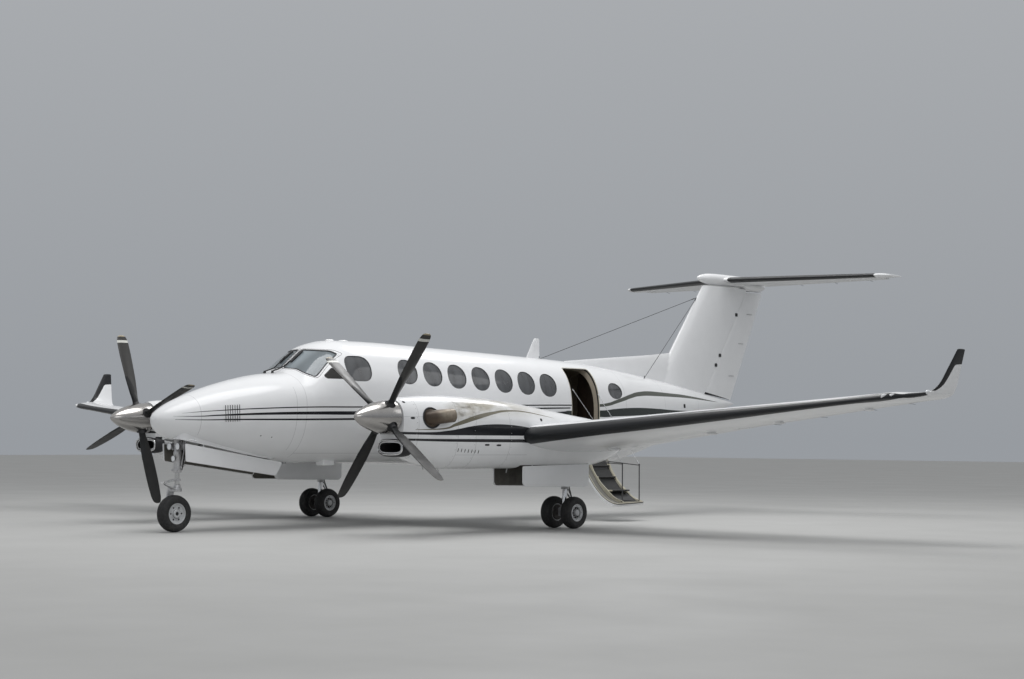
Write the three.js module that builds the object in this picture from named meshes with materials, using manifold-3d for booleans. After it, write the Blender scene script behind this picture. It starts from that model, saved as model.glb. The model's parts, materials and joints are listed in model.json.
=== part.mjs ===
// Twin turboprop aircraft, parked on its gear with the airstair open.
// Millimetres: +X is the port side, +Y points aft, +Z is up.
// The origin is on the ground, midway along the aircraft and on its centre plane.
import * as THREE from "three";
import { mergeVertices } from "three/addons/utils/BufferGeometryUtils.js";
import Module from "manifold-3d";

const wasm = await Module();
wasm.setup();

// Driving dimensions
const HALF_LENGTH = 7110;
const HALF_SPAN = 8825;
const FIT_GAP = 0.3;
const MOVING_GAP = 8;
const JACK_PAD = { half: 40, noseY: -4700, noseFace: 905, wingX: 1560, wingShare: 0.34, stand: 12 };
const SKIN = 45;

// Fuselage
const NOSE_JOINT_Y = -5050;
const TAIL_JOINT_Y = 2090;
const TAIL_END_Y = 6085;
const FUSELAGE_SIDES = 28;
const WINDOW_FIRST_Y = -2982;
const WINDOW_PITCH = 515;
const WINDOW_COUNT = 7;
const WINDOW = { halfWidth: 196, halfHeight: 181 };
const WINDOW_FIRST_Z = 2244;
const WINDOW_DROP = 20;
const AFT_WINDOW = { y: 1824, z: 2072, halfWidth: 196, halfHeight: 132 };
const FLOOR_TOP_Z = 1170;
const FLOOR_THICKNESS = 40;

// Airstair door, open
const DOOR = { fore: 638, aft: 1326, sill: 1180, head: 2456, cornerRadius: 80 };
const DOOR_HINGE = { x: 790, z: 1143 };
const DOOR_OPEN_ANGLE = 145;

// Power plants
const ENGINE_X = 2615;
const SHAFT_Z = 1552;
const PROP_Y = -5262;
const PROP_RADIUS = 1335;
const SPINNER_TIP_Y = -5780;
const SPINNER_REAR_Y = -5140;
const SPINNER_RADIUS = 222;
const NACELLE_SIDES = 22;
const PORT_BLADE_ANGLE = 37;
const STARBOARD_BLADE_ANGLE = -21;

// Landing gear
const NOSE_AXLE = { y: -6612, z: 250 };
const STEER_Y = -6570;
const NOSE_TYRE = { radius: 250, width: 171, rim: 136 };
const MAIN_AXLE = { y: -1655, z: 230 };
const MAIN_TYRE = { radius: 230, width: 165, rim: 120 };
const TWIN_OFFSET = 187;
const WHEEL_SIDES = 20;

// Fuselage stations. Columns: y, top z, bottom z, half width, waist z, corner power.
const FUSELAGE = [
  [-7110, 1502, 1498, 2, 1500, 2.0],
  [-7085, 1590, 1412, 92, 1500, 2.0],
  [-7010, 1682, 1334, 186, 1505, 2.0],
  [-6860, 1780, 1255, 288, 1512, 2.05],
  [-6660, 1868, 1212, 378, 1525, 2.1],
  [-6190, 2016, 1140, 505, 1560, 2.15],
  [-5740, 2124, 1064, 595, 1600, 2.2],
  [-5235, 2204, 988, 680, 1660, 2.3],
  [-4900, 2236, 948, 725, 1700, 2.3],
  [-4790, 2252, 938, 738, 1712, 2.25],
  [-4600, 2388, 925, 757, 1740, 2.2],
  [-4410, 2530, 918, 772, 1765, 2.25],
  [-4200, 2628, 914, 785, 1785, 2.35],
  [-3900, 2684, 912, 796, 1795, 2.5],
  [-3400, 2688, 910, 802, 1790, 2.6],
  [-1830, 2650, 868, 802, 1760, 2.6],
  [290, 2588, 818, 802, 1700, 2.6],
  [1220, 2552, 802, 795, 1680, 2.55],
  [2000, 2494, 850, 748, 1690, 2.4],
  [3000, 2392, 1030, 630, 1750, 2.25],
  [4000, 2272, 1310, 455, 1810, 2.15],
  [5000, 2134, 1612, 250, 1880, 2.05],
  [5700, 2024, 1842, 106, 1935, 2.0],
  [6000, 1972, 1915, 42, 1944, 2.0],
  [6085, 1948, 1938, 8, 1943, 2.0],
];

// Nacelle stations on the port side. Columns: y, top, bottom, half width, waist z, power.
const NACELLE = [
  [-5115, 1790, 1130, 236, 1520, 2.1],
  [-5040, 1808, 1062, 262, 1500, 2.15],
  [-4900, 1822, 1004, 300, 1480, 2.2],
  [-4600, 1842, 918, 352, 1440, 2.3],
  [-4200, 1852, 872, 392, 1400, 2.45],
  [-3600, 1834, 866, 425, 1370, 2.55],
  [-3000, 1792, 866, 445, 1340, 2.6],
  [-2200, 1694, 866, 445, 1290, 2.6],
  [-1500, 1612, 872, 420, 1260, 2.5],
  [-1000, 1548, 930, 355, 1260, 2.3],
  [-650, 1470, 1030, 255, 1262, 2.1],
  [-420, 1352, 1150, 130, 1258, 2.0],
  [-360, 1270, 1240, 30, 1256, 2.0],
];

// Wing sections, port side. Columns: leading edge x, y, z, then trailing edge x, y, z,
// thickness ratio, and the cant of the section's thickness direction in degrees.
const WING = [
  [600, -3050, 1165, 600, -850, 1012, 0.170, 0],
  [2600, -3035, 1262, 2600, -838, 1098, 0.165, 0],
  [3080, -3015, 1306, 3080, -830, 1132, 0.160, 0],
  [5600, -2706, 1547, 5600, -1084, 1462, 0.142, 0],
  [8350, -2370, 1810, 8350, -1360, 1786, 0.118, 0],
  [8515, -2150, 1836, 8515, -1352, 1808, 0.108, 18],
  [8635, -1925, 1884, 8630, -1342, 1852, 0.100, 48],
  [8700, -1795, 1970, 8692, -1332, 1945, 0.096, 70],
  [8760, -1630, 2195, 8756, -1311, 2190, 0.094, 74],
  [8812, -1470, 2415, 8812, -1290, 2415, 0.094, 76],
];

// Trailing-edge surfaces. Columns: name, inner x, outer x, hinge as a share of the chord.
const WING_SURFACES = [
  ["flap_inboard", 880, 2150, 0.74],
  ["flap_outboard", 3110, 5560, 0.74],
  ["aileron", 5600, 8280, 0.74],
];

// Fin and rudder. Columns: z, leading edge y, hinge y, trailing edge y, thickness ratio.
const FIN = [
  [1980, 3558, 5042, 5982, 0.100],
  [3090, 4405, 5805, 6540, 0.098],
  [4060, 5160, 6472, 7008, 0.095],
];
const RUDDER_HEAD_Z = 4010;
const RUDDER_FOOT_GAP = 24;

// Tailplane, port side. Columns: x, leading edge y, hinge y, trailing edge y, z, thickness.
const TAILPLANE = [
  [0, 5610, 6480, 6850, 4185, 0.100],
  [2700, 6462, 6900, 7106, 4190, 0.095],
  [2805, 6560, 6915, 7110, 4190, 0.080],
];
const ELEVATOR_INNER_X = 205;
const ELEVATOR_OUTER_X = 2690;
const ELEVATOR_DROOP = 9;

const degrees = (value) => THREE.MathUtils.degToRad(value);
const mix = (a, b, t) => a + (b - a) * t;

// A smooth value from a station table: cubic between stations, with no overshoot.
function smoothColumn(table, column, at) {
  const last = table.length - 1;
  if (at <= table[0][0]) return table[0][column];
  if (at >= table[last][0]) return table[last][column];
  let i = 0;
  while (table[i + 1][0] < at) i += 1;
  const slope = (k) => (table[k + 1][column] - table[k][column]) / (table[k + 1][0] - table[k][0]);
  const tangent = (k) => {
    if (k === 0) return slope(0);
    if (k === last) return slope(last - 1);
    const before = slope(k - 1);
    const after = slope(k);
    return before * after <= 0 ? 0 : (2 * before * after) / (before + after);
  };
  const span = table[i + 1][0] - table[i][0];
  const t = (at - table[i][0]) / span;
  const a = table[i][column];
  const b = table[i + 1][column];
  return a * (1 + 2 * t) * (1 - t) ** 2 + tangent(i) * span * t * (1 - t) ** 2
    + b * t * t * (3 - 2 * t) + tangent(i + 1) * span * t * t * (t - 1);
}

// A closed body through rings of equal point counts; a flat fan closes each end.
function loft(rings) {
  const count = rings[0].length;
  const positions = [];
  for (const ring of rings) for (const point of ring) positions.push(point.x, point.y, point.z);
  const index = [];
  for (let r = 0; r < rings.length - 1; r += 1) {
    for (let k = 0; k < count; k += 1) {
      const a = r * count + k;
      const b = r * count + ((k + 1) % count);
      index.push(a, b, a + count, b, b + count, a + count);
    }
  }
  for (const end of [0, rings.length - 1]) {
    const centre = positions.length / 3;
    const middle = new THREE.Vector3();
    for (const point of rings[end]) middle.add(point);
    middle.divideScalar(count);
    positions.push(middle.x, middle.y, middle.z);
    for (let k = 0; k < count; k += 1) {
      const a = end * count + k;
      const b = end * count + ((k + 1) % count);
      if (end === 0) index.push(b, a, centre);
      else index.push(a, b, centre);
    }
  }
  const geometry = new THREE.BufferGeometry();
  geometry.setAttribute("position", new THREE.Float32BufferAttribute(positions, 3));
  geometry.setIndex(index);
  return geometry;
}

// The signed volume tells which way a closed geometry faces.
function signedVolume(vertices, triangles) {
  let total = 0;
  const corner = (i) => new THREE.Vector3().fromArray(vertices, 3 * triangles[i]);
  for (let i = 0; i < triangles.length; i += 3) {
    total += corner(i).dot(corner(i + 1).cross(corner(i + 2)));
  }
  return total / 6;
}

// A closed geometry as a solid for joining and cutting.
function solid(geometry) {
  const bare = geometry.clone();
  bare.deleteAttribute("normal");
  bare.deleteAttribute("uv");
  const merged = mergeVertices(bare, 0.001);
  const vertProperties = Float32Array.from(merged.attributes.position.array);
  const triVerts = Uint32Array.from(merged.index.array);
  if (signedVolume(vertProperties, triVerts) < 0) {
    for (let i = 0; i < triVerts.length; i += 3) {
      [triVerts[i + 1], triVerts[i + 2]] = [triVerts[i + 2], triVerts[i + 1]];
    }
  }
  return new wasm.Manifold(new wasm.Mesh({ numProp: 3, vertProperties, triVerts }));
}

function geometryOf(body) {
  const mesh = body.getMesh();
  const geometry = new THREE.BufferGeometry();
  geometry.setAttribute("position", new THREE.BufferAttribute(Float32Array.from(mesh.vertProperties), 3));
  geometry.setIndex(new THREE.BufferAttribute(Uint32Array.from(mesh.triVerts), 1));
  return geometry;
}

function join(first, ...others) {
  return others.reduce((sum, other) => sum.add(other), first);
}

function cut(first, ...tools) {
  return tools.reduce((rest, tool) => rest.subtract(tool), first);
}

// Ready-made solids
function boxSolid(low, high) {
  const size = high.map((value, i) => value - low[i]);
  const geometry = new THREE.BoxGeometry(...size);
  geometry.translate(...low.map((value, i) => value + size[i] / 2));
  return solid(geometry);
}

function rodGeometry(start, end, radius, sides = 12, endRadius = radius) {
  const from = new THREE.Vector3(...start);
  const to = new THREE.Vector3(...end);
  const along = to.clone().sub(from);
  const geometry = new THREE.CylinderGeometry(endRadius, radius, along.length(), sides);
  const upright = new THREE.Vector3(0, 1, 0);
  geometry.applyQuaternion(new THREE.Quaternion().setFromUnitVectors(upright, along.clone().normalize()));
  const middle = from.add(to).multiplyScalar(0.5);
  geometry.translate(middle.x, middle.y, middle.z);
  return geometry;
}

const rod = (...values) => solid(rodGeometry(...values));

// An outline in the YZ plane, pushed along X from low to high.
function sidePlate(points, lowX, highX) {
  const shape = new THREE.Shape(points.map(([y, z]) => new THREE.Vector2(y, z)));
  const geometry = new THREE.ExtrudeGeometry(shape, { depth: highX - lowX, bevelEnabled: false });
  geometry.applyMatrix4(new THREE.Matrix4().set(0, 0, 1, lowX, 1, 0, 0, 0, 0, 1, 0, 0, 0, 0, 0, 1));
  return solid(geometry);
}

// An outline in the XZ plane, pushed along Y from low to high.
function frontPlate(points, lowY, highY) {
  const shape = new THREE.Shape(points.map(([x, z]) => new THREE.Vector2(x, z)));
  const geometry = new THREE.ExtrudeGeometry(shape, { depth: highY - lowY, bevelEnabled: false });
  geometry.applyMatrix4(new THREE.Matrix4().set(1, 0, 0, 0, 0, 0, 1, lowY, 0, 1, 0, 0, 0, 0, 0, 1));
  return solid(geometry);
}

function roundedOutline(fore, aft, low, high, radius, steps = 4) {
  const corners = [
    [aft - radius, high - radius, 0],
    [fore + radius, high - radius, 90],
    [fore + radius, low + radius, 180],
    [aft - radius, low + radius, 270],
  ];
  const points = [];
  for (const [y, z, from] of corners) {
    for (let k = 0; k <= steps; k += 1) {
      const angle = degrees(from + (90 * k) / steps);
      points.push([y + radius * Math.cos(angle), z + radius * Math.sin(angle)]);
    }
  }
  return points;
}

function ovalPrism(y, z, halfWidth, halfHeight, lowX, highX, sides = 14) {
  const points = [];
  for (let k = 0; k < sides; k += 1) {
    const angle = (2 * Math.PI * (k + 0.5)) / sides;
    points.push([y + halfWidth * Math.cos(angle), z + halfHeight * Math.sin(angle)]);
  }
  return sidePlate(points, lowX, highX);
}

// A ring of a rounded-square section at one station, pulled in by inset.
function stationRing(table, y, inset, centreX = 0) {
  const sides = table === FUSELAGE ? FUSELAGE_SIDES : NACELLE_SIDES;
  const [top, bottom, half, waist, power] = [1, 2, 3, 4, 5].map((c) => smoothColumn(table, c, y));
  const ring = [];
  for (let k = 0; k < sides; k += 1) {
    const angle = (2 * Math.PI * (k + 0.5)) / sides;
    const across = Math.sign(Math.cos(angle)) * Math.abs(Math.cos(angle)) ** (2 / power);
    const rise = Math.sign(Math.sin(angle)) * Math.abs(Math.sin(angle)) ** (2 / power);
    const reach = (rise > 0 ? top - waist : waist - bottom) - inset;
    ring.push(new THREE.Vector3(centreX + across * (half - inset), y, waist + rise * reach));
  }
  return ring;
}

// The stations of a table between two cuts, with the cuts themselves. The fuselage's
// joints are always among them, so that every body along it has the same facets.
function stationsBetween(table, fore, aft) {
  const joints = table === FUSELAGE ? [NOSE_JOINT_Y, TAIL_JOINT_Y] : [];
  const all = [...table.map((row) => row[0]), ...joints].sort((a, b) => a - b);
  return [fore, ...all.filter((y) => y > fore + 1 && y < aft - 1), aft];
}

function hullSolid(table, fore, aft, inset = 0, centreX = 0) {
  return solid(loft(stationsBetween(table, fore, aft).map((y) => stationRing(table, y, inset, centreX))));
}

const fuselageSolid = (fore, aft, inset = 0) => hullSolid(FUSELAGE, fore, aft, inset);

// Openings in the cabin shell. Each grows or shrinks with margin.
function windscreenPane(side, margin) {
  const corners = [[34, 2272], [578, 2160], [514, 2476], [430, 2514], [34, 2530]];
  const centre = [320, 2370];
  const points = corners.map(([x, z]) => {
    const reach = Math.hypot(x - centre[0], z - centre[1]);
    const grow = 1 - margin / reach;
    return [side * (centre[0] + (x - centre[0]) * grow), centre[1] + (z - centre[1]) * grow];
  });
  return frontPlate(side > 0 ? points : points.reverse(), -5000, -4120);
}

function triangleWindow(side, margin) {
  const points = [
    [-4466 + margin, 2124 + margin],
    [-4150 - 2 * margin, 2124 + margin],
    [-4372 - margin, 2266 - 2 * margin],
  ];
  return side > 0 ? sidePlate(points, 588, 900) : sidePlate(points, -900, -588);
}

function cockpitWindow(side, margin) {
  const points = roundedOutline(-4106 + margin, -3704 - margin, 2108 + margin, 2438 - margin, 120, 3);
  return side > 0 ? sidePlate(points, 420, 900) : sidePlate(points, -900, -420);
}

function cabinWindow(side, row, margin) {
  const y = WINDOW_FIRST_Y + row * WINDOW_PITCH;
  const z = WINDOW_FIRST_Z - row * WINDOW_DROP;
  const [low, high] = side > 0 ? [500, 900] : [-900, -500];
  return ovalPrism(y, z, WINDOW.halfWidth - margin, WINDOW.halfHeight - margin, low, high);
}

function aftWindow(side, margin) {
  const { y, z, halfWidth, halfHeight } = AFT_WINDOW;
  const [low, high] = side > 0 ? [500, 900] : [-900, -500];
  return ovalPrism(y, z, halfWidth - margin, halfHeight - margin, low, high, 12);
}

function doorway(margin) {
  const points = roundedOutline(
    DOOR.fore + margin,
    DOOR.aft - margin,
    DOOR.sill + margin,
    DOOR.head - margin,
    DOOR.cornerRadius,
  );
  return sidePlate(points, 250, 1000);
}

const rows = Array.from({ length: WINDOW_COUNT }, (_, row) => row);

const root = new THREE.Group();

function place(name, body, color, roughness, metalness = 0, group = root) {
  const material = new THREE.MeshStandardMaterial({ color, roughness, metalness });
  const mesh = new THREE.Mesh(geometryOf(body), material);
  mesh.name = name;
  group.add(mesh);
  return mesh;
}

const PAINT = [0xe9eaec, 0.25];
const DARK_PAINT = [0x2a2c2e, 0.3];
const GLASS = [0x1c2226, 0.08];
const RUBBER = [0x161616, 0.85];
const STEEL = [0x9a9c9e, 0.35, 1];
const TRIM = [0xb9a98c, 0.8];

// Wing sections

// Half-thickness of a symmetrical section at a share of its chord.
function sectionHalf(share, ratio) {
  const root2 = Math.sqrt(share);
  return 5 * ratio * (0.2969 * root2 - 0.126 * share - 0.3516 * share ** 2
    + 0.2843 * share ** 3 - 0.1036 * share ** 4);
}

const SHARES = [0, 0.012, 0.05, 0.13, 0.28, 0.45, 0.62, 0.8, 1];
const LOWER_SHARE = 0.72;
const UPPER_SHARE = 1.28;
const EDGE_HALF = 3;

// A cambered ring from leading edge, trailing edge, thickness direction and ratio.
function foilRing(lead, trail, normal, ratio, upper = UPPER_SHARE, lower = LOWER_SHARE) {
  const chord = trail.clone().sub(lead);
  const length = chord.length();
  const at = (share, side, weight) => lead.clone()
    .addScaledVector(chord, share)
    .addScaledVector(normal, side * (weight * sectionHalf(share, ratio) * length + EDGE_HALF * share));
  const over = SHARES.map((share) => at(share, 1, upper));
  const under = SHARES.slice(1).reverse().map((share) => at(share, -1, lower));
  return [...over, ...under];
}

function wingRow(x) {
  let i = 0;
  while (i < WING.length - 2 && WING[i + 1][0] < x) i += 1;
  const t = (x - WING[i][0]) / (WING[i + 1][0] - WING[i][0]);
  return WING[i].map((value, column) => mix(value, WING[i + 1][column], t));
}

function wingRing(row) {
  const lead = new THREE.Vector3(row[0], row[1], row[2]);
  const trail = new THREE.Vector3(row[3], row[4], row[5]);
  const cant = degrees(row[7]);
  return foilRing(lead, trail, new THREE.Vector3(-Math.sin(cant), 0, Math.cos(cant)), row[6]);
}

// The point on the wing's chord line and its upper and lower skin at a chord share.
function wingPoint(x, share) {
  const row = wingRow(x);
  const y = mix(row[1], row[4], share);
  const z = mix(row[2], row[5], share);
  const half = sectionHalf(share, row[6]) * Math.hypot(row[4] - row[1], row[5] - row[2]);
  const edge = EDGE_HALF * share;
  return { y, z, up: z + half * UPPER_SHARE + edge, down: z - half * LOWER_SHARE - edge };
}

// The hinge of a trailing-edge surface runs through the middle of the wing's depth.
function wingHinge(x, share) {
  const point = wingPoint(x, share);
  return { x, y: point.y, z: (point.up + point.down) / 2, radius: (point.up - point.down) / 2 };
}

// A moving surface: a round nose about its hinge, then the wing's own skins to its edge.
function surfaceRing(x, share) {
  const hinge = wingHinge(x, share);
  const ring = [];
  for (let k = 0; k <= 6; k += 1) {
    const angle = degrees(90 + 30 * k);
    const y = hinge.y + hinge.radius * Math.cos(angle);
    ring.push(new THREE.Vector3(x, y, hinge.z + hinge.radius * Math.sin(angle)));
  }
  const stops = [0.88, 1];
  for (const stop of stops) {
    const point = wingPoint(x, stop);
    ring.push(new THREE.Vector3(x, point.y, point.down));
  }
  for (const stop of [...stops].reverse()) {
    const point = wingPoint(x, stop);
    ring.push(new THREE.Vector3(x, point.y, point.up));
  }
  return ring;
}

function surfaceStops(inner, outer) {
  const inside = WING.map((row) => row[0]).filter((x) => x > inner + 1 && x < outer - 1);
  return [inner, ...inside, outer];
}

// The pocket behind the wing's rear spar that a moving surface works in.
function surfacePocket(inner, outer, share) {
  const ring = (x) => {
    const hinge = wingHinge(x, share);
    const wall = hinge.y - hinge.radius - MOVING_GAP;
    return [
      new THREE.Vector3(x, wall, hinge.z - 200),
      new THREE.Vector3(x, wall + 1200, hinge.z - 300),
      new THREE.Vector3(x, wall + 1200, hinge.z + 200),
      new THREE.Vector3(x, wall, hinge.z + 200),
    ];
  };
  return solid(loft(surfaceStops(inner, outer).map(ring)));
}

const SURFACE_SIDE_GAP = 22;

function mirrored(body) {
  const geometry = geometryOf(body);
  geometry.scale(-1, 1, 1);
  return solid(geometry);
}

// A wheel's body of revolution about an axis parallel to X. Its facets lie at the stated
// radius, and one of them faces straight down, so that a wheel stands flat.
function turnedX(profile, segments, centre) {
  const grow = 1 / Math.cos(Math.PI / segments);
  const points = profile.map(([radius, along]) => new THREE.Vector2(radius * grow, along));
  const geometry = new THREE.LatheGeometry(points, segments);
  geometry.rotateY(Math.PI / segments);
  geometry.rotateZ(-Math.PI / 2);
  geometry.translate(...centre);
  return solid(geometry);
}

function turnedY(profile, segments, centre) {
  const points = profile.map(([radius, along]) => new THREE.Vector2(radius, along));
  const geometry = new THREE.LatheGeometry(points, segments);
  geometry.translate(...centre);
  return solid(geometry);
}

function tyreProfile({ radius, width, rim }) {
  const half = width / 2;
  return [
    [rim + 2, -half + 30],
    [rim + 26, -half + 6],
    [mix(rim, radius, 0.62), -half],
    [radius - 22, -half + 18],
    [radius, -32],
    [radius, 32],
    [radius - 22, half - 18],
    [mix(rim, radius, 0.62), half],
    [rim + 26, half - 6],
    [rim + 2, half - 30],
    [rim + 2, -half + 30],
  ];
}

function rimProfile({ width, rim }) {
  const half = width / 2;
  return [
    [0, -half + 46],
    [rim - 24, -half + 46],
    [rim - 14, -half + 22],
    [rim + 1, -half + 28],
    [rim + 1, half - 28],
    [rim - 14, half - 22],
    [rim - 24, half - 46],
    [0, half - 46],
  ];
}

// Fuselage: nose, hollow cabin, tail
const NOSE_BAY = { fore: -6720, aft: -5060, half: 215, roof: 1430 };
const noseBay = boxSolid([-NOSE_BAY.half, NOSE_BAY.fore, 700], [NOSE_BAY.half, NOSE_BAY.aft, NOSE_BAY.roof]);
place("nose_section", cut(fuselageSolid(-HALF_LENGTH, NOSE_JOINT_Y), noseBay), ...PAINT);

const cabinOuter = fuselageSolid(NOSE_JOINT_Y + FIT_GAP, TAIL_JOINT_Y - FIT_GAP);
const cabinInner = fuselageSolid(NOSE_JOINT_Y - 50, TAIL_JOINT_Y + 50, SKIN);
const windowCuts = [1, -1].flatMap((side) => [
  windscreenPane(side, 0),
  triangleWindow(side, 0),
  cockpitWindow(side, 0),
  aftWindow(side, 0),
  ...rows.map((row) => cabinWindow(side, row, 0)),
]);
const noseJackPad = boxSolid(
  [-JACK_PAD.half, JACK_PAD.noseY - JACK_PAD.half, JACK_PAD.noseFace],
  [JACK_PAD.half, JACK_PAD.noseY + JACK_PAD.half, JACK_PAD.noseFace + 50],
);
const cabin = cut(join(cabinOuter, noseJackPad), cabinInner, doorway(0), ...windowCuts);
place("cabin_shell", cabin, ...PAINT);

place("tail_section", fuselageSolid(TAIL_JOINT_Y, TAIL_END_Y), ...PAINT);

// Panes stand just under the outer skin; a liner strip inside the shell carries them.
const PANE_DEPTH = 26;
const LINER = { inset: SKIN + FIT_GAP, thickness: 8, half: 60 };
const linerBand = cut(
  fuselageSolid(-4700, TAIL_JOINT_Y - 5, LINER.inset),
  fuselageSolid(-4750, TAIL_JOINT_Y + 5, LINER.inset + LINER.thickness),
);
const plugBand = cut(
  fuselageSolid(-4900, TAIL_JOINT_Y - 5, PANE_DEPTH),
  fuselageSolid(-4950, TAIL_JOINT_Y + 5, LINER.inset + LINER.thickness),
);
const windscreenBand = cut(fuselageSolid(-5000, -4000, 8), fuselageSolid(-5020, -3980, 28));

function linerStrip(side) {
  const aftEnd = WINDOW_FIRST_Y + (WINDOW_COUNT - 1) * WINDOW_PITCH;
  const aftZ = WINDOW_FIRST_Z - (WINDOW_COUNT - 1) * WINDOW_DROP;
  const points = [
    [-4400, 2150],
    [aftEnd, aftZ - LINER.half],
    [aftEnd, aftZ + LINER.half],
    [WINDOW_FIRST_Y, WINDOW_FIRST_Z + LINER.half],
    [-4340, 2220],
  ];
  return side > 0 ? sidePlate(points, 400, 900) : sidePlate(points, -900, -400);
}

for (const [word, side] of [["left", 1], ["right", -1]]) {
  const screen = windscreenBand.intersect(windscreenPane(side, FIT_GAP * 4));
  place(`windscreen_${word}`, screen, ...GLASS);
  const panes = [triangleWindow, cockpitWindow].map((shape) => plugBand.intersect(shape(side, FIT_GAP)));
  for (const row of rows) panes.push(plugBand.intersect(cabinWindow(side, row, FIT_GAP)));
  const strip = linerBand.intersect(linerStrip(side));
  place(`cabin_panes_${word}`, join(strip, ...panes), ...GLASS);
  place(`aft_pane_${word}`, plugBand.intersect(aftWindow(side, FIT_GAP)), ...GLASS);
}

// Cabin floor and furniture
const floorSpace = fuselageSolid(-4900, TAIL_JOINT_Y - 60, SKIN + 1);
const FLOOR_LOW_Z = FLOOR_TOP_Z - FLOOR_THICKNESS;
const floor = floorSpace.intersect(boxSolid([-900, -4880, FLOOR_LOW_Z], [900, 1980, FLOOR_TOP_Z]));
place("cabin_floor", cut(floor, boxSolid([560, 560, 1000], [900, 1360, 1400])), ...TRIM);

const panelSpace = fuselageSolid(-4990, -4500, SKIN + 3);
const panelShape = sidePlate(
  [[-4980, 1760], [-4700, 1760], [-4560, 2120], [-4560, 2150], [-4980, 2185]],
  -900,
  900,
);
place("instrument_panel", panelSpace.intersect(panelShape), ...DARK_PAINT);

// Seats. Columns: x, y of the seat's middle, 1 when it faces forward and -1 when it faces aft.
const CREW_SEATS = [[330, -3900, 1], [-330, -3900, 1]];
// Cabin seats stand in two rows. Columns: y, and 1 or -1 as above.
const CLUB_SEAT_X = 400;
const CLUB_SEATS = [[-2850, -1], [-1750, 1], [-800, 1]];
const SEAT = { half: 240, depth: 230, cushionLow: 330, cushionHigh: 450, back: 1010 };

function seat([x, y, facing]) {
  const z = FLOOR_TOP_Z + FIT_GAP;
  const low = (a, b) => Math.min(y + facing * a, y + facing * b);
  const high = (a, b) => Math.max(y + facing * a, y + facing * b);
  const block = (halfX, a, b, bottom, top) => boxSolid(
    [x - halfX, low(a, b), z + bottom],
    [x + halfX, high(a, b), z + top],
  );
  return join(
    block(SEAT.half, -SEAT.depth, SEAT.depth, SEAT.cushionLow, SEAT.cushionHigh),
    block(SEAT.half - 10, SEAT.depth - 60, SEAT.depth + 70, SEAT.cushionLow, SEAT.back),
    block(120, -120, 120, 0, SEAT.cushionLow + 10),
  );
}

const seatBase = FLOOR_TOP_Z + FIT_GAP;
const pedestal = boxSolid([-150, -4100, seatBase], [150, -3800, seatBase + 380]);
place("crew_seats", join(pedestal, ...CREW_SEATS.map((row) => seat(row))), ...TRIM);
for (const [word, side] of [["left", 1], ["right", -1]]) {
  const row = CLUB_SEATS.map(([y, facing]) => [side * CLUB_SEAT_X, y, facing]);
  const ys = row.map((values) => values[1]);
  const rail = boxSolid(
    [side * CLUB_SEAT_X - 40, Math.min(...ys) - 150, seatBase],
    [side * CLUB_SEAT_X + 40, Math.max(...ys) + 150, seatBase + 20],
  );
  place(`cabin_seats_${word}`, join(rail, ...row.map((values) => seat(values))), ...TRIM);
}

// Fin, rudder and tailplane
function finRow(z) {
  const i = z < FIN[1][0] ? 0 : 1;
  const t = (z - FIN[i][0]) / (FIN[i + 1][0] - FIN[i][0]);
  return FIN[i].map((value, column) => mix(value, FIN[i + 1][column], t));
}

function finRing(z) {
  const [, lead, , trail, ratio] = finRow(z);
  const normal = new THREE.Vector3(1, 0, 0);
  return foilRing(new THREE.Vector3(0, lead, z), new THREE.Vector3(0, trail, z), normal, ratio, 1, 1);
}

function finHalf(z, y) {
  const [, lead, , trail, ratio] = finRow(z);
  const share = (y - lead) / (trail - lead);
  return sectionHalf(share, ratio) * (trail - lead) + EDGE_HALF * share;
}

// The rear of a tail surface's ring. Columns: share from hinge to trailing edge, side.
const TAIL_EDGE = [[0.5, -1], [1, -1], [1, 1], [0.5, 1]];

function rudderRing(z) {
  const [, , hinge, trail] = finRow(z);
  const radius = finHalf(z, hinge);
  const ring = [];
  for (let k = 0; k <= 6; k += 1) {
    const angle = degrees(90 + 30 * k);
    ring.push(new THREE.Vector3(radius * Math.sin(angle), hinge + radius * Math.cos(angle), z));
  }
  for (const [share, side] of TAIL_EDGE) {
    const y = mix(hinge, trail, share);
    ring.push(new THREE.Vector3(side * finHalf(z, y), y, z));
  }
  return ring;
}

function rudderPocket(low, high) {
  const ring = (z) => {
    const hinge = finRow(z)[2];
    const wall = hinge - finHalf(z, hinge) - MOVING_GAP - 4;
    return [[-300, wall], [300, wall], [300, wall + 1500], [-300, wall + 1500]]
      .map(([x, y]) => new THREE.Vector3(x, y, z));
  };
  return solid(loft([ring(low), ring(high)]));
}

const finWhole = solid(loft(FIN.map(([z]) => finRing(z))));
// Dorsal ridge. Columns: y, ridge z, half width at its foot.
const DORSAL = [
  [1360, 2566, 20],
  [2600, 2668, 46],
  [3600, 2746, 66],
  [4230, 2812, 84],
  [4700, 2900, 84],
];
const dorsal = solid(loft(DORSAL.map(([y, ridge, half]) => [
  [-half, 2150],
  [half, 2150],
  [half * 0.62, ridge - 60],
  [half * 0.3, ridge],
  [-half * 0.3, ridge],
  [-half * 0.62, ridge - 60],
].map(([x, z]) => new THREE.Vector3(x, y, z)))));
const fuselageClear = fuselageSolid(-7000, TAIL_END_Y, -FIT_GAP);
const FIN_FOOT_Z = FIN[0][0];
const FIN_TOP_Z = FIN[FIN.length - 1][0];

const BULLET = [
  [0, 4990],
  [34, 5030],
  [70, 5140],
  [98, 5360],
  [104, 5700],
  [100, 6300],
  [78, 6560],
  [44, 6640],
  [0, 6644],
];

function tailRow(x) {
  const i = Math.abs(x) < TAILPLANE[1][0] ? 0 : 1;
  const t = (Math.abs(x) - TAILPLANE[i][0]) / (TAILPLANE[i + 1][0] - TAILPLANE[i][0]);
  return TAILPLANE[i].map((value, column) => mix(value, TAILPLANE[i + 1][column], t));
}

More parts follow.
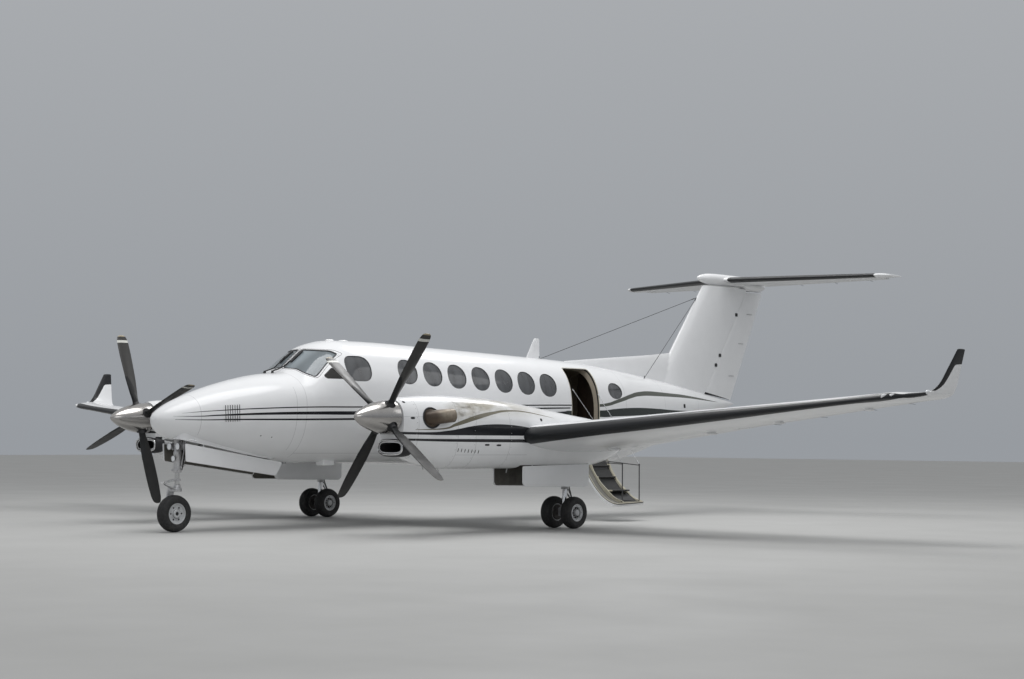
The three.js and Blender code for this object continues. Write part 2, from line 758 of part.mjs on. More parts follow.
function tailRing(x) {
  const [, lead, , trail, z, ratio] = tailRow(x);
  const normal = new THREE.Vector3(0, 0, 1);
  return foilRing(new THREE.Vector3(x, lead, z), new THREE.Vector3(x, trail, z), normal, ratio, 1, 1);
}

function tailHalf(x, y) {
  const [, lead, , trail, , ratio] = tailRow(x);
  const share = (y - lead) / (trail - lead);
  return sectionHalf(share, ratio) * (trail - lead) + EDGE_HALF * share;
}

function elevatorHinge(x) {
  const row = tailRow(x);
  return new THREE.Vector3(x, row[2], row[4]);
}

function elevatorRing(x) {
  const [, , hinge, trail, z] = tailRow(x);
  const radius = tailHalf(x, hinge);
  const ring = [];
  for (let k = 0; k <= 6; k += 1) {
    const angle = degrees(90 + 30 * k);
    ring.push(new THREE.Vector3(x, hinge + radius * Math.cos(angle), z + radius * Math.sin(angle)));
  }
  for (const [share, side] of TAIL_EDGE) {
    const y = mix(hinge, trail, share);
    ring.push(new THREE.Vector3(x, y, z + side * tailHalf(x, y)));
  }
  return ring;
}

function elevatorPocket(inner, outer) {
  const ring = (x) => {
    const row = tailRow(x);
    const wall = row[2] - tailHalf(x, row[2]) - MOVING_GAP - 4;
    return [[wall, -200], [wall + 900, -200], [wall + 900, 200], [wall, 200]]
      .map(([y, z]) => new THREE.Vector3(x, y, row[4] + z));
  };
  return solid(loft([ring(inner), ring(outer)]));
}

const bullet = turnedY(BULLET, 16, [0, 0, 4185]);
const tailplaneWhole = solid(loft([-2805, -2700, 0, 2700, 2805].map(tailRing)));
const elevatorPockets = [1, -1].map((side) => elevatorPocket(
  side * (ELEVATOR_INNER_X - SURFACE_SIDE_GAP),
  side * (ELEVATOR_OUTER_X + SURFACE_SIDE_GAP),
));
const rudderCut = rudderPocket(FIN_FOOT_Z - SURFACE_SIDE_GAP, FIN_TOP_Z + 20);
const finTopClear = join(
  turnedY(BULLET.map(([r, y]) => [r === 0 ? 0 : r + FIT_GAP, y]), 16, [0, 0, 4185]),
  boxSolid([-400, 4900, FIN_TOP_Z - 1], [400, 7200, 4400]),
);
place("fin", cut(join(finWhole, dorsal), fuselageClear, rudderCut, finTopClear), ...PAINT);
const tailplane = cut(join(tailplaneWhole, bullet), ...elevatorPockets);
place("tailplane", tailplane, ...PAINT);
const rudderBody = solid(loft([FIN_FOOT_Z, FIN[1][0], RUDDER_HEAD_Z].map(rudderRing)));
place("rudder", cut(rudderBody, fuselageSolid(-7000, TAIL_END_Y, -RUDDER_FOOT_GAP)), ...PAINT);

for (const [word, side] of [["left", 1], ["right", -1]]) {
  const geometry = loft([ELEVATOR_INNER_X, ELEVATOR_OUTER_X].map((x) => elevatorRing(side * x)));
  const inner = elevatorHinge(side * ELEVATOR_INNER_X);
  const outer = elevatorHinge(side * ELEVATOR_OUTER_X);
  const axis = outer.clone().sub(inner).normalize().multiplyScalar(side);
  geometry.translate(-inner.x, -inner.y, -inner.z);
  geometry.applyQuaternion(new THREE.Quaternion().setFromAxisAngle(axis, degrees(-ELEVATOR_DROOP)));
  geometry.translate(inner.x, inner.y, inner.z);
  place(`elevator_${word}`, solid(geometry), ...PAINT);
}

// Nacelles and wings, made on the port side and mirrored
const MAIN_BAY = { fore: -2880, aft: -1420, half: 262, roof: 1200 };
const ENGINE = { radius: 232, fore: -4980, aft: -3420 };
const EXHAUST_PATH = [
  [150, -4790, 0],
  [300, -4745, 14],
  [396, -4640, 30],
  [446, -4500, 42],
  [466, -4350, 50],
];

function exhaustTube(side, radius) {
  const path = new THREE.CatmullRomCurve3(EXHAUST_PATH.map(([x, y, z]) => new THREE.Vector3(
    ENGINE_X + side * x,
    y,
    SHAFT_Z + z,
  )));
  const ring = new THREE.Shape();
  ring.absarc(0, 0, radius, 0, 2 * Math.PI, false);
  return solid(new THREE.ExtrudeGeometry(ring, { steps: 7, curveSegments: 5, extrudePath: path }));
}

const INTAKE = { z: 1156, half: 218, rise: 86, front: -5128 };

function ovalRing(y, half, rise, z, sides = 16) {
  const ring = [];
  for (let k = 0; k < sides; k += 1) {
    const angle = (2 * Math.PI * k) / sides;
    const across = Math.sign(Math.cos(angle)) * Math.abs(Math.cos(angle)) ** 0.6;
    ring.push(new THREE.Vector3(ENGINE_X + half * across, y, z + rise * Math.sin(angle)));
  }
  return ring;
}

const intakeBody = solid(loft([
  ovalRing(INTAKE.front, INTAKE.half - 10, INTAKE.rise - 10, INTAKE.z),
  ovalRing(INTAKE.front + 25, INTAKE.half, INTAKE.rise, INTAKE.z),
  ovalRing(INTAKE.front + 160, INTAKE.half + 8, INTAKE.rise + 14, INTAKE.z - 4),
  ovalRing(INTAKE.front + 520, INTAKE.half + 20, INTAKE.rise + 60, INTAKE.z - 30),
]));
const intakeDuct = solid(loft([
  ovalRing(INTAKE.front - 10, INTAKE.half - 20, INTAKE.rise - 20, INTAKE.z),
  ovalRing(INTAKE.front + 330, INTAKE.half - 40, INTAKE.rise - 30, INTAKE.z),
]));
const engineRod = (spare, end) => rod(
  [ENGINE_X, ENGINE.fore - end, SHAFT_Z],
  [ENGINE_X, ENGINE.aft + end, SHAFT_Z - 10],
  ENGINE.radius + spare,
  14,
);
const engineBlock = engineRod(0, 0);
const engineSpace = engineRod(8, 2);
const nacelleHull = hullSolid(NACELLE, -5115, -360, 0, ENGINE_X);
const nacelleClear = hullSolid(NACELLE, -5115, -360, -FIT_GAP, ENGINE_X);
const nacelle = cut(
  join(nacelleHull, intakeBody),
  intakeDuct,
  engineSpace,
  ...[1, -1].map((side) => exhaustTube(side, 78)),
  boxSolid(
    [ENGINE_X - MAIN_BAY.half, MAIN_BAY.fore, 700],
    [ENGINE_X + MAIN_BAY.half, MAIN_BAY.aft, MAIN_BAY.roof],
  ),
);
const exhaustBores = [1, -1].map((side) => rod(
  [ENGINE_X + side * 452, -4440, SHAFT_Z + 47],
  [ENGINE_X + side * 466, -4300, SHAFT_Z + 51],
  64,
  10,
));
const engine = cut(join(engineBlock, ...[1, -1].map((side) => exhaustTube(side, 74))), ...exhaustBores);

const wingWhole = solid(loft(WING.map(wingRing)));
const wingCut = cut(
  wingWhole,
  nacelleClear,
  fuselageSolid(-7000, TAIL_END_Y, -FIT_GAP),
  ...WING_SURFACES.map(([, inner, outer, share]) => surfacePocket(
    inner - SURFACE_SIDE_GAP,
    outer + SURFACE_SIDE_GAP,
    share,
  )),
);
const wingPieces = wingCut.decompose().sort((a, b) => b.volume() - a.volume());

function bothSides(name, body, ...look) {
  place(`${name}_left`, body, ...look);
  place(`${name}_right`, mirrored(body), ...look);
}

bothSides("nacelle", nacelle, ...PAINT);
bothSides("engine", engine, ...STEEL);
bothSides("wing_outer", wingPieces[0], ...PAINT);
const padPoint = wingPoint(JACK_PAD.wingX, JACK_PAD.wingShare);
const wingJackPad = boxSolid(
  [JACK_PAD.wingX - JACK_PAD.half, padPoint.y - JACK_PAD.half, Math.round(padPoint.down) - JACK_PAD.stand],
  [JACK_PAD.wingX + JACK_PAD.half, padPoint.y + JACK_PAD.half, padPoint.z],
);
bothSides("wing_inner", join(wingPieces[1], wingJackPad), ...PAINT);
for (const [name, inner, outer, share] of WING_SURFACES) {
  const body = solid(loft(surfaceStops(inner, outer).map((x) => surfaceRing(x, share))));
  bothSides(name, cut(body, hullSolid(NACELLE, -5115, -360, -MOVING_GAP, ENGINE_X)), ...PAINT);
}

// Propellers. Columns: radius, chord, thickness, pitch from the feathered plane in degrees.
const BLADE = [
  [150, 96, 92, 0],
  [260, 96, 84, 4],
  [420, 150, 42, 6],
  [700, 196, 26, 4],
  [1000, 206, 19, 0],
  [1220, 184, 13, -4],
  [1310, 126, 9, -5],
  [PROP_RADIUS, 54, 6, -5],
];
const HUB_RADIUS = 128;

function bladeSolid(angle) {
  const rings = BLADE.map(([radius, chord, thickness, pitch]) => {
    const twist = degrees(pitch);
    const ring = [];
    for (let k = 0; k < 8; k += 1) {
      const turn = (2 * Math.PI * k) / 8;
      const along = (chord / 2) * Math.cos(turn);
      const through = (thickness / 2) * Math.sin(turn);
      ring.push(new THREE.Vector3(
        through * Math.cos(twist) - along * Math.sin(twist),
        along * Math.cos(twist) + through * Math.sin(twist),
        radius,
      ));
    }
    return ring;
  });
  const geometry = loft(rings);
  geometry.rotateY(degrees(angle));
  geometry.translate(0, PROP_Y, SHAFT_Z);
  return solid(geometry);
}

function shank(angle, radius) {
  const turn = degrees(angle);
  const end = [300 * Math.sin(turn), PROP_Y, SHAFT_Z + 300 * Math.cos(turn)];
  return rod([0, PROP_Y, SHAFT_Z], end, radius, 8);
}

const SPINNER = [
  [0, SPINNER_TIP_Y],
  [26, SPINNER_TIP_Y + 16],
  [88, SPINNER_TIP_Y + 98],
  [146, SPINNER_TIP_Y + 218],
  [190, SPINNER_TIP_Y + 352],
  [214, SPINNER_TIP_Y + 478],
  [SPINNER_RADIUS, SPINNER_REAR_Y - 40],
  [SPINNER_RADIUS, SPINNER_REAR_Y],
  [0, SPINNER_REAR_Y],
];

for (const [word, side, first] of [["left", 1, PORT_BLADE_ANGLE], ["right", -1, STARBOARD_BLADE_ANGLE]]) {
  const group = new THREE.Group();
  group.position.x = side * ENGINE_X;
  root.add(group);
  const angles = [0, 90, 180, 270].map((step) => first + step);
  const hub = rod([0, PROP_Y - 90, SHAFT_Z], [0, SPINNER_REAR_Y - 2, SHAFT_Z], HUB_RADIUS, 14);
  const hubSpace = rod([0, PROP_Y - 92, SHAFT_Z], [0, SPINNER_REAR_Y + 20, SHAFT_Z], HUB_RADIUS + 6, 14);
  const blades = join(hub, ...angles.map(bladeSolid), ...angles.map((angle) => shank(angle, 52)));
  const holes = angles.map((angle) => shank(angle, 62));
  const spinner = cut(turnedY(SPINNER, 16, [0, 0, SHAFT_Z]), hubSpace, ...holes);
  place(`spinner_${word}`, spinner, 0xd8d8da, 0.12, 1, group);
  place(`propeller_${word}`, blades, 0x303234, 0.45, 0.1, group);
}

// Nose gear
const NOSE_LEG = { top: 1425, sleeve: 58, piston: 34, collarLow: 540, collarHigh: 600 };
const noseLeg = join(
  rod([0, STEER_Y, 800], [0, STEER_Y, NOSE_LEG.top], NOSE_LEG.sleeve, 16),
  rod([-200, STEER_Y, 1345], [200, STEER_Y, 1345], 34, 12),
  rod([0, STEER_Y + 30, 900], [0, STEER_Y + 700, 1400], 24, 10),
);
place("nose_leg", cut(noseLeg, rod([0, STEER_Y, 700], [0, STEER_Y, 900], NOSE_LEG.piston + 2, 16)), ...STEEL);
const forkPlate = sidePlate(
  [
    [NOSE_AXLE.y - 46, NOSE_AXLE.z - 40],
    [NOSE_AXLE.y + 46, NOSE_AXLE.z - 40],
    [NOSE_AXLE.y + 62, 480],
    [STEER_Y + 60, NOSE_LEG.collarHigh],
    [STEER_Y - 60, NOSE_LEG.collarHigh],
    [NOSE_AXLE.y - 62, 480],
  ],
  -136,
  -100,
);
const noseFork = join(
  rod([0, STEER_Y, NOSE_LEG.collarLow], [0, STEER_Y, 890], NOSE_LEG.piston, 16),
  boxSolid([-136, STEER_Y - 60, NOSE_LEG.collarLow], [60, STEER_Y + 60, NOSE_LEG.collarHigh]),
  forkPlate,
  rod([-130, NOSE_AXLE.y, NOSE_AXLE.z], [50, NOSE_AXLE.y, NOSE_AXLE.z], 22, 14),
  rod([0, STEER_Y, 700], [0, STEER_Y - 240, 660], 16, 8),
  rod([0, STEER_Y, NOSE_LEG.collarLow + 30], [0, STEER_Y - 240, 660], 16, 8),
);
place("nose_fork", noseFork, ...STEEL);
const noseCentre = [0, NOSE_AXLE.y, NOSE_AXLE.z];
place("nose_tyre", turnedX(tyreProfile(NOSE_TYRE), WHEEL_SIDES, noseCentre), ...RUBBER);
const noseBore = rod([-120, NOSE_AXLE.y, NOSE_AXLE.z], [55, NOSE_AXLE.y, NOSE_AXLE.z], 23, 14);
place("nose_rim", cut(turnedX(rimProfile(NOSE_TYRE), WHEEL_SIDES, noseCentre), noseBore), ...STEEL);

// Main gear
for (const [word, side] of [["left", 1], ["right", -1]]) {
  const x = side * ENGINE_X;
  const { y, z } = MAIN_AXLE;
  const leg = join(
    rod([x, y + 30, 560], [x, y + 60, 1195], 62, 10),
    rod([x, y, z + 40], [x, y + 30, 570], 40, 10),
    rod([x - 240, y + 55, 1120], [x + 240, y + 55, 1120], 32, 8),
    boxSolid([x - 62, y - 62, z - 55], [x + 62, y + 62, z + 70]),
    rod([x, y + 40, 540], [x, y + 190, 390], 16, 6),
    rod([x, y + 20, z + 20], [x, y + 190, 390], 16, 6),
    rod([x, y + 20, 720], [x, y - 900, 1120], 26, 8),
    rod([x - 200, y - 900, 1120], [x + 200, y - 900, 1120], 22, 8),
  );
  place(`main_leg_${word}`, cut(leg, rod([x - 80, y, z], [x + 80, y, z], 37, 12)), ...STEEL);
  const rims = [-1, 1].map((twin) => {
    const centre = [x + twin * TWIN_OFFSET, y, z];
    return turnedX(rimProfile(MAIN_TYRE), WHEEL_SIDES, centre);
  });
  const axle = rod([x - TWIN_OFFSET, y, z], [x + TWIN_OFFSET, y, z], 35, 12);
  place(`main_wheels_${word}`, join(axle, ...rims), ...STEEL);
  for (const [place2, twin] of [["outer", side], ["inner", -side]]) {
    const centre = [x + twin * TWIN_OFFSET, y, z];
    place(`main_tyre_${word}_${place2}`, turnedX(tyreProfile(MAIN_TYRE), WHEEL_SIDES, centre), ...RUBBER);
  }
}

// Gear doors hang beside their bays. Columns: name, x of the panel, outline in y and z.
const NOSE_DOOR = [[-6630, 1190], [-6615, 950], [-5053, 745], [-4935, 930]];
const MAIN_DOOR = [[-2850, 862], [-2850, 660], [-2810, 622], [-1590, 600], [-1540, 634], [-1540, 862]];
const DOOR_PANEL = 20;
const GEAR_DOORS = [
  ["nose_door_left", 232, NOSE_DOOR],
  ["nose_door_right", -252, NOSE_DOOR],
  ["main_door_left_outer", ENGINE_X + MAIN_BAY.half + 6, MAIN_DOOR],
  ["main_door_left_inner", ENGINE_X - MAIN_BAY.half - 26, MAIN_DOOR],
  ["main_door_right_outer", -ENGINE_X - MAIN_BAY.half - 26, MAIN_DOOR],
  ["main_door_right_inner", -ENGINE_X + MAIN_BAY.half + 6, MAIN_DOOR],
];
for (const [name, x, outline] of GEAR_DOORS) {
  const clear = [nacelleClear, mirrored(nacelleClear), fuselageClear];
  place(name, cut(sidePlate(outline, x, x + DOOR_PANEL), ...clear), ...PAINT);
}

// Airstair, made closed in the doorway and then swung open about its lower hinge
const doorBand = (spare) => cut(fuselageSolid(400, 1500, -spare), fuselageSolid(380, 1520, SKIN + spare));
const doorClosed = doorBand(0).intersect(doorway(MOVING_GAP));

function swungOpen(body) {
  const geometry = geometryOf(body);
  geometry.translate(-DOOR_HINGE.x, 0, -DOOR_HINGE.z);
  geometry.rotateY(degrees(DOOR_OPEN_ANGLE));
  geometry.translate(DOOR_HINGE.x, 0, DOOR_HINGE.z);
  return solid(geometry);
}

place("airstair_door", swungOpen(doorClosed), ...PAINT);

// Steps, in the open position: two stringers along the open panel with treads between.
const STEP = { fore: 790, aft: 1260, stringer: 24, thickness: 22 };
const STRINGER = [
  [1004, 886],
  [1030, 832],
  [1209, 575],
  [1310, 468],
  [1352, 424],
  [1452, 353],
  [1495, 324],
  [1598, 285],
  [1643, 268],
  [1722, 276],
  [1722, 314],
  [1700, 321],
  [1598, 350],
  [1516, 392],
  [1414, 475],
  [1281, 584],
  [1185, 690],
  [1110, 790],
  [1070, 886],
];
// Treads. Columns: inner edge x, outer edge x, top z.
const TREADS = [
  [1020, 1076, 868],
  [1136, 1207, 692],
  [1306, 1490, 486],
];
// Handrail posts. Columns: x, y, foot z, top z.
const POSTS = [
  [1700, 802, 296, 905],
  [1680, 1248, 300, 885],
];
const POST_RADIUS = 9;
const RAIL = { radius: 7, footX: 1056, footZ: 860, topZ: 935 };
const stringer = (y) => frontPlate(STRINGER, y, y + STEP.stringer);
const steps = join(
  stringer(STEP.fore),
  stringer(STEP.aft - STEP.stringer),
  ...TREADS.map(([inner, outer, z]) => boxSolid(
    [inner, STEP.fore + 10, z - STEP.thickness],
    [outer, STEP.aft - 10, z],
  )),
  ...POSTS.map(([x, y, foot, top]) => rod([x, y, foot], [x, y, top], POST_RADIUS, 8)),
  ...POSTS.map(([x, y, , top]) => rod([x, y, top - 10], [RAIL.footX, y, RAIL.topZ - 8], RAIL.radius, 8)),
  ...POSTS.map(([, y]) => rod([RAIL.footX, y, RAIL.footZ], [RAIL.footX, y, RAIL.topZ], RAIL.radius, 8)),
);
const doorClear = swungOpen(doorBand(FIT_GAP).intersect(doorway(MOVING_GAP - 4)));
place("airstair_steps", cut(steps, doorClear), 0xd9d2bd, 0.5);

const CABLES = [
  ["airstair_cable_fore", [790, 655, 2076], [1695, 802, 918]],
  ["airstair_cable_aft", [786, 1290, 2010], [1675, 1248, 898]],
];
for (const [name, start, end] of CABLES) place(name, rod(start, end, 4, 8), 0x9a9c9e, 0.4, 0.8);

// Antenna blade on the roof
const antenna = sidePlate([[396, 2578], [538, 2905], [592, 2912], [738, 2568], [520, 2540]], -10, 10);
place("blade_antenna", cut(antenna, fuselageClear), ...PAINT);

export default root;
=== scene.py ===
"""Looks of a twin turboprop aircraft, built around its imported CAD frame.

Metres, +Z up, nose towards -Y, port side towards +X. Every sub-assembly is a class
whose fields hold its sizes; main() builds them in order.
"""

import json
import logging
import math
from collections.abc import Callable, Iterable, Sequence
from dataclasses import dataclass
from enum import Enum

import bmesh
import bpy
import numpy as np
from mathutils import Matrix, Vector

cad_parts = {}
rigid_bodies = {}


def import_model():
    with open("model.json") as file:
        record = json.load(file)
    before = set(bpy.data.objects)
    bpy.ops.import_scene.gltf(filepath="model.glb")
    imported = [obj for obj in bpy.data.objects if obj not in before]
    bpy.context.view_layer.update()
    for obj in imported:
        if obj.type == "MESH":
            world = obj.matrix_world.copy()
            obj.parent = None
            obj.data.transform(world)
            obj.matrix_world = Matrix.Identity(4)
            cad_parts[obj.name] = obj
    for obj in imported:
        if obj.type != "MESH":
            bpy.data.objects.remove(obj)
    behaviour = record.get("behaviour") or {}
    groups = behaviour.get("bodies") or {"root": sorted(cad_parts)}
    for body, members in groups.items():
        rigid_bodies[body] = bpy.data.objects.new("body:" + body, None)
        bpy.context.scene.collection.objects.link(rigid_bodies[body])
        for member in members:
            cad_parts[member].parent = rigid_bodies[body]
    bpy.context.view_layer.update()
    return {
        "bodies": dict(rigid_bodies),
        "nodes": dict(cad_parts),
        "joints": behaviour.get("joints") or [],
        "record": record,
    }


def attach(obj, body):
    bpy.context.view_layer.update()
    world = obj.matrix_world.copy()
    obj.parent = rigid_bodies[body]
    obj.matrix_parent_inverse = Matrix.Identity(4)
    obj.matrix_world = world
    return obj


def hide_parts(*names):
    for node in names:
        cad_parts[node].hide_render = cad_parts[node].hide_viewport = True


LOG = logging.getLogger("aircraft")
AIRFRAME = "airframe"
Colour = tuple[float, float, float]
Point = Sequence[float]

# Fuselage stations. Columns: y, top, bottom, half width, height of the widest line, power.
FUSELAGE_ROWS = (
    (-7.000, 1.502, 1.498, 0.002, 1.500, 2.00),
    (-6.976, 1.562, 1.415, 0.074, 1.500, 2.00),
    (-6.910, 1.628, 1.339, 0.148, 1.505, 2.00),
    (-6.775, 1.706, 1.262, 0.232, 1.512, 2.05),
    (-6.592, 1.788, 1.220, 0.308, 1.525, 2.10),
    (-6.161, 1.939, 1.146, 0.430, 1.560, 2.15),
    (-5.733, 2.053, 1.066, 0.540, 1.600, 2.20),
    (-5.235, 2.152, 0.988, 0.652, 1.660, 2.30),
    (-4.900, 2.196, 0.948, 0.718, 1.700, 2.30),
    (-4.790, 2.240, 0.938, 0.738, 1.712, 2.25),
    (-4.600, 2.388, 0.925, 0.757, 1.740, 2.20),
    (-4.410, 2.530, 0.918, 0.772, 1.765, 2.25),
    (-4.200, 2.628, 0.914, 0.785, 1.785, 2.35),
    (-3.900, 2.684, 0.912, 0.796, 1.795, 2.50),
    (-3.400, 2.688, 0.910, 0.802, 1.790, 2.60),
    (-1.830, 2.650, 0.868, 0.802, 1.760, 2.60),
    (0.290, 2.588, 0.818, 0.802, 1.700, 2.60),
    (1.220, 2.552, 0.802, 0.795, 1.680, 2.55),
    (2.000, 2.494, 0.850, 0.748, 1.690, 2.40),
    (3.000, 2.392, 1.030, 0.630, 1.750, 2.25),
    (4.000, 2.272, 1.310, 0.455, 1.810, 2.15),
    (5.000, 2.134, 1.612, 0.250, 1.880, 2.05),
    (5.700, 2.024, 1.842, 0.106, 1.935, 2.00),
    (6.000, 1.972, 1.915, 0.042, 1.944, 2.00),
    (6.085, 1.948, 1.938, 0.008, 1.943, 2.00),
)
# Nacelle stations, with the same columns, about the engine's centre line.
NACELLE_ROWS = (
    (-5.115, 1.790, 1.130, 0.236, 1.520, 2.10),
    (-5.040, 1.808, 1.062, 0.262, 1.500, 2.15),
    (-4.900, 1.822, 1.004, 0.300, 1.480, 2.20),
    (-4.600, 1.842, 0.918, 0.352, 1.440, 2.30),
    (-4.200, 1.852, 0.872, 0.392, 1.400, 2.45),
    (-3.600, 1.834, 0.866, 0.425, 1.370, 2.55),
    (-3.000, 1.792, 0.866, 0.445, 1.340, 2.60),
    (-2.200, 1.694, 0.866, 0.445, 1.290, 2.60),
    (-1.500, 1.612, 0.872, 0.420, 1.260, 2.50),
    (-1.000, 1.548, 0.930, 0.355, 1.260, 2.30),
    (-0.650, 1.470, 1.030, 0.255, 1.262, 2.10),
    (-0.420, 1.352, 1.150, 0.130, 1.258, 2.00),
    (-0.360, 1.270, 1.240, 0.030, 1.256, 2.00),
)
# Wing sections. Columns: leading edge x, y, z; trailing edge x, y, z; thickness; cant.
WING_ROWS = (
    (0.600, -3.050, 1.165, 0.600, -0.850, 1.012, 0.170, 0),
    (2.600, -3.035, 1.262, 2.600, -0.838, 1.098, 0.165, 0),
    (3.080, -3.015, 1.306, 3.080, -0.830, 1.132, 0.160, 0),
    (5.600, -2.706, 1.547, 5.600, -1.084, 1.462, 0.142, 0),
    (8.350, -2.370, 1.810, 8.350, -1.360, 1.786, 0.118, 0),
    (8.545, -2.110, 1.836, 8.552, -1.347, 1.808, 0.108, 16),
    (8.696, -1.868, 1.884, 8.688, -1.324, 1.850, 0.100, 46),
    (8.750, -1.745, 1.970, 8.745, -1.312, 1.945, 0.096, 70),
    (8.798, -1.585, 2.195, 8.800, -1.291, 2.190, 0.094, 75),
    (8.838, -1.440, 2.415, 8.846, -1.270, 2.415, 0.094, 78),
)
# Fin sections. Columns: z, leading edge y, hinge y, trailing edge y, thickness.
FIN_ROWS = (
    (1.980, 3.558, 5.042, 5.982, 0.100),
    (3.090, 4.405, 5.805, 6.540, 0.098),
    (4.060, 5.160, 6.472, 7.008, 0.095),
)
# Tailplane sections. Columns: x, leading edge y, hinge y, trailing edge y, z, thickness.
TAILPLANE_ROWS = (
    (0.000, 5.610, 6.480, 6.850, 4.185, 0.100),
    (2.700, 6.462, 6.900, 7.106, 4.190, 0.128),
    (2.820, 6.500, 6.914, 7.110, 4.190, 0.124),
    (2.930, 6.640, 6.930, 7.112, 4.190, 0.090),
)
ENGINE_X = 2.615
SHAFT_Z = 1.552
# First and last station that the windscreen can lie between.
SCREEN_REACH = (-5.2, -3.9)
# Blade sections. Columns: radius, chord, thickness, pitch in degrees.
BLADE_ROWS = (
    (0.150, 0.096, 0.092, 0),
    (0.260, 0.100, 0.080, 4),
    (0.420, 0.150, 0.042, 6),
    (0.700, 0.196, 0.026, 4),
    (1.000, 0.206, 0.019, 0),
    (1.220, 0.190, 0.013, -4),
    (1.300, 0.150, 0.010, -5),
    (1.327, 0.100, 0.008, -5),
    (1.335, 0.040, 0.006, -5),
)


class Side(Enum):
    """A side of the aircraft and the sign of its x."""

    LEFT = 1
    RIGHT = -1

    @property
    def word(self) -> str:
        """The side's word in node and body names."""
        return self.name.lower()


class Axis(Enum):
    """The axis that a plate's thickness lies along."""

    X = (1, 2, 0)
    Y = (0, 2, 1)
    Z = (0, 1, 2)


class Cut(Enum):
    """What a carving tool does to its target."""

    TAKE = "DIFFERENCE"
    KEEP = "INTERSECT"
    JOIN = "UNION"


# Curves and outlines


def smooth(rows: Sequence[Point], at: float | np.ndarray) -> np.ndarray:
    """Reads a station table between its rows, cubic and without overshoot.

    Args:
        rows: Table whose first column rises.
        at: Stations to read.

    Returns:
        One row of the other columns for each station.
    """
    table = np.asarray(rows, float)
    x, values = table[:, 0], table[:, 1:]
    at = np.clip(np.atleast_1d(at), x[0], x[-1])
    slope = np.diff(values, axis=0) / np.diff(x)[:, None]
    before, after = slope[:-1], slope[1:]
    total = np.where(before + after == 0, 1, before + after)
    middle = np.where(before * after > 0, 2 * before * after / total, 0)
    tangent = np.vstack([slope[:1], middle, slope[-1:]])
    i = np.clip(np.searchsorted(x, at) - 1, 0, len(x) - 2)
    span = (x[i + 1] - x[i])[:, None]
    t = (at - x[i])[:, None] / span
    start = values[i] * (1 + 2 * t) * (1 - t) ** 2 + tangent[i] * span * t * (1 - t) ** 2
    end = values[i + 1] * t * t * (3 - 2 * t) + tangent[i + 1] * span * t * t * (t - 1)
    return start + end


def straight(rows: Sequence[Point], at: float | np.ndarray) -> np.ndarray:
    """Reads a station table between its rows in straight lines.

    Args:
        rows: Table whose first column rises.
        at: Stations to read.

    Returns:
        One row of the other columns for each station.
    """
    table = np.asarray(rows, float)
    at = np.atleast_1d(at)
    return np.stack([np.interp(at, table[:, 0], column) for column in table[:, 1:].T], axis=1)


def unit(vector: Point) -> np.ndarray:
    """Returns the vector at a length of one."""
    vector = np.asarray(vector, float)
    return vector / np.linalg.norm(vector)


def turns(count: int) -> np.ndarray:
    """Returns so many angles spread evenly over a full turn."""
    return np.arange(count) * 2 * math.pi / count


def scaled(outline: np.ndarray, share: float | Point, middle: Point | None = None) -> np.ndarray:
    """Draws an outline in or out about its own middle, or about the one given."""
    middle = outline.mean(axis=0) if middle is None else middle
    return middle + (outline - middle) * share


def flowing(points: Sequence[Point], count: int) -> np.ndarray:
    """Runs a smooth open line through some points.

    Args:
        points: Points that the line passes.
        count: Number of points returned.

    Returns:
        Points along the line, evenly spaced by chord.
    """
    points = np.asarray(points, float)
    lengths = np.r_[0, np.cumsum(np.linalg.norm(np.diff(points, axis=0), axis=1))]
    return smooth(np.c_[lengths, points], np.linspace(0, lengths[-1], count))


def even_loop(points: np.ndarray, count: int) -> np.ndarray:
    """Spaces a closed line evenly within each of its quarters.

    Args:
        points: Dense closed line; its first point isn't repeated.
        count: Number of points returned, a multiple of four.

    Returns:
        The evenly spaced points.
    """
    closed = np.vstack([points, points[:1]])
    lengths = np.r_[0, np.cumsum(np.linalg.norm(np.diff(closed, axis=0), axis=1))]
    quarter = len(points) // 4
    corners = lengths[[0, quarter, 2 * quarter, 3 * quarter, 4 * quarter]]
    steps = np.arange(count // 4) / (count // 4)
    at = np.concatenate([a + (b - a) * steps for a, b in zip(corners, corners[1:])])
    return np.stack([np.interp(at, lengths, column) for column in closed.T], axis=1)


def rounded(corners: Sequence[Point], radius: float, steps: int = 6) -> np.ndarray:
    """Rounds the corners of a flat polygon.

    Args:
        corners: The polygon's corners.
        radius: Distance along each edge at which the rounding starts.
        steps: Points for each corner, less one.

    Returns:
        The rounded outline.
    """
    corners = np.asarray(corners, float)
    share = np.linspace(0, 1, steps + 1)[:, None]
    outline = []
    for before, corner, after in zip(np.roll(corners, 1, 0), corners, np.roll(corners, -1, 0)):
        near = min(radius, np.linalg.norm(before - corner) * 0.49)
        far = min(radius, np.linalg.norm(after - corner) * 0.49)
        start = corner + unit(before - corner) * near
        end = corner + unit(after - corner) * far
        outline.append((1 - share) ** 2 * start + 2 * share * (1 - share) * corner + share**2 * end)
    return np.vstack(outline)


def rectangle(low: Point, high: Point) -> list[tuple[float, float]]:
    """Returns the four corners of a flat rectangle."""
    return [(low[0], low[1]), (high[0], low[1]), (high[0], high[1]), (low[0], high[1])]


def oval(centre: Point, half: Point, count: int = 48, power: float = 2.0) -> np.ndarray:
    """Draws a flat oval.

    Args:
        centre: Its middle.
        half: Its half width and half height.
        count: Number of points.
        power: 2 for an ellipse, more for squarer shoulders.

    Returns:
        The outline.
    """
    turn = turns(count * 8)
    flat = np.stack([np.cos(turn), np.sin(turn)], axis=1)
    dense = np.sign(flat) * np.abs(flat) ** (2 / power) * half + centre
    return even_loop(dense, count)


# Meshes


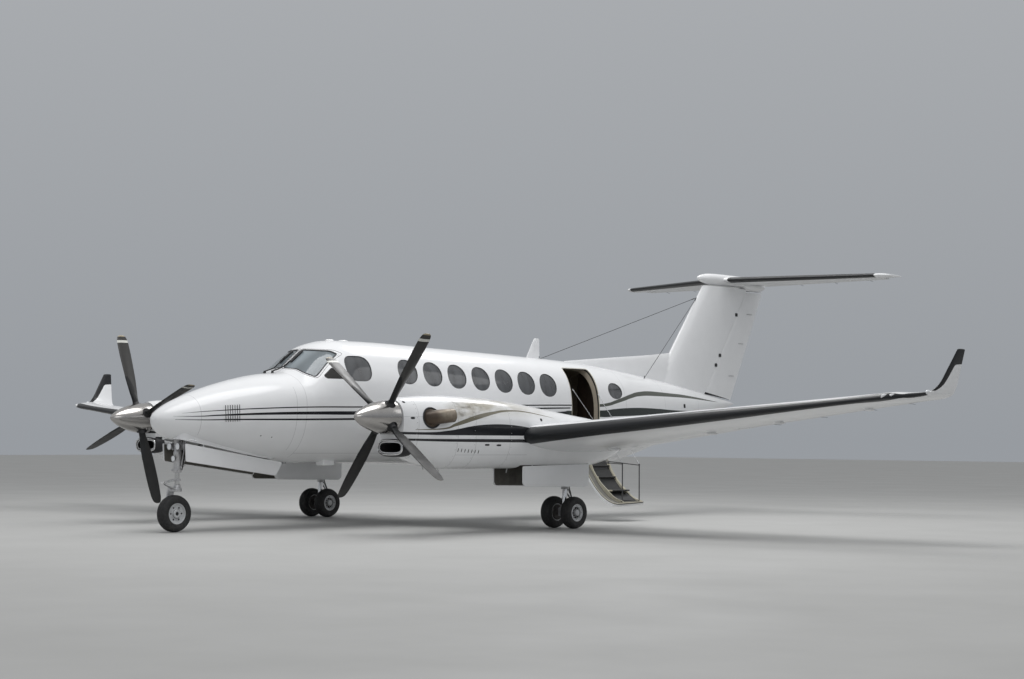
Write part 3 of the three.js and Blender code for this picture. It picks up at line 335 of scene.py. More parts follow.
class Shape:
    """Points and faces gathered part by part before they become one piece."""

    def __init__(self) -> None:
        """Starts with nothing."""
        self.points: list[np.ndarray] = []
        self.faces: list[list[int]] = []
        self.finishes: list[int] = []
        self.count = 0

    def add(self, points: np.ndarray, faces: Iterable[Sequence[int]], finish: int = 0) -> "Shape":
        """Adds points and the faces between them.

        Args:
            points: Array of points.
            faces: Point numbers of each face.
            finish: Which of the piece's finishes they take.

        Returns:
            This shape.
        """
        points = np.asarray(points, float).reshape(-1, 3)
        made = [[i + self.count for i in face] for face in faces]
        self.points.append(points)
        self.faces.extend(made)
        self.finishes.extend([finish] * len(made))
        self.count += len(points)
        return self

    def loft(self, rings: np.ndarray, finish: int = 0, looped: bool = False) -> "Shape":
        """Skins a row of rings; flat caps close an open row.

        Args:
            rings: Array of rings of equal point counts.
            finish: Which finish.
            looped: Whether the last ring joins the first.

        Returns:
            This shape.
        """
        rings = np.asarray(rings, float)
        rows, sides = rings.shape[:2]
        index = np.arange(rows * sides).reshape(rows, sides)
        walked = np.vstack([index, index[:1]]) if looped else index
        a, d = walked[:-1], walked[1:]
        b, c = np.roll(a, -1, axis=1), np.roll(d, -1, axis=1)
        faces = np.stack([a, b, c, d], axis=-1).reshape(-1, 4).tolist()
        if not looped:
            faces += [index[0][::-1].tolist(), index[-1].tolist()]
        return self.add(rings, faces, finish)

    def turned(self, profile: Sequence[Point], origin: Point, axis: Point, sides: int = 32,
               finish: int = 0, looped: bool = False) -> "Shape":
        """Turns a profile about an axis.

        Args:
            profile: Radius and distance along the axis.
            origin: Where the distance is zero.
            axis: Direction of the axis.
            sides: Points round it.
            finish: Which finish.
            looped: Whether the profile is closed.

        Returns:
            This shape.
        """
        axis = unit(axis)
        u = unit(np.cross(axis, (0, 0, 1) if abs(axis[2]) < 0.9 else (0, 1, 0)))
        v = np.cross(axis, u)
        turn = turns(sides)
        circle = np.outer(np.cos(turn), u) + np.outer(np.sin(turn), v)
        rings = [np.asarray(origin) + axis * along + circle * radius for radius, along in profile]
        return self.loft(np.array(rings), finish, looped)

    def rod(self, start: Point, end: Point, radius: float, sides: int = 20, finish: int = 0,
            end_radius: float | None = None) -> "Shape":
        """Adds a round rod with eased ends.

        Args:
            start: Middle of one end.
            end: Middle of the other.
            radius: Its radius.
            sides: Points round it.
            finish: Which finish.
            end_radius: Radius at the end, where it tapers.

        Returns:
            This shape.
        """
        last = radius if end_radius is None else end_radius
        length = float(np.linalg.norm(np.subtract(end, start)))
        ease = min(0.12 * min(radius, last), 0.2 * length)
        profile = [(radius - ease, 0), (radius, ease), (last, length - ease), (last - ease, length)]
        return self.turned(profile, start, np.subtract(end, start), sides, finish)

    def tube(self, path: Sequence[Point], radius: float | Sequence[float], sides: int = 12,
             finish: int = 0) -> "Shape":
        """Sweeps a circle along an open line.

        Args:
            path: Points of the line.
            radius: One radius, or one for each point.
            sides: Points round it.
            finish: Which finish.

        Returns:
            This shape.
        """
        path = np.asarray(path, float)
        radii = np.broadcast_to(radius, len(path))
        tangents = np.gradient(path, axis=0)
        across = unit(np.cross(tangents[0], (0, 0, 1) if abs(unit(tangents[0])[2]) < 0.9 else (0, 1, 0)))
        turn = turns(sides)
        rings = []
        for point, tangent, size in zip(path, tangents, radii):
            tangent = unit(tangent)
            across = unit(across - tangent * np.dot(across, tangent))
            other = np.cross(tangent, across)
            rings.append(point + size * (np.outer(np.cos(turn), across) + np.outer(np.sin(turn), other)))
        return self.loft(np.array(rings), finish)

    def hoop(self, path: np.ndarray, axis: Point, radius: float, finish: int = 0,
             flat: float = 1.0, sides: int = 10) -> "Shape":
        """Sweeps a small oval round a closed line.

        Args:
            path: Points of the closed line.
            axis: Rough direction that the line goes round.
            radius: Half width of the oval within the line's own plane.
            finish: Which finish.
            flat: Its half depth along the axis, as a share of the radius.
            sides: Points round the oval.

        Returns:
            This shape.
        """
        path = np.asarray(path, float)
        tangents = np.roll(path, -1, axis=0) - np.roll(path, 1, axis=0)
        turn = turns(sides)
        rings = []
        for point, tangent in zip(path, tangents):
            outward = unit(np.cross(tangent, axis))
            other = unit(np.cross(outward, tangent)) * flat
            rings.append(point + radius * (np.outer(np.cos(turn), outward) + np.outer(np.sin(turn), other)))
        return self.loft(np.array(rings), finish, looped=True)

    def plate(self, outline: Sequence[Point], axis: Axis, low: float, high: float,
              ease: float = 0.0, finish: int = 0) -> "Shape":
        """Adds a flat plate with eased edges.

        Args:
            outline: Corners in the two axes that the plate's face lies in.
            axis: Axis of its thickness.
            low: Where it starts on that axis.
            high: Where it ends.
            ease: Width of the rounding along its edges.
            finish: Which finish.

        Returns:
            This shape.
        """
        first, second, through = axis.value
        flat = np.zeros((len(outline), 3))
        flat[:, [first, second]] = np.asarray(outline, float)
        flat[:, through] = low
        work = bmesh.new()
        face = work.faces.new([work.verts.new(p) for p in flat])
        made = bmesh.ops.extrude_face_region(work, geom=[face])
        move = [0.0, 0.0, 0.0]
        move[through] = high - low
        moved = [g for g in made["geom"] if isinstance(g, bmesh.types.BMVert)]
        bmesh.ops.translate(work, vec=move, verts=moved)
        bmesh.ops.recalc_face_normals(work, faces=work.faces[:])
        if ease > 0:
            edges = [e for e in work.edges if e.is_manifold and e.calc_face_angle() > math.radians(40)]
            bmesh.ops.bevel(work, geom=edges, offset=ease, segments=2, profile=0.6,
                            affect="EDGES", clamp_overlap=True)
        return self.absorb(work, finish)

    def box(self, low: Point, high: Point, ease: float = 0.004, finish: int = 0) -> "Shape":
        """Adds a block with eased edges between two corners."""
        return self.plate(rectangle(low[:2], high[:2]), Axis.Z, low[2], high[2], ease, finish)

    def absorb(self, work: bmesh.types.BMesh, finish: int = 0) -> "Shape":
        """Takes over a bmesh and frees it."""
        work.verts.index_update()
        points = np.array([v.co[:] for v in work.verts])
        self.add(points, [[v.index for v in f.verts] for f in work.faces], finish)
        work.free()
        return self

    def panel(self, outline: np.ndarray, skin: Callable[[np.ndarray, float], np.ndarray],
              depth: float, thickness: float, finish: int = 0, rings: int = 7,
              back_finish: int | None = None) -> "Shape":
        """Adds a closed curved panel that lies on a skin.

        Args:
            outline: Its flat outline.
            skin: Maps flat points and a depth to points in space.
            depth: How deep its outer face lies under the skin.
            thickness: Its thickness.
            finish: Which finish.
            rings: Rows of faces from its edge to its middle.
            back_finish: Finish of the inner face, where it differs.

        Returns:
            This shape.
        """
        outline = np.asarray(outline, float)
        shares = np.linspace(0, 1, rings + 1) ** 0.8
        front = [skin(scaled(outline, s), depth) for s in shares]
        back = [skin(scaled(outline, s), depth + thickness) for s in shares[::-1]]
        start = len(self.finishes)
        self.loft(np.array(front + back), finish)
        if back_finish is not None:
            first = start + len(outline) * (len(front) + 1)
            self.finishes[first:] = [back_finish] * (len(self.finishes) - first)
        return self

    def bent(self, change: Callable[[np.ndarray], np.ndarray]) -> "Shape":
        """Returns a copy whose points went through the given function."""
        copy = Shape()
        copy.add(change(np.vstack(self.points)), self.faces)
        copy.finishes = list(self.finishes)
        return copy

    def sided(self, side: Side) -> "Shape":
        """Returns the shape itself for the port side, and its mirror image for the other."""
        if side is Side.LEFT:
            return self
        copy = self.bent(lambda points: points * (-1, 1, 1))
        copy.faces = [face[::-1] for face in copy.faces]
        return copy

    def join(self, other: "Shape") -> "Shape":
        """Adds another shape, with its own choice of finishes."""
        base = len(self.finishes)
        self.add(np.vstack(other.points), other.faces)
        self.finishes[base:] = other.finishes
        return self

    def mesh_object(self, name: str, finishes: Sequence["Finish"] = (),
                    angle: float = 35.0) -> bpy.types.Object:
        """Makes a smooth-shaded mesh object with merged points and outward faces.

        Args:
            name: The object's name.
            finishes: The finishes that the faces choose from.
            angle: Edges sharper than this, in degrees, stay sharp.

        Returns:
            The object.
        """
        mesh = bpy.data.meshes.new(name)
        mesh.from_pydata(np.vstack(self.points).tolist(), [], self.faces)
        for finish in finishes:
            mesh.materials.append(finish.material())
        mesh.polygons.foreach_set("material_index", self.finishes)
        work = bmesh.new()
        work.from_mesh(mesh)
        bmesh.ops.remove_doubles(work, verts=work.verts[:], dist=1e-5)
        bmesh.ops.recalc_face_normals(work, faces=work.faces[:])
        work.to_mesh(mesh)
        work.free()
        mesh.shade_smooth()
        mesh.set_sharp_from_angle(angle=math.radians(angle))
        made = bpy.data.objects.new(name, mesh)
        bpy.context.scene.collection.objects.link(made)
        return made

    def piece(self, name: str, body: str, finishes: Sequence["Finish"], slot: str,
              replaces: Sequence[str] = (), angle: float = 35.0) -> bpy.types.Object:
        """Makes the shape a piece of the aircraft.

        Args:
            name: The piece's name.
            body: The body that it rides on.
            finishes: The finishes that its faces choose from.
            slot: The record's material slot; not used.
            replaces: CAD nodes that it stands for.
            angle: Edges sharper than this stay sharp.

        Returns:
            The piece.
        """
        return settle(self.mesh_object(name, finishes, angle), body, replaces)


def settle(made: bpy.types.Object, body: str, replaces: Sequence[str] = ()) -> bpy.types.Object:
    """Ties an object to its body and the nodes that it stands for.

    Args:
        made: The object.
        body: The body that it rides on.
        replaces: CAD nodes that it stands for.

    Returns:
        The same object.
    """
    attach(made, body)
    if replaces:
        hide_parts(*replaces)
    faces = sum(len(p.vertices) - 2 for p in made.data.polygons)
    LOG.info("%-30s %7d triangles, on %s", made.name, faces, body)
    return made


def carve(target: bpy.types.Object, tools: Iterable[Shape], cut: Cut = Cut.TAKE,
          angle: float = 35.0) -> bpy.types.Object:
    """Cuts or joins closed shapes into an object's mesh.

    Args:
        target: The object that is changed.
        tools: Closed shapes, each of one finish among the target's own.
        cut: What each tool does.
        angle: Edges sharper than this stay sharp.

    Returns:
        The target.
    """
    helpers = []
    for tool in tools:
        helper = tool.mesh_object("tool")
        for material in target.data.materials:
            helper.data.materials.append(material)
        finishes = [max(tool.finishes)] * len(helper.data.polygons)
        helper.data.polygons.foreach_set("material_index", finishes)
        helpers.append(helper)
        step = target.modifiers.new("carve", "BOOLEAN")
        step.operation = cut.value
        step.object = helper
        step.solver = "MANIFOLD"
        step.material_mode = "INDEX"
    view = bpy.context.view_layer
    view.update()
    done = target.evaluated_get(bpy.context.evaluated_depsgraph_get())
    mesh = bpy.data.meshes.new_from_object(done)
    target.modifiers.clear()
    target.data = mesh
    for helper in helpers:
        bpy.data.objects.remove(helper)
    mesh.shade_smooth()
    mesh.set_sharp_from_angle(angle=math.radians(angle))
    return target


@dataclass(frozen=True)
class Hull:
    """A body of rounded-square sections along Y.

    Attributes:
        rows: Its station table.
        centre_x: Where its middle plane stands.
    """

    rows: tuple[tuple[float, ...], ...]
    centre_x: float = 0.0

    def ring(self, y: float, count: int, inset: float = 0.0) -> np.ndarray:
        """Draws the section at one station.

        Args:
            y: The station.
            count: Number of points.
            inset: How far the section is pulled in.

        Returns:
            The ring's points.
        """
        top, bottom, half, waist, power = smooth(self.rows, y)[0]
        turn = turns(count * 8)
        across = np.sign(np.cos(turn)) * np.abs(np.cos(turn)) ** (2 / power)
        rise = np.sign(np.sin(turn)) * np.abs(np.sin(turn)) ** (2 / power)
        reach = np.where(rise > 0, top - waist, waist - bottom) - inset
        flat = np.stack([self.centre_x + across * (half - inset), waist + rise * reach], axis=1)
        flat = even_loop(flat, count)
        return np.stack([flat[:, 0], np.full(count, y), flat[:, 1]], axis=1)

    def solid(self, stations: Iterable[float], count: int, inset: float = 0.0, finish: int = 0) -> Shape:
        """Lofts a stretch of the hull as a closed shape."""
        return Shape().loft(np.array([self.ring(y, count, inset) for y in stations]), finish)

    def side_x(self, y: float | np.ndarray, z: float | np.ndarray, inset: float = 0.0) -> np.ndarray:
        """Finds the port skin's x.

        Args:
            y: Stations.
            z: Heights.
            inset: Depth under the skin.

        Returns:
            The x of each point.
        """
        y, z = np.broadcast_arrays(np.atleast_1d(y), np.atleast_1d(z))
        top, bottom, half, waist, power = smooth(self.rows, y).T
        reach = np.where(z > waist, top - waist, waist - bottom) - inset
        rise = np.clip(np.abs(z - waist) / reach, 0, 1)
        return self.centre_x + (1 - rise**power) ** (1 / power) * (half - inset)

    def half_at(self, y: float, z: float, inset: float) -> float:
        """Returns the port skin's x at one station and height."""
        return float(self.side_x(y, z, inset)[0])

    def low_z(self, y: float) -> float:
        """Returns the height of the lowest line at a station."""
        return float(smooth(self.rows, y)[0][1])

    def top_z(self, x: float | np.ndarray, y: float | np.ndarray, inset: float = 0.0) -> np.ndarray:
        """Finds the height of the upper skin.

        Args:
            x: Places across.
            y: Stations.
            inset: Depth under the skin.

        Returns:
            The z of each point.
        """
        x, y = np.broadcast_arrays(np.atleast_1d(x), np.atleast_1d(y))
        top, _, half, waist, power = smooth(self.rows, y).T
        across = np.clip(np.abs(x - self.centre_x) / (half - inset), 0, 1)
        return waist + (1 - across**power) ** (1 / power) * (top - waist - inset)

    def front_y(self, x: np.ndarray, z: np.ndarray, inset: float = 0.0) -> np.ndarray:
        """Finds the station where the windscreen's slope reaches a height.

        Args:
            x: Places across.
            z: Heights.
            inset: Depth under the skin.

        Returns:
            The y of each point.
        """
        low, high = (np.full(len(x), y) for y in SCREEN_REACH)
        for _ in range(24):
            middle = (low + high) / 2
            under = self.top_z(x, middle, inset) < z
            low, high = np.where(under, middle, low), np.where(under, high, middle)
        return (low + high) / 2

    def side_skin(self, side: Side) -> Callable[[np.ndarray, float], np.ndarray]:
        """Returns a map from y, z and a depth to a side's skin."""

        def place(flat: np.ndarray, depth: float) -> np.ndarray:
            """Puts flat points on the skin."""
            x = self.side_x(flat[:, 0], flat[:, 1], depth) - self.centre_x
            return np.stack([self.centre_x + side.value * x, flat[:, 0], flat[:, 1]], axis=1)

        return place

    def front_skin(self, side: Side) -> Callable[[np.ndarray, float], np.ndarray]:
        """Returns a map from x, z and a depth to the windscreen's skin."""

        def place(flat: np.ndarray, depth: float) -> np.ndarray:
            """Puts flat points on the skin."""
            y = self.front_y(flat[:, 0], flat[:, 1], depth)
            return np.stack([side.value * flat[:, 0], y, flat[:, 1]], axis=1)

        return place

    def outward(self, points: np.ndarray) -> tuple[np.ndarray, np.ndarray]:
        """Finds the skin's own normals near some points.

        Args:
            points: Points on or near the skin.

        Returns:
            The unit normals, and how far each point is from the skin.
        """

        def level(at: np.ndarray) -> np.ndarray:
            """Returns 1 on the skin, less inside."""
            top, bottom, half, waist, power = smooth(self.rows, at[:, 1]).T
            reach = np.where(at[:, 2] > waist, top - waist, waist - bottom)
            across = np.abs(at[:, 0] - self.centre_x) / half
            return (across**power + (np.abs(at[:, 2] - waist) / reach) ** power) ** (1 / power)

        step = 5e-4
        slopes = [(level(points + step * e) - level(points - step * e)) / (2 * step) for e in np.eye(3)]
        slope = np.stack(slopes, axis=1)
        length = np.maximum(np.linalg.norm(slope, axis=1), 1e-9)
        return slope / length[:, None], np.abs(level(points) - 1) / length

    def polish(self, made: bpy.types.Object, near: float = 0.0015) -> bpy.types.Object:
        """Gives faces on the skin its exact normals, so that gloss shows no facets.

        Args:
            made: An object whose mesh lies partly on the skin.
            near: How close to the skin a corner has to be.

        Returns:
            The same object.
        """
        mesh = made.data
        points = np.zeros(len(mesh.vertices) * 3)
        mesh.vertices.foreach_get("co", points)
        points = points.reshape(-1, 3)
        exact, away = self.outward(points)
        corner = np.zeros(len(mesh.loops), int)
        mesh.loops.foreach_get("vertex_index", corner)
        sizes = np.zeros(len(mesh.polygons), int)
        mesh.polygons.foreach_get("loop_total", sizes)
        flat = np.zeros(len(mesh.polygons) * 3)
        mesh.polygons.foreach_get("normal", flat)
        face = np.repeat(flat.reshape(-1, 3), sizes, axis=0)
        current = np.array([n.vector[:] for n in mesh.corner_normals])
        agrees = np.einsum("ij,ij->i", face, exact[corner]) > 0.86
        use = (away[corner] < near) & agrees
        current[use] = exact[corner][use]
        mesh.normals_split_custom_set(current.tolist())
        return made


FUSELAGE = Hull(FUSELAGE_ROWS)
NACELLE = Hull(NACELLE_ROWS, ENGINE_X)


# Repeats by Geometry Nodes

# The inputs of a repeat's node tree.
SIZE_WORDS = ("Width", "Length", "Height")


class Stud(Enum):
    """The small shape that stands on each point."""

    DOME = "dome"
    BAR = "bar"


@dataclass(frozen=True)
class Row:
    """A set of places that one small shape repeats at.

    Attributes:
        name: The piece's name.
        stud: Which shape.
        size: Its width, length and height.
        sides: Points round a dome.
    """

    name: str
    stud: Stud
    size: tuple[float, float, float]
    sides: int = 12

    def tree(self, finish: "Finish") -> bpy.types.NodeTree:
        """Builds the tree that repeats the shape.

        Args:
            finish: The finish of every copy.

        Returns:
            The node tree.
        """
        tree = bpy.data.node_groups.new(self.name, "GeometryNodeTree")
        face = tree.interface
        face.new_socket("Geometry", in_out="INPUT", socket_type="NodeSocketGeometry")
        for word in SIZE_WORDS:
            face.new_socket(word, in_out="INPUT", socket_type="NodeSocketFloat")
        face.new_socket("Geometry", in_out="OUTPUT", socket_type="NodeSocketGeometry")
        nodes, links = tree.nodes, tree.links
        start = nodes.new("NodeGroupInput")
        if self.stud is Stud.BAR:
            size = nodes.new("ShaderNodeCombineXYZ")
            for socket, word in zip(size.inputs, SIZE_WORDS):
                links.new(start.outputs[word], socket)
            made = nodes.new("GeometryNodeMeshCube")
            links.new(size.outputs[0], made.inputs["Size"])
        else:
            made = nodes.new("GeometryNodeMeshCone")
            made.inputs["Vertices"].default_value = self.sides
            for word, socket in zip(SIZE_WORDS, ("Radius Bottom", "Radius Top", "Depth")):
                links.new(start.outputs[word], made.inputs[socket])
        turned = self.aligned(tree, "facing", "Z", None)
        turned = self.aligned(tree, "along", "Y", turned)
        stand = nodes.new("GeometryNodeInstanceOnPoints")
        links.new(start.outputs["Geometry"], stand.inputs["Points"])
        links.new(made.outputs["Mesh"], stand.inputs["Instance"])
        links.new(turned, stand.inputs["Rotation"])
        real = nodes.new("GeometryNodeRealizeInstances")
        links.new(stand.outputs["Instances"], real.inputs[0])
        dressed = nodes.new("GeometryNodeSetMaterial")
        dressed.inputs["Material"].default_value = finish.material()
        links.new(real.outputs[0], dressed.inputs["Geometry"])
        links.new(dressed.outputs["Geometry"], nodes.new("NodeGroupOutput").inputs["Geometry"])
        return tree

    @staticmethod
    def aligned(tree: bpy.types.NodeTree, word: str, axis: str,
                before: bpy.types.NodeSocket | None) -> bpy.types.NodeSocket:
        """Turns a rotation so that an axis follows a point's own vector.

        Args:
            tree: The tree.
            word: The attribute that holds the vector.
            axis: The axis that follows it.
            before: The rotation so far, which its Z axis keeps.

        Returns:
            The new rotation.
        """
        source = tree.nodes.new("GeometryNodeInputNamedAttribute")
        source.data_type = "FLOAT_VECTOR"
        source.inputs["Name"].default_value = word
        turn = tree.nodes.new("FunctionNodeAlignRotationToVector")
        turn.axis = axis
        turn.pivot_axis = "AUTO" if before is None else "Z"
        tree.links.new(next(s for s in source.outputs if s.enabled), turn.inputs["Vector"])
        if before is not None:
            tree.links.new(before, turn.inputs["Rotation"])
        return turn.outputs["Rotation"]

    def build(self, places: Sequence[tuple[Point, Point, Point]], body: str, finish: "Finish",
              slot: str) -> bpy.types.Object:
        """Repeats the shape at every place, as one plain mesh.

        Args:
            places: Point, facing direction and lengthwise direction of each copy.
            body: The body that the piece rides on.
            finish: Its finish.
            slot: The record's material slot; not used.

        Returns:
            The piece.
        """
        mesh = bpy.data.meshes.new(self.name)
        mesh.from_pydata([tuple(p) for p, _, _ in places], [], [])
        for word, column in (("facing", 1), ("along", 2)):
            layer = mesh.attributes.new(word, "FLOAT_VECTOR", "POINT")
            layer.data.foreach_set("vector", np.array([p[column] for p in places], float).ravel())
        made = bpy.data.objects.new(self.name, mesh)
        bpy.context.scene.collection.objects.link(made)
        tree = self.tree(finish)
        step = made.modifiers.new("repeat", "NODES")
        step.node_group = tree
        wanted = dict(zip(SIZE_WORDS, self.size))
        for item in tree.interface.items_tree:
            if item.in_out == "INPUT" and item.name in wanted:
                step[item.identifier] = wanted[item.name]
        bpy.context.view_layer.update()
        done = made.evaluated_get(bpy.context.evaluated_depsgraph_get())
        result = bpy.data.meshes.new_from_object(done)
        made.modifiers.clear()
        made.data = result
        result.shade_smooth()
        result.set_sharp_from_angle(angle=math.radians(40))
        return settle(made, body)


# Materials


class Graph:
    """A procedural material under construction."""

    def __init__(self, name: str) -> None:
        """Starts a material with its one shader and Object coordinates."""
        self.material = bpy.data.materials.new(name)
        self.material.use_nodes = True
        self.tree = self.material.node_tree
        self.shader = self.tree.nodes["Principled BSDF"]
        self.place = self.add("TexCoord").outputs["Object"]
        parts = self.add("SeparateXYZ", {0: self.place})
        self.x, self.y, self.z = parts.outputs

    def add(self, kind: str, inputs: dict | None = None, **settings: object) -> bpy.types.Node:
        """Adds a shader node.

        Args:
            kind: The node's type without its ShaderNode prefix.
            inputs: Values or sockets for its inputs, by name or number.
            settings: Properties of the node.

        Returns:
            The node.
        """
        node = self.tree.nodes.new("ShaderNode" + kind)
        for word, value in settings.items():
            setattr(node, word, value)
        for key, value in (inputs or {}).items():
            self.feed(node.inputs[key], value)
        return node

    def feed(self, socket: bpy.types.NodeSocket, value: object) -> None:
        """Links an input to another socket, or gives it a value."""
        if isinstance(value, bpy.types.NodeSocket):
            self.tree.links.new(value, socket)
        else:
            socket.default_value = value

    def set(self, **values: object) -> None:
        """Sets or links the shader's own inputs; underscores stand for spaces."""
        for word, value in values.items():
            self.feed(self.shader.inputs[word.replace("_", " ")], value)

    def math(self, operation: str, a: object, b: object = 0.0) -> bpy.types.NodeSocket:
        """Returns the result of a Math node."""
        return self.add("Math", {0: a, 1: b}, operation=operation).outputs[0]

    def times(self, first: object, *others: object) -> bpy.types.NodeSocket:
        """Returns the product of some values."""
        for other in others:
            first = self.math("MULTIPLY", first, other)
        return first

    def away(self, value: object, at: object) -> bpy.types.NodeSocket:
        """Returns how far a value lies from a place."""
        return self.math("ABSOLUTE", self.math("SUBTRACT", value, at))

    def ramp(self, value: object, low: float, high: float, start: float = 0.0,
             end: float = 1.0) -> bpy.types.NodeSocket:
        """Maps a value from one range to another and holds it at the ends."""
        inputs = {"Value": value, "From Min": low, "From Max": high, "To Min": start, "To Max": end}
        return self.add("MapRange", inputs).outputs["Result"]

    def noise(self, scale: float, detail: float = 3.0, stretch: Point = (1, 1, 1)) -> bpy.types.NodeSocket:
        """Returns a noise of so many cycles a metre."""
        place = self.place
        if tuple(stretch) != (1, 1, 1):
            place = self.add("Mapping", {"Vector": place, "Scale": tuple(stretch)}).outputs[0]
        inputs = {"Vector": place, "Scale": scale, "Detail": detail, "Roughness": 0.55}
        return self.add("TexNoise", inputs).outputs[0]

    def blend(self, share: object, first: object, second: object) -> bpy.types.NodeSocket:
        """Mixes two colours; a share of 0 gives the first."""
        node = self.add("Mix", {0: share}, data_type="RGBA")
        for key, value in ((6, first), (7, second)):
            plain = not isinstance(value, bpy.types.NodeSocket)
            self.feed(node.inputs[key], (*value, 1.0) if plain else value)
        return node.outputs[2]

    def curve(self, at: bpy.types.NodeSocket, rows: Sequence[Point]) -> bpy.types.NodeSocket:
        """Reads a value from a smooth curve.

        Args:
            at: Where it is read.
            rows: Place and value of each point.

        Returns:
            The value.
        """
        table = np.asarray(rows, float)
        first, last = table[0, 0], table[-1, 0]
        low, high = table[:, 1].min(), table[:, 1].max() + 1e-6
        node = self.add("FloatCurve", {"Value": self.ramp(at, first, last)})
        line = node.mapping.curves[0]
        flat = np.c_[(table[:, 0] - first) / (last - first), (table[:, 1] - low) / (high - low)]
        for place in flat[1:-1]:
            line.points.new(*place)
        for point, place in zip(line.points, flat):
            point.location = place
            point.handle_type = "AUTO_CLAMPED"
        node.mapping.update()
        return self.math("ADD", self.times(node.outputs[0], float(high - low)), float(low))

    def band(self, rows: Sequence[Point], ease: float = 0.0012) -> bpy.types.NodeSocket:
        """Draws a stripe along Y.

        Args:
            rows: Station, height of the middle and half depth of the stripe.
            ease: Softness of its edge.

        Returns:
            1 on the stripe and 0 beside it.
        """
        table = np.asarray(rows, float)
        middle = self.curve(self.y, table[:, :2])
        half = self.curve(self.y, table[:, [0, 2]])
        inside = self.ramp(self.math("SUBTRACT", half, self.away(self.z, middle)), -ease, ease)
        ends = self.within((None, float(table[0, 0]), None), (None, float(table[-1, 0]), None))
        return self.times(inside, ends)

    def within(self, low: Point, high: Point) -> bpy.types.NodeSocket:
        """Returns 1 inside a block given by two corners, where None leaves a side open."""
        result = None
        for value, bottom, top in zip((self.x, self.y, self.z), low, high):
            for limit, operation in ((bottom, "GREATER_THAN"), (top, "LESS_THAN")):
                if limit is not None:
                    mask = self.math(operation, value, limit)
                    result = mask if result is None else self.times(result, mask)
        return result

    def line(self, value: object, at: float, half: float) -> bpy.types.NodeSocket:
        """Returns 1 on a thin line where a value is met."""
        return self.ramp(self.away(value, at), half * 1.6, half * 0.4)

    def bump(self, height: object, depth: float) -> None:
        """Roughens the surface by a height between 0 and 1."""
        node = self.add("Bump", {"Height": height, "Distance": depth, "Strength": 1.0})
        self.tree.links.new(node.outputs[0], self.shader.inputs["Normal"])


def darker(colour: Colour, share: float) -> Colour:
    """Returns a colour darkened by a share of itself."""
    return tuple(c * (1 - share) for c in colour)


@dataclass(frozen=True)
class Finish:
    """A surface finish with an uneven colour, gloss and fine relief.

    Attributes:
        name: The material's name.
        colour: Base colour.
        roughness: Mean roughness.
        metallic: 1 for bare metal.
        coat: Weight of a clear coat.
        mottle: Share by which the colour varies.
        grain: Cycles a metre of the variation.
        relief: Depth of the bump.
        stretch: Stretch of the grain along each axis.
        specular: The shader's specular level.
    """

    name: str
    colour: Colour
    roughness: float
    metallic: float = 0.0
    coat: float = 0.0
    mottle: float = 0.06
    grain: float = 40.0
    relief: float = 0.0
    stretch: tuple[float, float, float] = (1, 1, 1)
    specular: float = 0.5

    def material(self) -> bpy.types.Material:
        """Returns the finish's material, made on first use."""
        name = f"look_{self.name}"
        known = bpy.data.materials.get(name)
        if known is None:
            graph = Graph(name)
            self.dress(graph)
            known = graph.material
        return known

    def dress(self, graph: Graph) -> None:
        """Sets the shader's gloss, colour and relief."""
        graph.set(Metallic=self.metallic, Coat_Weight=self.coat, Coat_Roughness=0.06,
                  Specular_IOR_Level=self.specular)
        cloud = graph.noise(self.grain, 4.0, self.stretch)
        graph.set(Base_Color=self.tint(graph, cloud), Roughness=self.gloss(graph, cloud))
        self.relieve(graph)

    def tint(self, graph: Graph, cloud: bpy.types.NodeSocket) -> bpy.types.NodeSocket:
        """Returns the surface's colour."""
        return graph.blend(graph.ramp(cloud, 0.3, 0.7), darker(self.colour, self.mottle), self.colour)

    def gloss(self, graph: Graph, cloud: bpy.types.NodeSocket) -> bpy.types.NodeSocket:
        """Returns the surface's roughness."""
        return graph.ramp(cloud, 0.3, 0.7, self.roughness * 1.12, self.roughness * 0.88)

    def relieve(self, graph: Graph) -> None:
        """Adds the fine relief."""
        if self.relief:
            graph.bump(graph.noise(self.grain * 8, 3.0, self.stretch), self.relief)


@dataclass(frozen=True)
class Stripe:
    """A painted stripe.

    Attributes:
        colour: Its colour.
        rows: Station, middle height and half depth.
    """

    colour: Colour
    rows: tuple[tuple[float, float, float], ...]


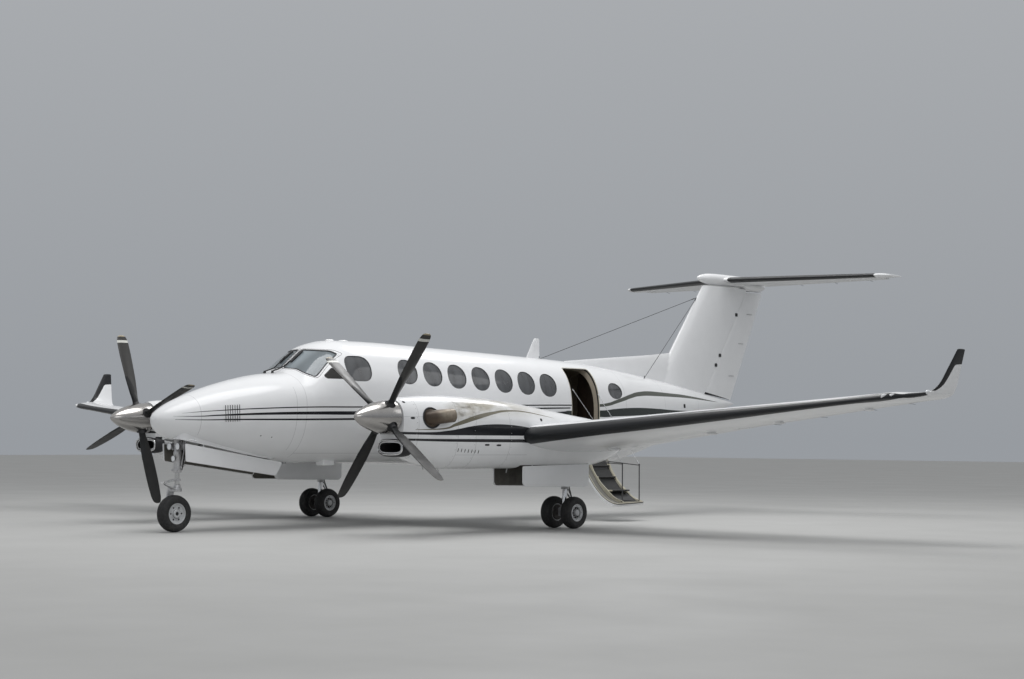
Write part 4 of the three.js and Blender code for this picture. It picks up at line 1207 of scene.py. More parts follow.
@dataclass(frozen=True)
class Livery(Finish):
    """Glossy white paint with stripes, fine seams, painted shade low on the body and, where sooty, an
    exhaust stain.

    Attributes:
        stripes: The painted stripes.
        seams: Seams across the body. Columns: station, lowest height, greatest height.
        long_seams: Seams along it. Columns: height, first station, last station.
        sooty: Whether exhaust gas has stained it.
        grimy_below: Height under which painted shade darkens the paint in streaks.
    """

    stripes: tuple[Stripe, ...] = ()
    seams: tuple[tuple[float, float, float], ...] = ()
    long_seams: tuple[tuple[float, float, float], ...] = ()
    sooty: bool = False
    grimy_below: float = 1.1

    def tint(self, graph: Graph, cloud: bpy.types.NodeSocket) -> bpy.types.NodeSocket:
        """Returns white paint, then painted shade low down, the exhaust stain, seams and stripes over it."""
        colour = super().tint(graph, cloud)
        # Painted shade: the paint turns a darker warm grey in streaks towards the bottom, where less light
        # falls.
        low = graph.ramp(graph.z, self.grimy_below, self.grimy_below - 0.35)
        shade_streaks = graph.ramp(graph.noise(7.0, 5.0, (1, 0.35, 1)), 0.42, 0.75)
        colour = graph.blend(graph.times(low, shade_streaks, 0.35), colour, (0.36, 0.33, 0.28))
        if self.sooty:
            colour = self.stained(graph, colour)
        for mask in self.seam_masks(graph):
            colour = graph.blend(graph.times(mask, 0.5), colour, (0.12, 0.12, 0.13))
        for stripe in self.stripes:
            colour = graph.blend(graph.band(stripe.rows), colour, stripe.colour)
        return colour

    def stained(self, graph: Graph, colour: bpy.types.NodeSocket) -> bpy.types.NodeSocket:
        """Adds the brown stain behind the exhaust pipes."""
        along = graph.ramp(graph.y, -4.46, -4.25)
        fading = graph.ramp(graph.y, -1.9, -3.7)
        path = ((-4.4, 1.62), (-3.8, 1.700), (-3.2, 1.730), (-2.2, 1.68), (-1.6, 1.62))
        spread = graph.ramp(graph.away(graph.z, graph.curve(graph.y, path)), 0.17, 0.05)
        ragged = graph.ramp(graph.noise(9.0, 6.0, (1, 0.4, 1)), 0.34, 0.60, 0.25, 1.0)
        mask = graph.times(along, fading, spread, ragged)
        soot = graph.times(graph.ramp(graph.noise(15.0, 5.0, (1, 0.6, 1)), 0.50, 0.66),
                           graph.ramp(graph.y, -3.55, -4.05))
        tan = graph.blend(graph.times(mask, 0.85), colour, (0.36, 0.33, 0.26))
        return graph.blend(graph.times(soot, mask, 0.75), tan, (0.13, 0.12, 0.10))

    def seam_masks(self, graph: Graph) -> list[bpy.types.NodeSocket]:
        """Returns a mask for each seam."""
        masks = []
        for at, low, high in self.seams:
            masks.append(graph.times(graph.line(graph.y, at, 0.0022),
                                     graph.within((None, None, low), (None, None, high))))
        for at, first, last in self.long_seams:
            masks.append(graph.times(graph.line(graph.z, at, 0.002),
                                     graph.within((None, first, None), (None, last, None))))
        return masks


@dataclass(frozen=True)
class BootedPaint(Finish):
    """White paint with black de-icing boots along a leading edge.

    Attributes:
        edges: For each boot: the axis that the edge runs along ("x" or "z"), its start, its
            end, and rows of place and the boot's rear y.
    """

    edges: tuple[tuple[str, float, float, tuple[tuple[float, float], ...]], ...] = ()

    def boot(self, graph: Graph) -> bpy.types.NodeSocket:
        """Returns 1 on the boots."""
        total = None
        for axis, start, end, rows in self.edges:
            along = graph.math("ABSOLUTE", graph.x) if axis == "x" else graph.z
            rear = graph.curve(along, rows)
            mask = graph.ramp(graph.math("SUBTRACT", rear, graph.y), -0.001, 0.001)
            for limit, operation in ((start, "GREATER_THAN"), (end, "LESS_THAN")):
                mask = graph.times(mask, graph.math(operation, along, limit))
            if axis == "z":
                outer = graph.math("GREATER_THAN", graph.math("ABSOLUTE", graph.x), 8.5)
                mask = graph.times(mask, outer)
            total = mask if total is None else graph.math("MAXIMUM", total, mask)
        return total

    def tint(self, graph: Graph, cloud: bpy.types.NodeSocket) -> bpy.types.NodeSocket:
        """Returns white paint and black rubber boots."""
        return graph.blend(self.boot(graph), super().tint(graph, cloud), (0.010, 0.011, 0.013))

    def gloss(self, graph: Graph, cloud: bpy.types.NodeSocket) -> bpy.types.NodeSocket:
        """Returns glossy paint and satin rubber."""
        plain = super().gloss(graph, cloud)
        return graph.math("ADD", plain, graph.times(self.boot(graph), 0.16))


@dataclass(frozen=True)
class BladePaint(Finish):
    """Dark satin blade paint with pale bands near the tips, about one engine's shaft.

    Attributes:
        centre_x: Where the shaft stands.
        bands: Start, end and colour of each band by radius.
    """

    centre_x: float = 0.0
    bands: tuple[tuple[float, float, Colour], ...] = (
        (1.212, 1.252, (0.62, 0.62, 0.58)),
        (1.312, 1.400, (0.36, 0.31, 0.22)),
    )

    def tint(self, graph: Graph, cloud: bpy.types.NodeSocket) -> bpy.types.NodeSocket:
        """Returns dark paint with its bands."""
        colour = super().tint(graph, cloud)
        across = graph.math("SUBTRACT", graph.x, self.centre_x)
        rise = graph.math("SUBTRACT", graph.z, SHAFT_Z)
        square = graph.math("ADD", graph.times(across, across), graph.times(rise, rise))
        radius = graph.math("SQRT", square)
        for start, end, band in self.bands:
            mask = graph.times(graph.math("GREATER_THAN", radius, start),
                               graph.math("LESS_THAN", radius, end))
            colour = graph.blend(mask, colour, band)
        return colour


@dataclass(frozen=True)
class TurnedMetal(Finish):
    """Spun and polished metal with fine rings about a shaft along Y."""

    def relieve(self, graph: Graph) -> None:
        """Adds the fine rings that spinning leaves."""
        rings = graph.add("TexWave", {"Vector": graph.place, "Scale": 55.0, "Distortion": 0.4},
                          bands_direction="Y")
        graph.bump(rings.outputs["Fac"], 0.00004)


@dataclass(frozen=True)
class HeatedMetal(Finish):
    """Metal tinted by heat to straw, with painted shade where it sinks into its collar and along its
    underside, and a darker outlet end.
    """

    def tint(self, graph: Graph, cloud: bpy.types.NodeSocket) -> bpy.types.NodeSocket:
        """Returns heat-tinted straw, then painted shade at the collar and underneath, then the darker outlet
        end.
        """
        straw = graph.blend(graph.ramp(cloud, 0.35, 0.65), (0.20, 0.162, 0.122), (0.32, 0.28, 0.225))
        # Painted shade: near black-brown where the pipe sinks into its collar, and darker brown along its
        # underside.
        collar_shade = graph.blend(graph.ramp(graph.y, -4.72, -4.60), (0.060, 0.044, 0.032), straw)
        low = graph.blend(graph.ramp(graph.z, SHAFT_Z + 0.02, SHAFT_Z - 0.07), collar_shade, (0.10, 0.072, 0.050))
        return graph.blend(graph.ramp(graph.y, -4.452, -4.438), low, (0.10, 0.085, 0.07))


@dataclass(frozen=True)
class Glass(Finish):
    """Tinted window glass that lets some light through.

    Attributes:
        clear: Share of the light that passes.
    """

    clear: float = 0.3

    def dress(self, graph: Graph) -> None:
        """Sets a thin tinted pane with faint smears."""
        smear = graph.noise(self.grain, 0.5, self.stretch)
        graph.set(Base_Color=self.tint(graph, smear), Roughness=self.gloss(graph, smear), Metallic=0.0,
                  Alpha=1 - self.clear, Coat_Weight=0.4)
        graph.material.surface_render_method = "BLENDED"


@dataclass(frozen=True)
class Rubber(Finish):
    """Tyre rubber with a dusty, finely pitted surface."""

    def tint(self, graph: Graph, cloud: bpy.types.NodeSocket) -> bpy.types.NodeSocket:
        """Returns near-black rubber with dust low on it."""
        dust = graph.times(graph.ramp(graph.noise(22.0, 5.0), 0.45, 0.75),
                           graph.ramp(graph.z, 0.30, 0.0, 0.15, 0.55))
        return graph.blend(dust, super().tint(graph, cloud), (0.085, 0.078, 0.070))


@dataclass(frozen=True)
class Leather(Finish):
    """Grained upholstery leather."""

    def relieve(self, graph: Graph) -> None:
        """Adds the cells of the grain."""
        cells = graph.add("TexVoronoi", {"Vector": graph.place, "Scale": 420.0},
                          feature="DISTANCE_TO_EDGE")
        graph.bump(graph.ramp(cells.outputs["Distance"], 0.0, 0.25), 0.0004)


@dataclass(frozen=True)
class Pile(Finish):
    """Carpet pile."""

    def relieve(self, graph: Graph) -> None:
        """Adds the tufts."""
        graph.bump(graph.noise(900.0, 2.0), 0.003)
        graph.set(Sheen_Weight=0.25)


BLACK: Colour = (0.014, 0.015, 0.018)
OLIVE: Colour = (0.078, 0.085, 0.070)
KHAKI: Colour = (0.155, 0.142, 0.100)
WHITE: Colour = (0.80, 0.805, 0.815)
GREEN_BLACK: Colour = (0.020, 0.026, 0.022)

FUSELAGE_STRIPES = (
    Stripe(BLACK, (
        (-6.70, 1.592, 0.001), (-6.32, 1.626, 0.005), (-5.42, 1.680, 0.008), (-4.69, 1.705, 0.009),
        (-4.03, 1.715, 0.010), (-2.00, 1.763, 0.010), (0.34, 1.815, 0.010), (1.34, 1.827, 0.010),
    )),
    Stripe(BLACK, (
        (-6.81, 1.550, 0.001), (-6.53, 1.553, 0.005), (-6.22, 1.570, 0.009), (-5.34, 1.607, 0.018),
        (-4.69, 1.621, 0.022), (-4.06, 1.630, 0.025), (-2.00, 1.690, 0.022), (-0.02, 1.760, 0.012),
        (0.60, 1.775, 0.010),
    )),
    Stripe(BLACK, (
        (-6.79, 1.508, 0.002), (-6.53, 1.506, 0.005), (-5.95, 1.517, 0.009), (-4.68, 1.533, 0.013),
        (-2.00, 1.600, 0.016), (0.00, 1.672, 0.022), (0.60, 1.695, 0.036),
    )),
    Stripe(GREEN_BLACK, (
        (0.50, 1.695, 0.034), (1.34, 1.694, 0.053), (1.75, 1.716, 0.061), (2.19, 1.735, 0.066),
        (2.65, 1.748, 0.060), (3.15, 1.755, 0.045), (3.68, 1.763, 0.023), (4.26, 1.777, 0.007),
        (4.66, 1.785, 0.001),
    )),
    Stripe(OLIVE, (
        (1.20, 1.825, 0.020), (1.34, 1.827, 0.023), (1.56, 1.847, 0.025), (1.79, 1.893, 0.028),
        (2.04, 1.947, 0.031), (2.29, 2.002, 0.033), (2.56, 2.041, 0.036), (2.90, 2.056, 0.039),
        (3.23, 2.052, 0.036), (3.59, 2.046, 0.031), (3.96, 2.039, 0.028), (4.33, 2.024, 0.021),
        (4.71, 2.003, 0.016), (5.17, 1.973, 0.006), (5.40, 1.960, 0.001),
    )),
)
NACELLE_STRIPES = (
    Stripe(BLACK, (
        (-5.13, 1.345, 0.016), (-4.73, 1.342, 0.018), (-4.43, 1.352, 0.030), (-4.22, 1.366, 0.044),
        (-4.04, 1.381, 0.059), (-3.86, 1.391, 0.069), (-3.67, 1.397, 0.075), (-3.48, 1.399, 0.077),
        (-3.29, 1.396, 0.074), (-3.09, 1.389, 0.067), (-2.93, 1.380, 0.058), (-2.70, 1.360, 0.040),
        (-2.40, 1.330, 0.004),
    )),
    Stripe(BLACK, (
        (-5.10, 1.262, 0.013), (-4.56, 1.255, 0.017), (-3.86, 1.253, 0.021), (-3.09, 1.252, 0.022),
        (-2.68, 1.225, 0.012), (-2.50, 1.210, 0.001),
    )),
    Stripe(KHAKI, (
        (-4.95, 1.392, 0.003), (-4.76, 1.395, 0.006), (-4.48, 1.410, 0.010), (-4.31, 1.458, 0.020),
        (-4.13, 1.506, 0.028), (-3.94, 1.555, 0.030), (-3.74, 1.598, 0.026), (-3.54, 1.632, 0.018),
        (-3.32, 1.658, 0.012), (-3.12, 1.662, 0.009), (-2.84, 1.645, 0.007), (-2.60, 1.614, 0.005),
        (-2.30, 1.570, 0.001),
    )),
)

WHITE_PAINT = Finish("white_paint", WHITE, 0.20, coat=0.3, mottle=0.03, grain=5.0, specular=0.4)
FUSELAGE_PAINT = Livery(
    "fuselage_paint", WHITE, 0.19, coat=0.3, mottle=0.025, grain=4.0, specular=0.3, stripes=FUSELAGE_STRIPES,
    seams=((-5.05, 1.10, 1.98), (-4.90, 1.0, 2.2), (-6.45, 1.30, 1.86), (2.09, 1.3, 2.5), (3.35, 1.2, 2.4),
           (4.60, 1.4, 2.2)),
    long_seams=((1.06, -4.9, 2.1),),
)
NACELLE_PAINT = Livery(
    "nacelle_paint", WHITE, 0.20, coat=0.3, mottle=0.03, grain=5.0, specular=0.3, stripes=NACELLE_STRIPES,
    sooty=True,
    seams=((-4.90, 0.85, 1.84), (-4.25, 0.85, 1.87), (-3.92, 0.85, 1.87), (-3.28, 0.85, 1.84)),
    long_seams=((1.560, -5.115, -4.82), (1.06, -4.25, -2.9)), grimy_below=1.05,
)
WING_PAINT = BootedPaint(
    "wing_paint", WHITE, 0.22, coat=0.12, mottle=0.03, grain=5.0, specular=0.3,
    edges=(
        ("x", 0.6, 8.672, ((0.60, -2.900), (2.60, -2.885), (3.08, -2.868), (5.60, -2.580), (8.35, -2.275),
                           (8.55, -2.035), (8.69, -1.830))),
        ("z", 1.900, 3.0, ((1.87, -1.870), (1.90, -1.785), (1.97, -1.662), (2.06, -1.578), (2.15, -1.508),
                          (2.225, -1.440), (2.255, -1.200), (2.50, -1.200))),
    ),
)
TAIL_PAINT = BootedPaint(
    "tail_paint", WHITE, 0.22, coat=0.12, mottle=0.03, grain=5.0, specular=0.3,
    edges=(("x", 0.17, 2.74, ((0.0, 5.755), (1.40, 6.170), (2.80, 6.590))),),
)
LINING = Finish("cabin_lining", (0.40, 0.35, 0.28), 0.75, mottle=0.15, grain=18.0, relief=0.0004)
DARK_TRIM = Finish("dark_trim", (0.030, 0.030, 0.032), 0.5, grain=30.0, relief=0.0002)
BAY = Finish("bay_primer", (0.17, 0.18, 0.17), 0.6, mottle=0.35, grain=6.0, relief=0.0003)
SHADOW = Finish("dark_inside", (0.012, 0.012, 0.013), 0.8, grain=20.0)
SEAL = Finish("rubber_seal", (0.020, 0.020, 0.022), 0.6, grain=60.0, relief=0.0002)
PANE = Glass("cabin_glass", (0.100, 0.104, 0.110), 0.06, mottle=0.30, grain=10.0, clear=0.12,
             stretch=(1, 1, 0.25))
DARK_PANE = Glass("quarter_glass", (0.022, 0.021, 0.020), 0.10, mottle=0.2, grain=10.0, clear=0.10)
SCREEN = Glass("windscreen_glass", (0.34, 0.39, 0.42), 0.03, mottle=0.60, grain=4.5, clear=0.30,
               stretch=(0.9, 0.05, 0.3))
POLISHED = Finish("polished_metal", (0.82, 0.82, 0.82), 0.12, metallic=1.0, grain=30.0)
GEAR_METAL = Finish("gear_metal", (0.50, 0.50, 0.51), 0.30, metallic=0.9, mottle=0.45, grain=22.0,
                    relief=0.0003)
# The gear doors' inner faces are a dark brownish grey.
DOOR_INSIDE = Finish("door_inside_paint", (0.125, 0.118, 0.102), 0.6, mottle=0.3, grain=8.0, relief=0.0003)
GEAR_PAINT = Finish("gear_paint", (0.60, 0.60, 0.61), 0.30, metallic=0.55, mottle=0.35, grain=16.0,
                    relief=0.0002)
CHROME = Finish("piston_chrome", (0.80, 0.80, 0.80), 0.08, metallic=1.0, grain=40.0)
RIM_PAINT = Finish("rim_paint", (0.58, 0.59, 0.60), 0.36, metallic=0.25, mottle=0.25, grain=20.0,
                   relief=0.0002)
TYRE = Rubber("tyre_rubber", (0.020, 0.020, 0.021), 0.72, mottle=0.3, grain=40.0, relief=0.0008)
DISC = Finish("brake_steel", (0.085, 0.080, 0.075), 0.5, metallic=0.6, mottle=0.4, grain=30.0)
HOSE = Finish("hose_rubber", (0.018, 0.018, 0.019), 0.45, grain=80.0, relief=0.0003)
BURNT = HeatedMetal("exhaust_metal", (0.30, 0.23, 0.17), 0.40, metallic=0.45, grain=14.0, relief=0.0004)
STEP_CREAM = Finish("step_cream", (0.52, 0.49, 0.39), 0.45, mottle=0.15, grain=14.0, relief=0.0003)
DOOR_LINER = Finish("door_liner", (0.17, 0.165, 0.15), 0.6, mottle=0.2, grain=16.0, relief=0.0003)
TREAD = Finish("tread_grip", (0.040, 0.040, 0.040), 0.85, grain=70.0, relief=0.0015)
RAIL = Finish("rail_steel", (0.085, 0.085, 0.088), 0.35, metallic=0.6, mottle=0.2, grain=40.0)
CABLE = Finish("cable_steel", (0.45, 0.46, 0.47), 0.35, metallic=0.9, grain=200.0, relief=0.0004)
LEATHER = Leather("seat_leather", (0.42, 0.35, 0.26), 0.5, mottle=0.12, grain=12.0)
CARPET = Pile("carpet", (0.115, 0.095, 0.078), 0.95, mottle=0.3, grain=40.0)
WOOD = Finish("cabinet_wood", (0.026, 0.017, 0.012), 0.45, coat=0.15, mottle=0.5, grain=9.0,
              stretch=(1, 1, 0.08))
LAMP = Finish("lamp_glass", (0.86, 0.88, 0.90), 0.05, coat=1.0, mottle=0.05, grain=90.0)
BOOT = Finish("deice_boot", (0.010, 0.011, 0.012), 0.42, grain=60.0, relief=0.0002, specular=0.3)
BLADE_BACK = Finish("blade_back_paint", (0.014, 0.014, 0.014), 0.42, mottle=0.3, grain=12.0, specular=0.3)
DOOR_OUTSIDE = Finish("door_outer_paint", WHITE, 0.20, coat=0.3, mottle=0.03, grain=5.0, specular=0.3)


# Fuselage

# Cabin windows: middle of the first, step to the next, half sizes and count.
WINDOW_FIRST = (-2.982, 2.244)
WINDOW_STEP = (0.515, -0.020)
WINDOW_HALF = (0.196, 0.181)
WINDOW_COUNT = 7
AFT_WINDOW = (1.824, 2.072)
AFT_WINDOW_HALF = (0.196, 0.132)
SCREEN_CORNERS = ((0.034, 2.262), (0.300, 2.240), (0.606, 2.128), (0.540, 2.462), (0.440, 2.510),
                  (0.034, 2.530))
QUARTER_CORNERS = ((-4.512, 2.106), (-4.150, 2.106), (-4.378, 2.268), (-4.538, 2.150))
COCKPIT_WINDOW = ((-4.160, 2.082), (-3.704, 2.446))
DOOR_LOW = (0.638, 1.180)
DOOR_HIGH = (1.326, 2.418)
DOOR_CORNER = 0.060
# The airstair's hinge in x and z, and how far it hangs open.
DOOR_HINGE = (0.790, 1.143)
DOOR_OPEN = math.radians(145)
NOSE_BAY = ((-0.215, -6.690, 0.700), (0.215, -5.060, 1.430))
MAIN_BAY_HALF = 0.262
# A main wheel bay's first and last station, and the height of its roof.
MAIN_BAY = (-2.880, -1.420, 1.200)
FLOOR_TOP = 1.170


def side_windows() -> list[np.ndarray]:
    """Returns the outlines of one side's windows in y and z."""
    outlines = []
    for row in range(WINDOW_COUNT):
        middle = np.add(WINDOW_FIRST, np.multiply(WINDOW_STEP, row))
        outlines.append(oval(middle, WINDOW_HALF, 48, 2.15))
    outlines.append(oval(AFT_WINDOW, AFT_WINDOW_HALF, 48, 2.1))
    outlines.append(rounded(rectangle(*COCKPIT_WINDOW), 0.17, 9))
    outlines.append(rounded(QUARTER_CORNERS, 0.025, 5))
    return outlines


def screen_outline() -> np.ndarray:
    """Returns the outline of one windscreen in x and z, from the middle outwards."""
    return rounded(SCREEN_CORNERS, 0.035, 6)


def doorway_outline(margin: float = 0.0) -> np.ndarray:
    """Returns the doorway's outline in y and z, drawn in by a margin."""
    low = np.add(DOOR_LOW, margin)
    high = np.subtract(DOOR_HIGH, margin)
    return rounded(rectangle(low, high), DOOR_CORNER, 8)


def refined(outline: np.ndarray, step: float = 0.03) -> np.ndarray:
    """Adds points to the long edges of a closed outline."""
    points = []
    for start, end in zip(outline, np.roll(outline, -1, axis=0)):
        count = max(1, int(np.linalg.norm(end - start) / step))
        points += [start + (end - start) * k / count for k in range(count)]
    return np.array(points)


@dataclass(frozen=True)
class Fuselage:
    """The painted fuselage shell with its openings, bays and nose louvres.

    Attributes:
        wall: Thickness of the cabin's wall.
        cabin: First and last station of the hollow cabin.
        sides: Points round a section.
    """

    wall: float = 0.045
    cabin: tuple[float, float] = (-5.000, 2.050)
    sides: int = 104

    def stations(self) -> np.ndarray:
        """Returns the stations of the outer skin, closer together at the nose and tail."""
        first, last = FUSELAGE_ROWS[0][0], FUSELAGE_ROWS[-1][0]
        nose = first + 0.5 * np.linspace(0, 1, 26) ** 1.8
        return np.r_[nose, np.linspace(first + 0.5, last, 250)[1:]]

    def build(self) -> None:
        """Builds the shell, then cuts its cabin, windows, doorway and bay."""
        shell = FUSELAGE.solid(self.stations(), self.sides).mesh_object(
            "fuselage_shell", (FUSELAGE_PAINT, LINING, SEAL, BAY))
        cavity = FUSELAGE.solid(np.linspace(*self.cabin, 120), 72, self.wall, finish=1)
        holes = []
        for side in Side:
            for outline in side_windows():
                prism = Shape().plate(outline, Axis.X, 0.42, 0.95, finish=2)
                holes.append(prism.sided(side))
            screen = Shape().plate(screen_outline(), Axis.Y, -5.0, -4.12, finish=2)
            holes.append(screen.sided(side))
        door = Shape().plate(doorway_outline(), Axis.X, 0.45, 1.0, finish=2)
        low, high = NOSE_BAY
        opening = rounded(rectangle(low[:2], high[:2]), 0.13, 6)
        bay = Shape().plate(opening, Axis.Z, low[2], high[2], finish=3)
        carve(shell, [cavity, *holes, door, bay])
        FUSELAGE.polish(shell)
        settle(shell, AIRFRAME, ("nose_section", "cabin_shell", "tail_section"))
        self.build_louvres()
        self.build_door_frame()
        self.build_sills()

    def build_sills(self) -> None:
        """Builds the rim that hangs from the hull round the nose wheel bay."""
        sills = Shape()
        low, high = NOSE_BAY
        corners = rectangle(np.subtract(low[:2], 0.019), np.add(high[:2], (0.019, 0.04)))
        path = refined(rounded(corners, 0.145, 10), 0.04)
        inner = scaled(path, (0.915, 0.988), (0.0, (low[1] + high[1]) / 2))
        rings = []
        for (x, y), (x_in, y_in) in zip(path, inner):
            _, bottom, half, waist, power = smooth(FUSELAGE_ROWS, y)[0]
            skin = waist - (waist - bottom) * (1 - min(abs(x) / half, 1) ** power) ** (1 / power)
            foot = min(max(1.196 - (y + 6.63) * 0.1534, bottom + 0.004), skin)
            rings.append([(x, y, foot), (x, y, skin + 0.02), (x_in, y_in, skin + 0.03), (x_in, y_in, foot)])
        sills.loft(np.array(rings), looped=True)
        sills.piece("nose_bay_sills", AIRFRAME, (WHITE_PAINT,), "paint_white", angle=50)

    def build_louvres(self) -> None:
        """Builds the rows of upright louvres on both sides of the nose."""
        places = []
        for side in Side:
            skin = FUSELAGE.side_skin(side)
            for k in range(7):
                y = -6.111 + 0.033 * k
                at = skin(np.array([[y, 1.595 + 0.002 * k]]), -0.0005)[0]
                upper, lower, ahead = skin(np.array([[y, 1.69], [y, 1.50], [y + 0.02, 1.595]]), 0)
                along = unit(upper - lower)
                facing = unit(np.cross(ahead - at, along)) * side.value
                places.append((at, facing * side.value * np.sign(facing[0]), along))
        Row("nose_louvres", Stud.BAR, (0.0065, 0.225, 0.006)).build(places, AIRFRAME, SHADOW, "paint_white")

    def build_door_frame(self) -> None:
        """Builds the lined inner frame and rubber seal of the doorway."""
        skin = FUSELAGE.side_skin(Side.LEFT)
        inner = refined(doorway_outline(0.004))
        outer = scaled(inner, 1.10)
        rings = [skin(inner, 0.035), skin(inner, 0.115), skin(outer, 0.115), skin(outer, 0.047)]
        frame = Shape().loft(np.array(rings), 0, looped=True)
        frame.hoop(skin(refined(doorway_outline(-0.004)), 0.004), (1, 0, 0), 0.007, 1)
        frame.piece("door_frame", AIRFRAME, (LINING, STEP_CREAM), "carpet")


@dataclass(frozen=True)
class Glazing:
    """Window panes, their seals, and the windscreen with its wipers.

    Attributes:
        depth: How deep the panes stand under the skin.
        thickness: Their thickness.
    """

    depth: float = 0.010
    thickness: float = 0.006

    def build(self) -> None:
        """Builds the panes of both sides and the wipers."""
        for side in Side:
            skin = FUSELAGE.side_skin(side)
            panes, seals = Shape(), Shape()
            for index, outline in enumerate(side_windows()):
                panes.panel(outline, skin, self.depth, self.thickness, int(index == WINDOW_COUNT + 2))
                seals.hoop(skin(outline, self.depth - 0.004), (1, 0, 0), 0.0065, flat=0.7)
                seals.hoop(skin(scaled(outline, 0.93), 0.034), (1, 0, 0), 0.016, 1, flat=0.5)
            word = side.word
            panes.piece(f"cabin_window_glass_{word}", AIRFRAME, (PANE, DARK_PANE), "glass",
                        (f"cabin_panes_{word}", f"aft_pane_{word}"))
            seals.piece(f"cabin_window_seals_{word}", AIRFRAME, (SEAL, LINING), "panel_black")
            front = FUSELAGE.front_skin(side)
            outline = screen_outline()
            glass = Shape().panel(refined(outline, 0.04), front, self.depth - 0.004, 0.012)
            glass.piece(f"windscreen_glass_{word}", AIRFRAME, (SCREEN,), "glass", (f"windscreen_{word}",))
            edge = Shape().hoop(front(refined(outline, 0.04), 0.002), (0, -0.8, 0.6), 0.013, flat=0.35)
            frame = refined(np.maximum(scaled(outline, 1.10), (0.010, 0)), 0.04)
            edge.hoop(front(frame, 0.001), (0, -0.8, 0.6), 0.0045, flat=0.5)
            edge.piece(f"windscreen_seal_{word}", AIRFRAME, (SEAL,), "panel_black")
            self.build_wiper(side)
            self.build_screws(side, outline)

    def build_wiper(self, side: Side) -> None:
        """Builds one wiper: pivot, arm and blade."""
        x_foot, x_low, x_high = (0.06, 0.090, 0.100) if side is Side.LEFT else (0.11, 0.160, 0.110)
        front = FUSELAGE.front_skin(side)
        x_arm = (x_low + x_high) / 2
        arm = front(np.array([[x_foot, 2.262], [(x_foot + x_arm) / 2, 2.34], [x_arm, 2.43]]), -0.034)
        ahead = arm[0][1] - 0.165
        foot = FUSELAGE.top_z(x_foot, ahead)[0]
        pivot = (side.value * x_foot, ahead, foot)
        wiper = Shape().rod(np.subtract(pivot, (0, 0, 0.01)), np.add(pivot, (0, 0.006, 0.034)), 0.019, 16)
        wiper.tube(flowing([np.add(pivot, (0, 0.004, 0.028)), *arm], 14), 0.0095, 8)
        blade = front(np.array([[x_low, 2.345], [x_arm, 2.43], [x_high, 2.515]]), -0.013)
        wiper.tube(flowing(blade, 12), [0.011, *([0.0175] * 10), 0.011], 10)
        wiper.rod(arm[-1], blade[1], 0.008, 8)
        wiper.piece(f"wiper_{side.word}", AIRFRAME, (SEAL,), "panel_black")

    def build_screws(self, side: Side, outline: np.ndarray) -> None:
        """Stands a row of flush screws round one windscreen."""
        front = FUSELAGE.front_skin(side)
        ring = refined(scaled(outline, 1.045) + (0.002, 0), 0.045)[::2]
        ring = ring[ring[:, 0] > 0.02]
        points = front(ring, 0.0)
        places = []
        for point, (x, z) in zip(points, ring):
            right, above = front(np.array([[x + 0.01, z], [x, z + 0.01]]), 0.0)
            facing = unit(np.cross(right - point, above - point)) * side.value
            places.append((point, facing, (1, 0, 0)))
        Row(f"windscreen_screws_{side.word}", Stud.DOME, (0.0045, 0.0038, 0.0016), 8).build(
            places, AIRFRAME, GEAR_METAL, "gear_metal")


